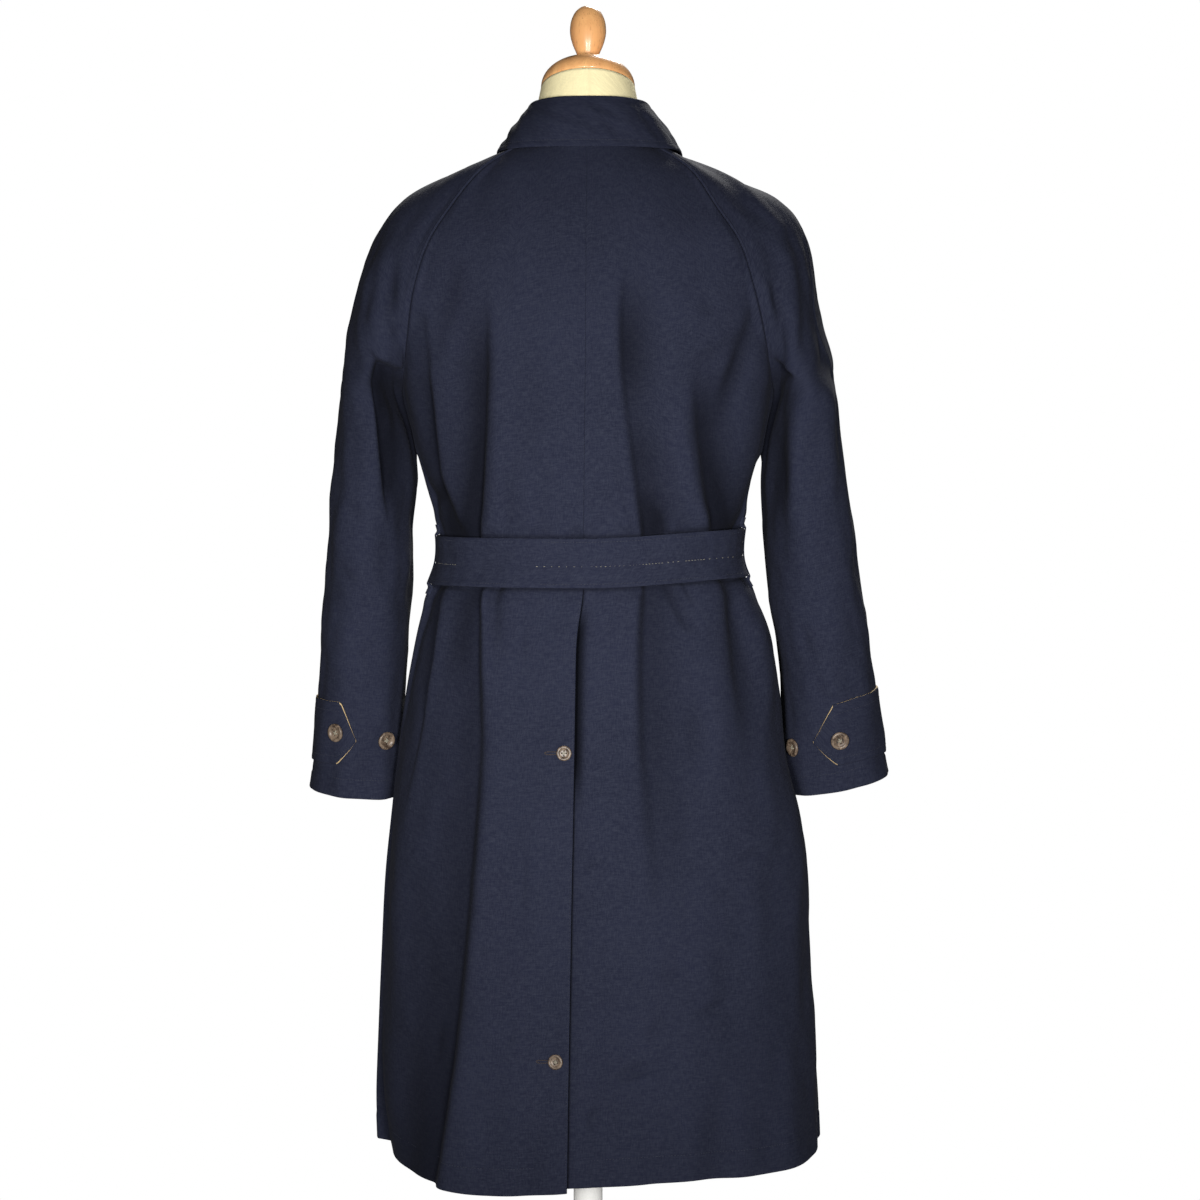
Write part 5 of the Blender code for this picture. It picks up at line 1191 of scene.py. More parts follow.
# Columns of each strap, from its pointed tip at the back, round the outside, to the front: share
# along the back's rows and on along the front's, and its lower and upper edge as fractional rows.
STRAPS = {
    LEFT: ((0.50, 1.44, 1.46), (0.625, 1.13, 1.90), (0.75, 1.12, 1.90), (1.0, 1.12, 1.90),
           (1.50, 1.12, 1.90)),
    RIGHT: ((0.35, 1.39, 1.41), (0.375, 1.33, 1.47), (0.50, 1.02, 1.80), (0.625, 1.02, 1.82),
            (0.75, 1.02, 1.84), (0.875, 1.02, 1.86), (1.0, 1.02, 1.88), (1.50, 1.02, 1.88)),
}
STRAP_STEP = 0.0025
STRAP_RUN = 0.17          # of cloth to each whole row that a strap goes along
STRAP_ROWS = (0, 0.024, 0.060, 0.12, 0.22, 0.34, 0.50, 0.66, 0.78, 0.88, 0.940, 0.976, 1.0)


def strap_points(surfaces, side, share_along, share_up, lift):
    """Points and normals of a strap's face."""
    table = np.array(STRAPS[side])
    low = np.interp(share_along, table[:, 0], table[:, 1])
    high = np.interp(share_along, table[:, 0], table[:, 2])
    place = low + (high - low) * share_up
    points, normals = np.empty(place.shape + (3,)), np.empty(place.shape + (3,))
    for face, chosen in ((BACK, share_along <= 1), (FRONT, share_along > 1)):
        if chosen.any():
            along = np.where(share_along <= 1, share_along, 2 - share_along)[chosen]
            points[chosen], normals[chosen] = surfaces["sleeve", side, face].spot(
                place[chosen], along)
    return points + normals * np.asarray(lift)[..., None], normals


def make_straps(surfaces, material, edge_material):
    """A pointed tab on each cuff, sewn in at its front end, with its cut edges bare."""
    for side, name in ((LEFT, "cuff_strap_left"), (RIGHT, "cuff_strap_right")):
        first, last = STRAPS[side][0][0], STRAPS[side][-1][0]
        length = (last - first) * STRAP_RUN
        shares = first + even_steps(length, STRAP_STEP) / length * (last - first)
        along, up = np.broadcast_arrays(shares[None, :], np.array(STRAP_ROWS)[:, None])
        edge = np.minimum(up, 1 - up) * 0.034
        lift = (LAP_GAP + STRAP_WALL - 0.0004 * hump(edge, 0.0010)
                - 0.0003 * hump(edge - 0.005, 0.001))
        outer, _ = strap_points(surfaces, side, along, up, lift)
        inner, _ = strap_points(surfaces, side, along, up, np.full(along.shape, LAP_GAP))
        mesh = shell_mesh(name + "_cloth", outer, STRAP_WALL, cloth_uv(outer), rim_kind=1,
                          inner=inner)
        finish_piece(new_object(name + "_cloth", mesh, material, edge_material), "navy_cotton",
                     name)


# ---------------------------------------------------------------- buttons

BUTTON_PROFILE = (        # radius and height as shares of the button's radius, middle to rim
    (0.0, 0.200), (0.20, 0.198), (0.42, 0.200), (0.54, 0.225), (0.62, 0.290), (0.70, 0.345),
    (0.80, 0.362), (0.90, 0.345), (0.965, 0.290), (1.00, 0.215), (0.985, 0.130), (0.93, 0.065),
    (0.82, 0.020), (0.60, 0.0), (0.0, 0.0),
)
HOLE_OFFSET, HOLE_RADIUS = 0.205, 0.088   # as shares of the button's radius
SMALL_BUTTON, LARGE_BUTTON = 0.015, 0.019        # diameters
FRONT_BUTTON = 0.023
# Cuff buttons: name, side, share along the sleeve's back rows, fractional row, whether the button
# sits on the strap, and its turn in degrees.
CUFF_BUTTONS = (
    ("cuff_button_left_strap", LEFT, 0.64, 1.53, True, 20),
    ("cuff_button_left_spare", LEFT, 0.27, 1.46, False, 50),
    ("cuff_button_right_strap", RIGHT, 0.52, 1.38, True, -15),
    ("cuff_button_right_spare", RIGHT, 0.19, 1.36, False, 35),
)
# Vent buttons: name, height, how far in from the vent's edge, and turn.
VENT_BUTTONS = (("vent_button_upper", 0.870, 0.0100, 45), ("vent_button_lower", 0.566, 0.0130, 30))
FRONT_BUTTON_HEIGHTS = (1.375, 1.260, 1.145, 0.950, 0.830)


def drilled_button():
    """Mesh of a button of radius 1, dished, with four holes through it."""
    points, faces = revolved(smooth_profile(BUTTON_PROFILE, 29), 48)
    disc = mesh_from("button_disc", points, faces)
    outward_faces(disc)
    disc_object = new_object("button_disc", disc)
    drills = bmesh.new()
    for x in (-HOLE_OFFSET, HOLE_OFFSET):
        for y in (-HOLE_OFFSET, HOLE_OFFSET):
            bmesh.ops.create_cone(drills, cap_ends=True, segments=14, radius1=HOLE_RADIUS,
                                  radius2=HOLE_RADIUS * 1.15, depth=1.0,
                                  matrix=Matrix.Translation((x, y, 0.2)))
    drill_mesh = bpy.data.meshes.new("button_drills")
    drills.to_mesh(drill_mesh)
    drills.free()
    drill_object = new_object("button_drills", drill_mesh)
    cut = disc_object.modifiers.new("holes", "BOOLEAN")
    cut.operation, cut.solver, cut.object = "DIFFERENCE", "EXACT", drill_object
    bpy.context.view_layer.update()
    evaluated = disc_object.evaluated_get(bpy.context.evaluated_depsgraph_get())
    drilled = bpy.data.meshes.new_from_object(evaluated)
    drilled.name = "button_drilled"
    bpy.data.objects.remove(disc_object)
    bpy.data.objects.remove(drill_object)
    return drilled


def thread_cross():
    """Points and faces of the crossed thread on a button of radius 1."""
    points, faces = [], []
    for turn, rise in ((45, 0.0), (135, 0.030)):
        c, s = math.cos(math.radians(turn)), math.sin(math.radians(turn))
        for strand in (-0.032, 0.032):
            start = len(points)
            for go in np.linspace(-1, 1, 9):
                along = go * HOLE_OFFSET * 1.42
                height = 0.235 + rise - 0.16 * abs(go) ** 5
                for k in range(6):
                    a = k * math.pi / 3
                    across, up = strand + 0.034 * math.cos(a), height + 0.034 * math.sin(a)
                    points.append((along * c - across * s, along * s + across * c, up))
            for i in range(8):
                faces += [[start + i * 6 + k, start + i * 6 + (k + 1) % 6,
                           start + (i + 1) * 6 + (k + 1) % 6, start + (i + 1) * 6 + k]
                          for k in range(6)]
            faces.append([start + k for k in reversed(range(6))])
            faces.append([start + 48 + k for k in range(6)])
    return np.array(points), faces


def button_seats(surfaces):
    """Each button's name, point, normal, diameter and turn in degrees."""
    seats = []
    for name, side, along, place, on_strap, turn in CUFF_BUTTONS:
        lift = LAP_GAP + STRAP_WALL if on_strap else 0
        spot, normal = surfaces["sleeve", side, BACK].spot(place, along, lift)
        seats.append((name, spot, normal, LARGE_BUTTON, turn))
    back = surfaces["body", LEFT, BACK]
    for name, height, inset, turn in VENT_BUTTONS:
        place = back.place_of_height(0.0, height)[0]
        spot, normal = back.spot(place, back.along_at(place, inset)[0])
        seats.append((name, spot, normal, SMALL_BUTTON, turn))
    front = surfaces["body", LEFT, FRONT]
    for number, height in enumerate(FRONT_BUTTON_HEIGHTS, 1):
        spot, normal = front.spot(front.place_of_height(0.0, height)[0], 0.0)
        seats.append((f"front_button_{number}", spot, unit(normal * (0, 1, 1)), FRONT_BUTTON,
                      17 * number))
    return seats


def make_buttons(surfaces, horn, thread):
    """Two on each cuff, two on the vent, and a row of five down the front."""
    drilled = drilled_button()
    shape = np.empty(len(drilled.vertices) * 3)
    drilled.vertices.foreach_get("co", shape)
    shape = shape.reshape(-1, 3)
    shape_faces = [list(polygon.vertices) for polygon in drilled.polygons]
    cross, cross_faces = thread_cross()
    for name, spot, normal, diameter, turn in button_seats(surfaces):
        radius = diameter / 2
        c, s = math.cos(math.radians(turn)), math.sin(math.radians(turn))
        spin = np.array(((c, s, 0), (-s, c, 0), (0, 0, 1)))
        points = np.concatenate((shape, cross)) @ spin * radius
        faces = shape_faces + [[i + len(shape) for i in face] for face in cross_faces]
        kinds = [0] * len(shape_faces) + [1] * len(cross_faces)
        uv = np.concatenate((shape, cross))[:, :2] * 0.5 + 0.5 + len(name) * 0.37 + turn * 0.11
        mesh = mesh_from(name + "_sewn", placed(points, spot + normal * LAP_GAP, normal), faces, uv,
                         kinds)
        finish_piece(new_object(name + "_sewn", mesh, horn, thread), "horn", name)


# ---------------------------------------------------------------- dress form and stand

FORM = (
    # back_z, side_z, front_z, half_width, back_y, front_y
    (0.800, 0.800, 0.800, 0.150, 0.098, 0.102),
    (0.825, 0.825, 0.825, 0.163, 0.108, 0.111),
    (0.920, 0.920, 0.920, 0.165, 0.111, 0.113),
    (1.000, 1.000, 1.000, 0.149, 0.099, 0.101),
    (1.060, 1.060, 1.060, 0.139, 0.091, 0.094),
    (1.130, 1.130, 1.130, 0.146, 0.099, 0.102),
    (1.210, 1.210, 1.210, 0.158, 0.110, 0.115),
    (1.290, 1.290, 1.265, 0.168, 0.115, 0.118),
    (1.345, 1.350, 1.300, 0.178, 0.112, 0.114),
    (1.385, 1.398, 1.328, 0.184, 0.104, 0.107),
)
# Yoke levels that the form follows, and room there.
SHOULDERS = ((4, 0.0025), (5, 0.0025), (6, 0.0030), (7, 0.0040))
CENTRE_ROOM = 0.0045                     # more room towards the centre lines, for the front's lap
REST_GAP = 0.0010
NECK = (
    # back_y, back_z, half_width, side_y, side_z, front_y, front_z
    (0.0590, 1.5020, 0.0600, -0.002, 1.4930, -0.0700, 1.4520),
    (0.0560, 1.5220, 0.0548, -0.004, 1.5130, -0.0655, 1.4820),
    (0.0465, 1.5580, 0.0485, -0.0065, 1.5420, -0.0595, 1.5260),
)
OVAL_HANDLE = 0.56                       # handles that round a quarter of an oval
FORM_COLUMNS = 24                        # of each quarter of a ring
CAP_HEIGHT = 0.029
CAP_SQUARENESS = 0.88                    # 1 is an ellipse, less is squarer
FINIAL = ((0.0, 0.0628), (0.0050, 0.0620), (0.0100, 0.0592), (0.0145, 0.0540), (0.0178, 0.0455),
          (0.01875, 0.0370), (0.0183, 0.0300), (0.0160, 0.0210), (0.0125, 0.0120), (0.0106, 0.0070),
          (0.0104, 0.0045), (0.0116, 0.0034), (0.0120, 0.0018), (0.0114, 0.0004), (0.0, 0.0))
POLE_RADIUS = 0.015
FOOT = ((0.0, 0.0500), (0.0150, 0.0500), (0.0235, 0.0496), (0.0262, 0.0475), (0.0285, 0.0420),
        (0.0310, 0.0340), (0.0370, 0.0262), (0.0500, 0.0222), (0.0800, 0.0200), (0.1300, 0.0180),
        (0.1780, 0.0162), (0.1915, 0.0142), (0.1975, 0.0108), (0.1998, 0.0060), (0.1990, 0.0015),
        (0.1965, 0.0), (0.1800, 0.0), (0.0, 0.0))
FOOT_TOP = FOOT[0][1]


def oval_ring(back_y, back_z, half_width, side_y, side_z, front_y, front_z):
    """Ring of the form through its four middles, from the back's centre by the wearer's left."""
    share = np.linspace(0, 1, FORM_COLUMNS, endpoint=False)
    ring = []
    for side in (LEFT, RIGHT):
        for centre_y, centre_z, outward in ((back_y, back_z, side == LEFT),
                                            (front_y, front_z, side == RIGHT)):
            rows = np.array(((0, centre_y, centre_z),
                             (side * half_width * OVAL_HANDLE, centre_y, centre_z),
                             (side * half_width, side_y + (centre_y - side_y) * OVAL_HANDLE,
                              side_z + (centre_z - side_z) * OVAL_HANDLE),
                             (side * half_width, side_y, side_z)))
            ring.append(cubic(rows[None].repeat(FORM_COLUMNS, 0), share if outward else 1 - share))
    left_back, left_front, right_back, right_front = ring
    return np.concatenate((left_back, left_front, right_front, right_back))


def cloth_ring(surfaces, level, room):
    """Ring of the form just inside the coat's yoke, with the same columns as an oval ring."""
    inset = WALL + REST_GAP + room
    half = FORM_COLUMNS // 2
    share = np.linspace(0, 1, half + 1)
    ring = []
    for side in (LEFT, RIGHT):
        quarters = []
        for face in (BACK, FRONT):
            body, sleeve = surfaces["body", side, face], surfaces["sleeve", side, face]
            place = len(BODY) + level
            line = (body.base(place, share) - body.base_normal(place, share)
                    * (inset + CENTRE_ROOM * (1 - share))[:, None])
            place = len(SLEEVE[side]) + level
            arm = sleeve.base(place, share[1:]) - sleeve.base_normal(place, share[1:]) * inset
            quarters.append(np.concatenate((line, arm)))
        back, front = quarters
        ring.append(np.concatenate((back[:-1], front[:0:-1])))
    left, right = ring
    front_middle = surfaces["body", LEFT, FRONT]
    middle = (front_middle.base(len(BODY) + level, 0.0)
              - front_middle.base_normal(len(BODY) + level, 0.0) * (inset + CENTRE_ROOM))
    return np.concatenate((left, middle[None], right[:0:-1]))


def make_form(surfaces, calico):
    """Limbless torso, smooth from below the hips to the neck's slanted top."""
    rings = [oval_ring(back_y, back_z, half_width, 0.0, side_z, -front_y, front_z)
             for back_z, side_z, front_z, half_width, back_y, front_y in FORM]
    rings += [cloth_ring(surfaces, level, room) for level, room in SHOULDERS]
    rings += [oval_ring(*sizes) for sizes in NECK]
    rings = np.array(rings)
    places = np.unique(np.concatenate((np.linspace(0, 10, 61), np.linspace(10, 16, 49))))
    grid = smooth_rows(rings, places)
    rows, columns = grid.shape[:2]
    faces = [[r * columns + c, r * columns + (c + 1) % columns,
              (r + 1) * columns + (c + 1) % columns, (r + 1) * columns + c]
             for r in range(rows - 1) for c in range(columns)]
    bottom, top = rows * columns, rows * columns + 1
    points = np.concatenate((grid.reshape(-1, 3), [grid[0].mean(0)], [grid[-1].mean(0)]))
    faces += [[bottom, (c + 1) % columns, c] for c in range(columns)]
    faces += [[top, (rows - 1) * columns + c, (rows - 1) * columns + (c + 1) % columns]
              for c in range(columns)]
    uv = np.concatenate((cloth_uv(grid).reshape(-1, 2), [[0, 0]], [[0, 1]]))
    mesh = mesh_from("form_torso_calico", points, faces, uv)
    outward_faces(mesh)
    finish_piece(new_object("form_torso_calico", mesh, calico), "calico", "form_torso")


def make_stand(wood, iron):
    """Wooden neck cap and finial, on the neck's slanted top, and the pole and foot below."""
    back_y, back_z, half_width, _, _, front_y, front_z = NECK[-1]
    back, front = np.array((0, back_y, back_z)), np.array((0, front_y, front_z))
    lean = math.atan2(back_z - front_z, back_y - front_y)
    half_depth = np.linalg.norm(back - front) / 2
    centre = (back + front) / 2
    axis = np.array((0, -math.sin(lean), math.cos(lean)))
    steps = np.radians(np.concatenate((np.arange(0, 76, 5), (78, 81, 84))))
    dome = [(half_width * math.sin(angle) ** CAP_SQUARENESS,
             CAP_HEIGHT * math.cos(angle) ** CAP_SQUARENESS) for angle in steps]
    dome += [(half_width, 0.0016), (half_width - 0.0006, 0.0003), (half_width - 0.003, 0.0),
             (0.0, 0.0)]
    high, low, rim = FORM[0][0] - SEAM_GAP, FOOT_TOP + SEAM_GAP, POLE_RADIUS - 0.001
    pole = ((0, high), (rim, high), (POLE_RADIUS, FORM[0][0] - 0.0013), (POLE_RADIUS, 0.4),
            (POLE_RADIUS, FOOT_TOP + 0.0013), (rim, low), (0, low))
    pieces = (
        ("neck_cap", "turned", dome, 96, (1, half_depth / half_width), centre + axis * SEAM_GAP,
         axis, wood, "honey_wood"),
        ("finial", "turned", smooth_profile(FINIAL, 57), 48, (1, 1),
         centre + axis * (CAP_HEIGHT + 2 * SEAM_GAP), axis, wood, "honey_wood"),
        ("stand_foot", "cast", smooth_profile(FOOT, 69), 96, (1, 1), np.zeros(3), (0, 0, 1), iron,
         "iron"),
        ("stand_pole", "turned", pole, 48, (1, 1), np.zeros(3), (0, 0, 1), iron, "iron"),
    )
    for name, made, profile, sides, spread, origin, normal, material, slot in pieces:
        points, faces = revolved(profile, sides, spread)
        mesh = mesh_from(f"{name}_{made}", placed(points, origin, normal, (0, 1, 0)), faces)
        outward_faces(mesh)
        finish_piece(new_object(f"{name}_{made}", mesh, material), slot, name)


# ---------------------------------------------------------------- stitches


def add(tree, kind, inputs=None, **settings):
    """A node with its settings, its links and its values."""
    made = tree.nodes.new(kind)
    for name, value in settings.items():
        setattr(made, name, value)
    for key, value in (inputs or {}).items():
        if isinstance(value, bpy.types.NodeSocket):
            tree.links.new(value, made.inputs[key])
        else:
            made.inputs[key].default_value = value
    return made


def maths(tree, operation, *values):
    """What a node of arithmetic puts out."""
    return add(tree, "ShaderNodeMath", dict(enumerate(values)), operation=operation).outputs[0]


def stitch_tree():
    """Geometry nodes that sew a row of stitches along every path of a mesh of edges."""
    tree = bpy.data.node_groups.get("row_of_stitches")
    if tree:
        return tree
    tree = bpy.data.node_groups.new("row_of_stitches", "GeometryNodeTree")
    for name, kind in (("Paths", "Geometry"), ("Pitch", "Float"), ("Length", "Float"),
                       ("Width", "Float"), ("Height", "Float"), ("Turn", "Float"),
                       ("Unevenness", "Float"), ("Seed", "Int"), ("Thread", "Material")):
        tree.interface.new_socket(name, in_out="INPUT", socket_type="NodeSocket" + kind)
    tree.interface.new_socket("Stitches", in_out="OUTPUT", socket_type="NodeSocketGeometry")
    given = tree.nodes.new("NodeGroupInput").outputs
    line = add(tree, "GeometryNodeMeshToCurve", {"Mesh": given["Paths"]})
    even = add(tree, "GeometryNodeResampleCurve", {"Curve": line.outputs["Curve"],
                                                   "Length": given["Pitch"]}, mode="LENGTH")
    out = add(tree, "GeometryNodeInputNamedAttribute", {"Name": "way_out"},
              data_type="FLOAT_VECTOR")
    turn = add(tree, "FunctionNodeAxesToRotation",
               {0: out.outputs[0], 1: tree.nodes.new("GeometryNodeInputTangent").outputs[0]},
               primary_axis="Z", secondary_axis="X")
    shape = add(tree, "GeometryNodeMeshUVSphere", {"Segments": 6, "Rings": 4, "Radius": 0.5})
    low = maths(tree, "SUBTRACT", 1.0, given["Unevenness"])
    high = maths(tree, "ADD", 1.0, given["Unevenness"])
    size = add(tree, "FunctionNodeRandomValue", {"Min": low, "Max": high, "Seed": given["Seed"]},
               data_type="FLOAT")
    # the float sockets of a random value come after its vector ones
    for socket in size.inputs:
        if socket.enabled and socket.name in ("Min", "Max"):
            tree.links.new(low if socket.name == "Min" else high, socket)
    grown = next(o for o in size.outputs if o.enabled)
    length = maths(tree, "MULTIPLY", given["Length"], grown)
    scale = add(tree, "ShaderNodeCombineXYZ", {0: length, 1: given["Width"], 2: given["Height"]})
    sewn = add(tree, "GeometryNodeInstanceOnPoints", {
        "Points": even.outputs["Curve"], "Instance": shape.outputs["Mesh"],
        "Rotation": turn.outputs[0], "Scale": scale.outputs[0]})
    slant = maths(tree, "MULTIPLY", maths(tree, "SUBTRACT", grown, 1.0), 0.6)
    about = add(tree, "ShaderNodeCombineXYZ", {2: maths(tree, "ADD", slant, given["Turn"])})
    tilted = add(tree, "GeometryNodeRotateInstances", {
        "Instances": sewn.outputs["Instances"], "Rotation": about.outputs[0]})
    real = add(tree, "GeometryNodeRealizeInstances", {"Geometry": tilted.outputs["Instances"]})
    soft = add(tree, "GeometryNodeSetShadeSmooth", {"Geometry": real.outputs["Geometry"]})
    dyed = add(tree, "GeometryNodeSetMaterial", {"Geometry": soft.outputs["Geometry"],
                                                 "Material": given["Thread"]})
    add(tree, "NodeGroupOutput", {"Stitches": dyed.outputs["Geometry"]})
    return tree


def sew(name, paths, thread, pitch=0.0031, length=0.0022, width=0.00055, height=0.0005, turn=0.0,
        unevenness=0.16, seed=1):
    """Rows of stitches along paths, each an array of points and one of the ways out."""
    points, outs, edges = [], [], []
    for line, out in paths:
        start = len(points)
        points += np.asarray(line).tolist()
        outs += np.asarray(out).tolist()
        edges += [(i, i + 1) for i in range(start, len(points) - 1)]
    mesh = bpy.data.meshes.new(name)
    mesh.from_pydata(points, edges, [])
    mesh.attributes.new("way_out", "FLOAT_VECTOR", "POINT").data.foreach_set(
        "vector", np.asarray(outs, np.float32).ravel())
    rows = new_object(name + "_rows", mesh)
    tree = stitch_tree()
    sewing = rows.modifiers.new("stitches", "NODES")
    sewing.node_group = tree
    values = {"Pitch": pitch, "Length": length, "Width": width, "Height": height, "Turn": turn,
              "Unevenness": unevenness, "Seed": seed, "Thread": thread}
    for item in tree.interface.items_tree:
        if item.item_type == "SOCKET" and item.in_out == "INPUT" and item.name in values:
            sewing[item.identifier] = values[item.name]
    bpy.context.view_layer.update()
    evaluated = rows.evaluated_get(bpy.context.evaluated_depsgraph_get())
    result = bpy.data.meshes.new_from_object(evaluated)
    bpy.data.objects.remove(rows)
    result.name = name
    piece = bpy.data.objects.new(name, result)
    bpy.context.scene.collection.objects.link(piece)
    return finish_piece(piece, "navy_cotton")


THREAD_LIFT = 0.0001      # of a row of stitches off the cloth
BUTTONHOLE_SQUARENESS = 0.7


def row_on(surface, place, along):
    """A row of stitches on the cloth."""
    return surface.spot(place, along, THREAD_LIFT)


def hem_row(surface, height):
    """A row round a hem or cuff, at a run above its edge."""
    along = np.linspace(0.004, 0.996, 70)
    return row_on(surface, surface.place_at(along, height), along)


def edge_row(surface, inset, low, high):
    """A row beside a quarter's first edge, between two runs up the cloth."""
    heights = np.linspace(low, high, 260)
    place = surface.place_at(0.0, heights)
    return row_on(surface, place, surface.along_at(place, inset))


def buttonhole_row(surface, place, along, length=0.0125, width=0.0028):
    """The worked edge of a buttonhole, a long oval across the cloth."""
    spot, normal = surface.spot(place, along)
    across = unit(surface.point(place, along + 0.01) - surface.point(place, along - 0.01))
    up = unit(np.cross(normal, across))
    turn = np.linspace(0, 2 * math.pi, 49)
    oval = soft_oblong(turn, BUTTONHOLE_SQUARENESS, length / 2, width / 2)
    line = spot + across * oval[:, :1] + up * oval[:, 1:] + normal * 0.0002
    return line, np.repeat(normal[None], len(line), axis=0)


BELT_DASHES = (           # stretches of the belt's seam with pale dashes: first and last x, pitch
    (0.150, 0.132, 0.0040), (0.050, 0.006, 0.0066),
    (-0.004, -0.036, 0.0044), (-0.042, -0.074, 0.0032), (-0.080, -0.090, 0.0052),
    (-0.098, -0.116, 0.0031), (-0.122, -0.146, 0.0088),
)


def belt_row(surfaces, share_up, first, last, lift=0.0002):
    """A row along the belt's back between two distances to the wearer's left."""
    wide = np.linspace(first, last, max(8, int(abs(first - last) / 0.004)))
    points, outs = [], []
    for x in wide:
        middle = surfaces["body", LEFT, BACK].base(WAIST_MIDDLE, 0.0)[0]
        surface = surfaces["body", LEFT if x > middle else RIGHT, BACK]
        shares = np.linspace(0, 1, 101)
        line = surface.base(WAIST_MIDDLE, shares)[:, 0] * surface.side
        along = np.interp(x * surface.side, line, shares)
        height = belt_low(x) + share_up * BELT_HEIGHT
        rise = np.array(LAP_GAP + BELT_WALL + lift - 0.0003)
        points.append(waist_points(surface, along, height, rise))
        outs.append(surface.base_normal(WAIST_MIDDLE, along))
    return np.array(points), np.array(outs)


def sew_coat(surfaces, navy, cream, brown):
    """The rows of stitches that show: hems, vent, fronts, cuffs, collar, belt and buttonholes."""
    rows = {"back": [], "front": [], "sleeve": []}
    for (kind, _, face), surface in surfaces.items():
        if kind == "sleeve":
            rows["sleeve"].append(hem_row(surface, CUFF_DEPTH))
        else:
            rows["back" if face == BACK else "front"].append(hem_row(surface, HEM_DEPTH))
    back, front = surfaces["body", LEFT, BACK], surfaces["body", RIGHT, FRONT]
    vent_top = back.up[int(VENT_TOP) * TABLE_STEP, 0]
    front_top = front.up[-1, 0] - 0.012
    for name, seed in (("back", 3), ("front", 4), ("sleeve", 5)):
        sew(name + "_stitching", rows[name], navy, seed=seed)
    heights = np.linspace(0.004, front_top, 300)
    place = front.place_at(FRONT_LAP, heights)
    width = np.interp(place, front.places, front.across[:, 3]) / front.alongs[3]
    sew("edge_stitching", [edge_row(back, 0.0019, 0.004, vent_top),
                           row_on(front, place, FRONT_LAP - 0.0022 / width)], navy,
        pitch=0.0029, length=0.0017, width=0.0005, height=0.0005, seed=6)
    fall = collar_fall_grid(surfaces)
    normals = grid_normals(fall)
    middle = fall.shape[1] // 2
    if normals[-3, middle, 1] < 0:
        normals = -normals
    down = running_length(fall, 0)
    inset = np.argmin(np.abs(down[-1, middle] - down[:, middle] - 0.0065))
    ends = slice(2, -2)
    line = fall[inset, ends] + normals[inset, ends] * 0.0002
    sew("collar_stitching", [(line, normals[inset, ends])], navy, seed=7)
    straps = []
    for side in (LEFT, RIGHT):
        first, last = STRAPS[side][0][0], STRAPS[side][-1][0]
        for share_up in (0.15, 0.85):
            along = np.linspace(first + 0.05, last - 0.01, 60)
            straps.append(strap_points(surfaces, side, along, np.full(60, share_up),
                                       np.full(60, LAP_GAP + STRAP_WALL)))
    sew("strap_stitching", straps, navy, seed=8)
    reach = BODY[WAIST_MIDDLE][1] - 0.004
    sew("belt_edge_stitching", [belt_row(surfaces, share, reach, -reach)
                                for share in (0.075, 0.925)], navy, seed=9)
    for number, (first, last, pitch) in enumerate(BELT_DASHES):
        sew(f"belt_dashes_{number}", [belt_row(surfaces, BELT_SEAM, first, last, THREAD_LIFT)],
            cream, pitch=pitch, length=0.0018, width=0.0006, height=0.0005, unevenness=0.5,
            seed=20 + number)
    holes = []
    for _, height, inset, _ in VENT_BUTTONS:
        place = back.place_of_height(0.0, height)[0]
        holes.append(buttonhole_row(back, place, back.along_at(place, inset + 0.0130)[0]))
    for _, side, along, place, on_strap, _ in CUFF_BUTTONS:
        if on_strap and side == RIGHT:
            holes.append(buttonhole_row(surfaces["sleeve", side, BACK], place + 0.04,
                                        along + 0.085))
    sew("buttonhole_thread", holes, brown, pitch=0.00075, length=0.0013, width=0.0006,
        height=0.0007, turn=math.pi / 2, unevenness=0.2, seed=10)


# ---------------------------------------------------------------- materials


def shader_group(name, inputs, outputs):
    """An empty shader node group with its sockets."""
    tree = bpy.data.node_groups.new(name, "ShaderNodeTree")
    for label, kind, value in inputs:
        socket = tree.interface.new_socket(label, in_out="INPUT", socket_type="NodeSocket" + kind)
        if value is not None:
            socket.default_value = value
    for label, kind in outputs:
        tree.interface.new_socket(label, in_out="OUTPUT", socket_type="NodeSocket" + kind)
    return tree


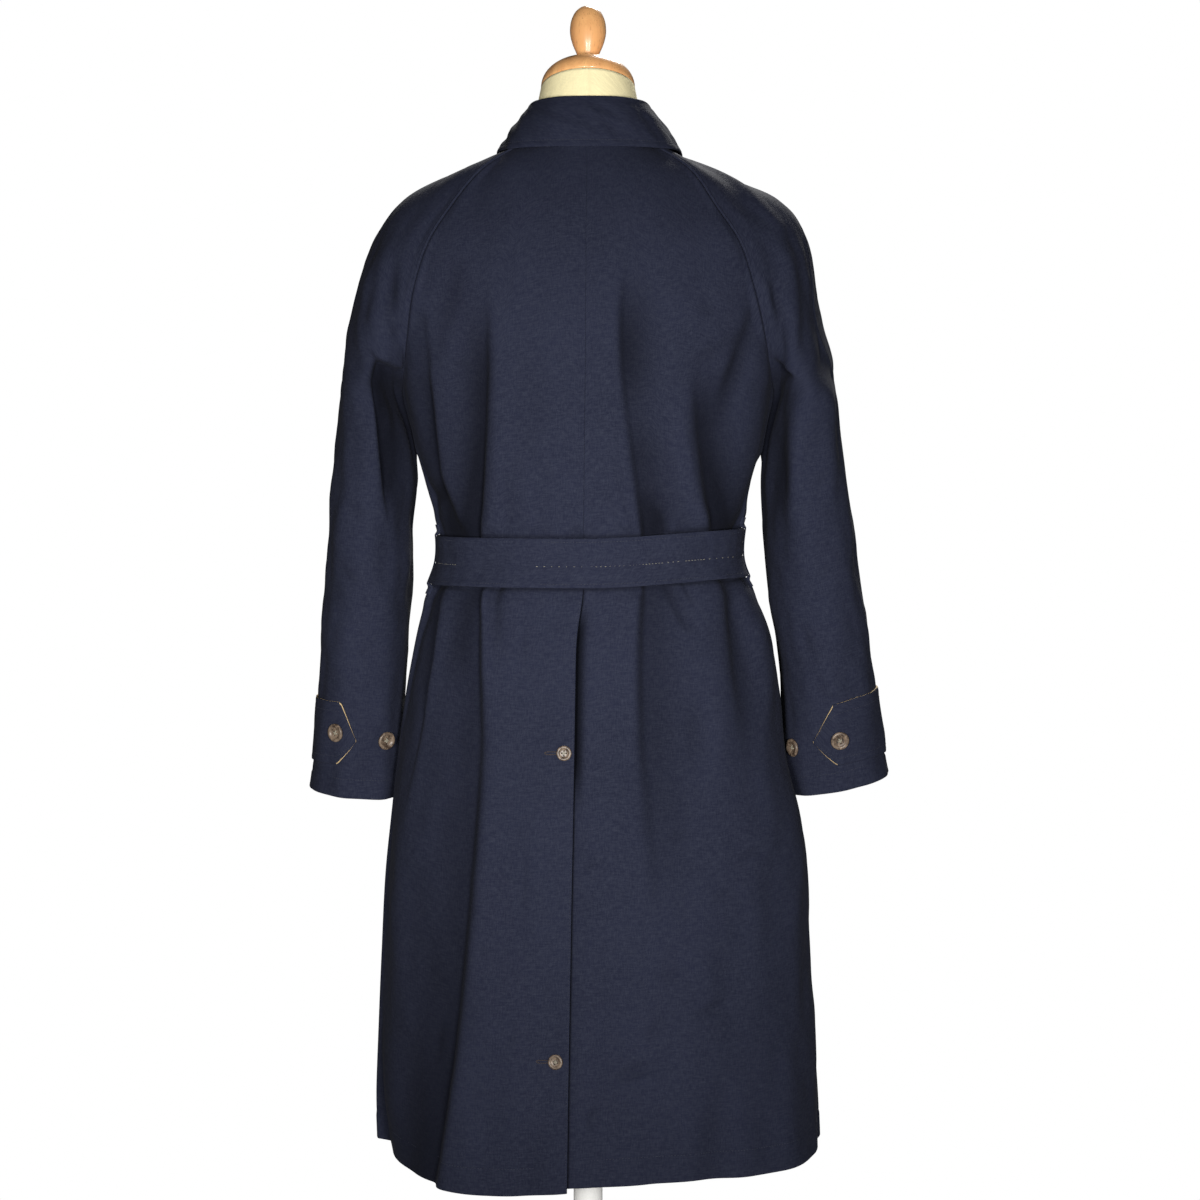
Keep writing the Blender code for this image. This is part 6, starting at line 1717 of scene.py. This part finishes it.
def weave_group():
    """Plain weave with thicker and lighter threads here and there, across and down."""
    tree = bpy.data.node_groups.get("slubbed_weave")
    if tree:
        return tree
    tree = shader_group("slubbed_weave", (
        ("Cloth Place", "Vector", None), ("Pitch", "Float", 0.0008),
        ("Slub Length", "Float", 0.012)), (("Slub", "Float"), ("Height", "Float")))
    given = tree.nodes.new("NodeGroupInput").outputs
    per_pitch = maths(tree, "DIVIDE", 1.0, given["Pitch"])
    per_slub = maths(tree, "DIVIDE", 1.0, given["Slub Length"])
    place = add(tree, "ShaderNodeSeparateXYZ", {0: given["Cloth Place"]}).outputs
    streaks = []
    for number, (fine, long) in enumerate(((0, 1), (1, 0))):
        across = maths(tree, "MULTIPLY", place[fine], per_pitch)
        half = maths(tree, "MULTIPLY", across, 0.55)
        down = maths(tree, "MULTIPLY", place[long], per_slub)
        spot = add(tree, "ShaderNodeCombineXYZ", {0: half, 1: down, 2: 7.3 * number})
        noise = add(tree, "ShaderNodeTexNoise", {"Vector": spot.outputs[0], "Scale": 1.0,
                                                 "Detail": 2.0, "Roughness": 0.65})
        streaks.append(noise.outputs[0])
        streaks.append(maths(tree, "SINE", maths(tree, "MULTIPLY", across, math.pi)))
    both = maths(tree, "ADD", streaks[0], streaks[2])
    slub = add(tree, "ShaderNodeMapRange", {0: both, 1: 0.80, 2: 1.45, 3: 0.0, 4: 1.0}).outputs[0]
    weave = maths(tree, "MULTIPLY", maths(tree, "MULTIPLY", streaks[1], streaks[3]), 0.35)
    add(tree, "NodeGroupOutput", {"Slub": slub, "Height": maths(tree, "ADD", slub, weave)})
    return tree


def wear_group():
    """Broad soft patches, for fading, dust and uneven dye."""
    tree = bpy.data.node_groups.get("worn_patches")
    if tree:
        return tree
    tree = shader_group("worn_patches", (("Place", "Vector", None), ("Size", "Float", 6.0)),
                        (("Patch", "Float"), ("Mottle", "Float")))
    given = tree.nodes.new("NodeGroupInput").outputs
    broad = add(tree, "ShaderNodeTexNoise", {"Vector": given["Place"], "Scale": given["Size"],
                                             "Detail": 3.0, "Roughness": 0.6})
    finer = maths(tree, "MULTIPLY", given["Size"], 26.0)
    small = add(tree, "ShaderNodeTexNoise", {"Vector": given["Place"], "Scale": finer,
                                             "Detail": 3.0, "Roughness": 0.7})
    patch = add(tree, "ShaderNodeMapRange", {0: broad.outputs[0], 1: 0.32, 2: 0.68})
    mottle = add(tree, "ShaderNodeMapRange", {0: small.outputs[0], 1: 0.3, 2: 0.7})
    add(tree, "NodeGroupOutput", {"Patch": patch.outputs[0], "Mottle": mottle.outputs[0]})
    return tree


def new_material(name):
    """A material with its shader, and the shader's inputs."""
    material = bpy.data.materials.new(name)
    material.use_nodes = True
    return material, material.node_tree, material.node_tree.nodes["Principled BSDF"].inputs


def blend_colours(tree, factor, first, second, kind="MIX"):
    """Colour between two, by a factor."""
    mixed = add(tree, "ShaderNodeMix", data_type="RGBA", blend_type=kind)
    for socket, value in zip((mixed.inputs[0], mixed.inputs[6], mixed.inputs[7]),
                             (factor, first, second)):
        if isinstance(value, bpy.types.NodeSocket):
            tree.links.new(value, socket)
        else:
            socket.default_value = value
    return mixed.outputs[2]


def shade(colour, factor):
    """A colour made lighter or darker, with its alpha."""
    return (*(min(1.0, part * factor) for part in colour), 1.0)


PAINTED_FOLD_SHADE = 0.18         # of the cloth's colour, where the painted shade is darkest


def cloth_material(name, colour, light, pitch, slub_length, bump, sheen):
    """Woven cloth on its own cloth coordinates."""
    material, tree, inputs = new_material(name)
    place = add(tree, "ShaderNodeUVMap", uv_map="cloth").outputs[0]
    weave = add(tree, "ShaderNodeGroup", node_tree=weave_group())
    tree.links.new(place, weave.inputs["Cloth Place"])
    weave.inputs["Pitch"].default_value = pitch
    weave.inputs["Slub Length"].default_value = slub_length
    wear = add(tree, "ShaderNodeGroup", node_tree=wear_group())
    tree.links.new(add(tree, "ShaderNodeTexCoord").outputs["Object"], wear.inputs["Place"])
    worn = blend_colours(tree, wear.outputs["Patch"], shade(colour, 0.90), shade(colour, 1.10))
    mottled = blend_colours(tree, wear.outputs["Mottle"], shade((0.9, 0.9, 0.9), 1),
                            shade((1.1, 1.1, 1.1), 1.0))
    ground = blend_colours(tree, 1.0, worn, mottled, "MULTIPLY")
    woven = blend_colours(tree, weave.outputs["Slub"], ground, shade(light, 1.0))
    # toned darker deep in folds, along seams, by the belt and vent and on the inner sleeves, to
    # stand in for shade there; it follows the cloth and stays in every light
    folds = add(tree, "ShaderNodeAttribute", attribute_name="painted_shade").outputs["Fac"]
    tree.links.new(blend_colours(tree, folds, woven, shade(colour, PAINTED_FOLD_SHADE)),
                   inputs["Base Color"])
    rough = add(tree, "ShaderNodeMapRange", {0: weave.outputs["Slub"], 3: 0.94, 4: 0.80})
    tree.links.new(rough.outputs[0], inputs["Roughness"])
    relief = add(tree, "ShaderNodeBump", {"Strength": bump, "Distance": 0.0005,
                                          "Height": weave.outputs["Height"]})
    tree.links.new(relief.outputs[0], inputs["Normal"])
    inputs["Sheen Weight"].default_value = sheen
    inputs["Sheen Roughness"].default_value = 0.45
    inputs["Specular IOR Level"].default_value = 0.08
    return material


def wood_material(name, colour):
    """Turned beech under a thin gloss, with its grain along the wood."""
    material, tree, inputs = new_material(name)
    place = add(tree, "ShaderNodeTexCoord").outputs["Object"]
    drawn = add(tree, "ShaderNodeMapping", {"Vector": place, "Scale": (60.0, 60.0, 5.0),
                                            "Rotation": (0.0, 0.12, 0.0)}).outputs[0]
    grain = add(tree, "ShaderNodeTexNoise", {"Vector": drawn, "Scale": 1.0, "Detail": 5.0,
                                             "Roughness": 0.6, "Distortion": 0.6}).outputs[0]
    rings = add(tree, "ShaderNodeTexWave", {"Vector": place, "Scale": 18.0, "Distortion": 5.0,
                                            "Detail": 2.0}, bands_direction="X").outputs[1]
    fleck_place = add(tree, "ShaderNodeMapping", {"Vector": place, "Scale": (900.0, 900.0, 120.0)})
    fleck = add(tree, "ShaderNodeTexNoise", {"Vector": fleck_place.outputs[0], "Scale": 1.0,
                                             "Detail": 1.0}).outputs[0]
    flecks = add(tree, "ShaderNodeMapRange", {0: fleck, 1: 0.62, 2: 0.72}).outputs[0]
    streak = add(tree, "ShaderNodeMapRange", {0: grain, 1: 0.36, 2: 0.66}).outputs[0]
    tone = blend_colours(tree, streak, shade(colour, 0.80), shade(colour, 1.12))
    ringed = blend_colours(tree, rings, tone, shade(colour, 0.92))
    ringed_soft = blend_colours(tree, 0.35, tone, ringed)
    tree.links.new(blend_colours(tree, flecks, ringed_soft, shade(colour, 0.62)),
                   inputs["Base Color"])
    tree.links.new(add(tree, "ShaderNodeMapRange", {0: grain, 3: 0.26, 4: 0.40}).outputs[0],
                   inputs["Roughness"])
    relief = add(tree, "ShaderNodeBump", {"Strength": 0.12, "Distance": 0.0003, "Height": grain})
    tree.links.new(relief.outputs[0], inputs["Normal"])
    inputs["Coat Weight"].default_value = 0.6
    inputs["Coat Roughness"].default_value = 0.12
    return material


def horn_material(name, pale, brown):
    """Polished horn, pale at the rim and marbled with brown."""
    material, tree, inputs = new_material(name)
    place = add(tree, "ShaderNodeTexCoord").outputs["Object"]
    cloud = add(tree, "ShaderNodeTexNoise", {"Vector": place, "Scale": 130.0, "Detail": 4.0,
                                             "Roughness": 0.6, "Distortion": 1.4}).outputs[0]
    drawn = add(tree, "ShaderNodeMapping", {"Vector": place, "Scale": (520.0, 520.0, 150.0),
                                            "Rotation": (0.3, 0.7, 0.2)}).outputs[0]
    vein = add(tree, "ShaderNodeTexNoise", {"Vector": drawn, "Scale": 1.0,
                                            "Detail": 2.0}).outputs[0]
    clouds = add(tree, "ShaderNodeMapRange", {0: cloud, 1: 0.40, 2: 0.62}).outputs[0]
    veins = add(tree, "ShaderNodeMapRange", {0: vein, 1: 0.52, 2: 0.66}).outputs[0]
    marbled = blend_colours(tree, clouds, shade(pale, 1.0), shade(brown, 1.0))
    tree.links.new(blend_colours(tree, veins, marbled, shade(pale, 1.25)), inputs["Base Color"])
    tree.links.new(add(tree, "ShaderNodeMapRange", {0: cloud, 3: 0.34, 4: 0.50}).outputs[0],
                   inputs["Roughness"])
    relief = add(tree, "ShaderNodeBump", {"Strength": 0.10, "Distance": 0.0002, "Height": vein})
    tree.links.new(relief.outputs[0], inputs["Normal"])
    inputs["Coat Weight"].default_value = 0.12
    inputs["Coat Roughness"].default_value = 0.25
    inputs["Specular IOR Level"].default_value = 0.35
    return material


def plain_detail_material(name, colour, size, roughness, bump, contrast=0.25):
    """Paint, thread or a cut edge: one colour with its own fine unevenness."""
    material, tree, inputs = new_material(name)
    wear = add(tree, "ShaderNodeGroup", node_tree=wear_group())
    tree.links.new(add(tree, "ShaderNodeTexCoord").outputs["Object"], wear.inputs["Place"])
    wear.inputs["Size"].default_value = size
    tree.links.new(blend_colours(tree, wear.outputs["Mottle"], shade(colour, 1 - contrast),
                                 shade(colour, 1 + contrast)), inputs["Base Color"])
    tree.links.new(add(tree, "ShaderNodeMapRange", {0: wear.outputs["Patch"], 3: roughness - 0.06,
                                                    4: roughness + 0.06}).outputs[0],
                   inputs["Roughness"])
    relief = add(tree, "ShaderNodeBump", {"Strength": bump, "Distance": 0.0003,
                                          "Height": wear.outputs["Mottle"]})
    tree.links.new(relief.outputs[0], inputs["Normal"])
    return material


# ---------------------------------------------------------------- stage


ROOM_LIGHT = 0.07
FLOOR_GLOW = 0.16         # so that the floor looks pale in the narrow studio light
FLOOR_EDGE = ((0.0, 0.0), (0.6, 0.0), (1.2, 0.0), (1.5, -0.0005), (1.5, -0.008), (0.0, -0.008))
LIGHT_SPREAD, LIGHT_AIM = math.radians(46), 1.05
# Lights: name, place, watts, size, colour.
LIGHTS = (
    ("left_softbox", (0.60, 3.1, 1.08), 5.6, 0.5, (1.0, 0.985, 0.96)),
    ("right_softbox", (-0.60, 3.1, 1.08), 5.9, 0.5, (1.0, 0.99, 0.98)),
    ("front_light", (-0.5, -2.6, 3.4), 14.0, 1.0, (1.0, 0.99, 0.97)),
)
VIEW_ACROSS, VIEW_DISTANCE, VIEW_HEIGHT, VIEW_WIDTH = -0.0124, 3.2, 1.18, 1.2396
VIEW_SHIFT, VIEW_AIM = -0.055, 1.0153
SENSOR_WIDTH = 36.0


def make_stage():
    """Pale floor, soft studio light, white surroundings and the camera."""
    scene = bpy.context.scene
    scene.view_settings.view_transform = "Standard"
    scene.view_settings.look = "None"
    world = bpy.data.worlds.new("white_studio")
    scene.world = world
    world.use_nodes = True
    tree = world.node_tree
    tree.nodes.clear()
    path = add(tree, "ShaderNodeLightPath")
    seen = add(tree, "ShaderNodeBackground", {"Color": (1, 1, 1, 1), "Strength": 1.0})
    # the room's light comes from all round at the coat's height, and little from above or below
    sky = add(tree, "ShaderNodeTexCoord").outputs["Generated"]
    way = add(tree, "ShaderNodeSeparateXYZ", {0: sky})
    band = add(tree, "ShaderNodeMapRange", {0: maths(tree, "ABSOLUTE", way.outputs[2]), 1: 0.10,
                                            2: 0.75, 3: ROOM_LIGHT, 4: ROOM_LIGHT * 0.15})
    lit = add(tree, "ShaderNodeBackground", {"Color": (1, 0.985, 0.97, 1),
                                             "Strength": band.outputs[0]})
    mixed = add(tree, "ShaderNodeMixShader", {0: path.outputs["Is Camera Ray"],
                                              1: lit.outputs[0], 2: seen.outputs[0]})
    add(tree, "ShaderNodeOutputWorld", {"Surface": mixed.outputs[0]})
    points, faces = revolved(FLOOR_EDGE, 96)
    pale = plain_detail_material("pale_floor", (0.80, 0.79, 0.77), 3.0, 0.7, 0.05, 0.03)
    inputs = pale.node_tree.nodes["Principled BSDF"].inputs
    inputs["Emission Color"].default_value = (1, 1, 1, 1)
    inputs["Emission Strength"].default_value = FLOOR_GLOW
    floor = new_object("studio_floor", mesh_from("studio_floor", points - (0, 0, 0.0006), faces),
                       pale)
    for name, spot, power, size, colour in LIGHTS:
        lamp = bpy.data.lights.new(name, "AREA")
        lamp.energy, lamp.size, lamp.color = power, size, colour
        lamp.spread = LIGHT_SPREAD
        light = bpy.data.objects.new(name, lamp)
        light.location = spot
        aim = Vector((0, 0, LIGHT_AIM)) - Vector(spot)
        light.rotation_euler = aim.to_track_quat("-Z", "Y").to_euler()
        bpy.context.scene.collection.objects.link(light)
    lens = bpy.data.cameras.new("viewpoint")
    lens.sensor_width = SENSOR_WIDTH
    lens.lens = SENSOR_WIDTH * VIEW_DISTANCE / VIEW_WIDTH
    lens.shift_y = VIEW_SHIFT
    lens.clip_start, lens.clip_end = 0.05, 50.0
    viewpoint = bpy.data.objects.new("viewpoint", lens)
    viewpoint.location = (VIEW_ACROSS, VIEW_DISTANCE, VIEW_HEIGHT)
    tilt = (math.atan((VIEW_AIM - VIEW_HEIGHT) / VIEW_DISTANCE)
            - math.atan(VIEW_SHIFT * VIEW_WIDTH / VIEW_DISTANCE))
    viewpoint.rotation_euler = (math.pi / 2 + tilt, 0, math.pi)
    bpy.context.scene.collection.objects.link(viewpoint)
    scene.camera = viewpoint


# ---------------------------------------------------------------- add-on


def colour_property(name, description, default):
    """A colour that a user would change."""
    return bpy.props.FloatVectorProperty(name=name, description=description, default=default,
                                         subtype="COLOR", size=3, min=0.0, max=1.0)


class MackintoshSettings(bpy.types.PropertyGroup):
    """Sizes and colours that a user would change."""

    crease_depth: bpy.props.FloatProperty(
        name="Crease Depth", description="Depth of the creases, as a share of the worn coat's",
        default=1.0, min=0.0, max=2.0, subtype="FACTOR")
    thread_pitch: bpy.props.FloatProperty(
        name="Weave Pitch", description="From one thread of the cloth to the next",
        default=0.00075, min=0.0002, max=0.004, precision=5, unit="LENGTH")
    navy: colour_property("Navy", "Ground colour of the coat", (0.0125, 0.0146, 0.0292))
    navy_light: colour_property("Light Slubs", "Colour of the coat's thicker threads",
                                (0.0228, 0.0262, 0.0430))
    calico: colour_property("Calico", "Cover of the dress form", (0.93, 0.83, 0.50))
    wood: colour_property("Wood", "Neck cap and finial", (1.0, 0.50, 0.20))
    horn_pale: colour_property("Pale Horn", "Light parts of the buttons", (0.145, 0.107, 0.077))
    horn_brown: colour_property("Brown Horn", "Dark parts of the buttons", (0.034, 0.021, 0.014))
    cut_edge: colour_property("Cut Edge", "Bare edges of the cuff straps", (0.42, 0.31, 0.16))
    paint: colour_property("Paint", "Pole and foot of the stand", (0.80, 0.80, 0.78))


def coat_surfaces():
    """The quarters' faces at the chosen crease depth, made once."""
    strength = bpy.context.scene.mackintosh.crease_depth * CREASE_STRENGTH
    if strength not in MADE_SURFACES:
        MADE_SURFACES[strength] = make_surfaces(strength)
    return MADE_SURFACES[strength]


MADE_SURFACES = {}


def finishes(name):
    """One of the object's materials, made when it is first asked for."""
    made = bpy.data.materials.get(name)
    if made:
        return made
    chosen = bpy.context.scene.mackintosh
    makers = {
        "bonded_navy_cotton": (cloth_material, chosen.navy, chosen.navy_light,
                               chosen.thread_pitch, 0.007, 0.30, 0.008),
        "cream_calico_cover": (cloth_material, chosen.calico, shade(chosen.calico, 1.06)[:3],
                               0.0009, 0.010, 0.35, 0.05),
        "honey_beech_gloss": (wood_material, chosen.wood),
        "marbled_horn": (horn_material, chosen.horn_pale, chosen.horn_brown),
        "white_painted_iron": (plain_detail_material, chosen.paint, 40.0, 0.45, 0.15, 0.04),
        "navy_thread": (plain_detail_material, (0.018, 0.021, 0.035), 90.0, 0.75, 0.3),
        "cream_thread": (plain_detail_material, (0.23, 0.215, 0.165), 90.0, 0.75, 0.3),
        "brown_thread": (plain_detail_material, (0.045, 0.032, 0.024), 90.0, 0.75, 0.3),
        "tan_cut_edge": (plain_detail_material, chosen.cut_edge, 60.0, 0.85, 0.4),
    }
    maker, *values = makers[name]
    return maker(name, *values)


class MACK_OT_body(bpy.types.Operator):
    """Make the coat's backs and fronts"""
    bl_idname = "mackintosh.body"
    bl_label = "Coat Body"

    def execute(self, context):
        navy = finishes("bonded_navy_cotton")
        make_backs(coat_surfaces(), navy)
        make_fronts(coat_surfaces(), navy)
        return {"FINISHED"}


class MACK_OT_sleeves(bpy.types.Operator):
    """Make both raglan sleeves"""
    bl_idname = "mackintosh.sleeves"
    bl_label = "Sleeves"

    def execute(self, context):
        make_sleeves(coat_surfaces(), finishes("bonded_navy_cotton"))
        return {"FINISHED"}


class MACK_OT_collar(bpy.types.Operator):
    """Make the collar's stand and fall"""
    bl_idname = "mackintosh.collar"
    bl_label = "Collar"

    def execute(self, context):
        make_collar(coat_surfaces(), finishes("bonded_navy_cotton"))
        return {"FINISHED"}


class MACK_OT_belt(bpy.types.Operator):
    """Make the belt, its loops and its buckle"""
    bl_idname = "mackintosh.belt"
    bl_label = "Belt, Loops and Buckle"

    def execute(self, context):
        navy = finishes("bonded_navy_cotton")
        make_belt(coat_surfaces(), navy)
        make_loops(coat_surfaces(), navy)
        make_buckle(coat_surfaces(), finishes("marbled_horn"))
        return {"FINISHED"}


class MACK_OT_straps(bpy.types.Operator):
    """Make the cuff straps"""
    bl_idname = "mackintosh.straps"
    bl_label = "Cuff Straps"

    def execute(self, context):
        make_straps(coat_surfaces(), finishes("bonded_navy_cotton"), finishes("tan_cut_edge"))
        return {"FINISHED"}


class MACK_OT_buttons(bpy.types.Operator):
    """Make the cuff, vent and front buttons"""
    bl_idname = "mackintosh.buttons"
    bl_label = "Buttons"

    def execute(self, context):
        make_buttons(coat_surfaces(), finishes("marbled_horn"), finishes("cream_thread"))
        return {"FINISHED"}


class MACK_OT_stitching(bpy.types.Operator):
    """Sew the rows of stitches that show"""
    bl_idname = "mackintosh.stitching"
    bl_label = "Stitching"

    def execute(self, context):
        sew_coat(coat_surfaces(), finishes("navy_thread"), finishes("cream_thread"),
                 finishes("brown_thread"))
        return {"FINISHED"}


class MACK_OT_form(bpy.types.Operator):
    """Make the dress form, its wooden cap and finial, and its stand"""
    bl_idname = "mackintosh.form"
    bl_label = "Dress Form and Stand"

    def execute(self, context):
        make_form(coat_surfaces(), finishes("cream_calico_cover"))
        make_stand(finishes("honey_beech_gloss"), finishes("white_painted_iron"))
        return {"FINISHED"}


class MACK_OT_stage(bpy.types.Operator):
    """Make the floor, the lights and the camera"""
    bl_idname = "mackintosh.stage"
    bl_label = "Stage"

    def execute(self, context):
        make_stage()
        return {"FINISHED"}


OPERATORS = (MACK_OT_body, MACK_OT_sleeves, MACK_OT_collar, MACK_OT_belt, MACK_OT_straps,
             MACK_OT_buttons, MACK_OT_stitching, MACK_OT_form, MACK_OT_stage)


class MACK_PT_sidebar(bpy.types.Panel):
    """The mackintosh's settings and steps"""
    bl_idname = "MACK_PT_sidebar"
    bl_label = "Mackintosh"
    bl_space_type = "VIEW_3D"
    bl_region_type = "UI"
    bl_category = "Mackintosh"

    def draw(self, context):
        for name in MackintoshSettings.__annotations__:
            self.layout.prop(context.scene.mackintosh, name)
        for operator in OPERATORS:
            self.layout.operator(operator.bl_idname)


def register():
    for thing in (MackintoshSettings, *OPERATORS, MACK_PT_sidebar):
        bpy.utils.register_class(thing)
    bpy.types.Scene.mackintosh = bpy.props.PointerProperty(type=MackintoshSettings)


def unregister():
    del bpy.types.Scene.mackintosh
    for thing in reversed((MackintoshSettings, *OPERATORS, MACK_PT_sidebar)):
        bpy.utils.unregister_class(thing)


def main():
    """Makes everything in order."""
    register()
    for operator in OPERATORS:
        group, name = operator.bl_idname.split(".")
        getattr(getattr(bpy.ops, group), name)()


if __name__ == "__main__":
    main()
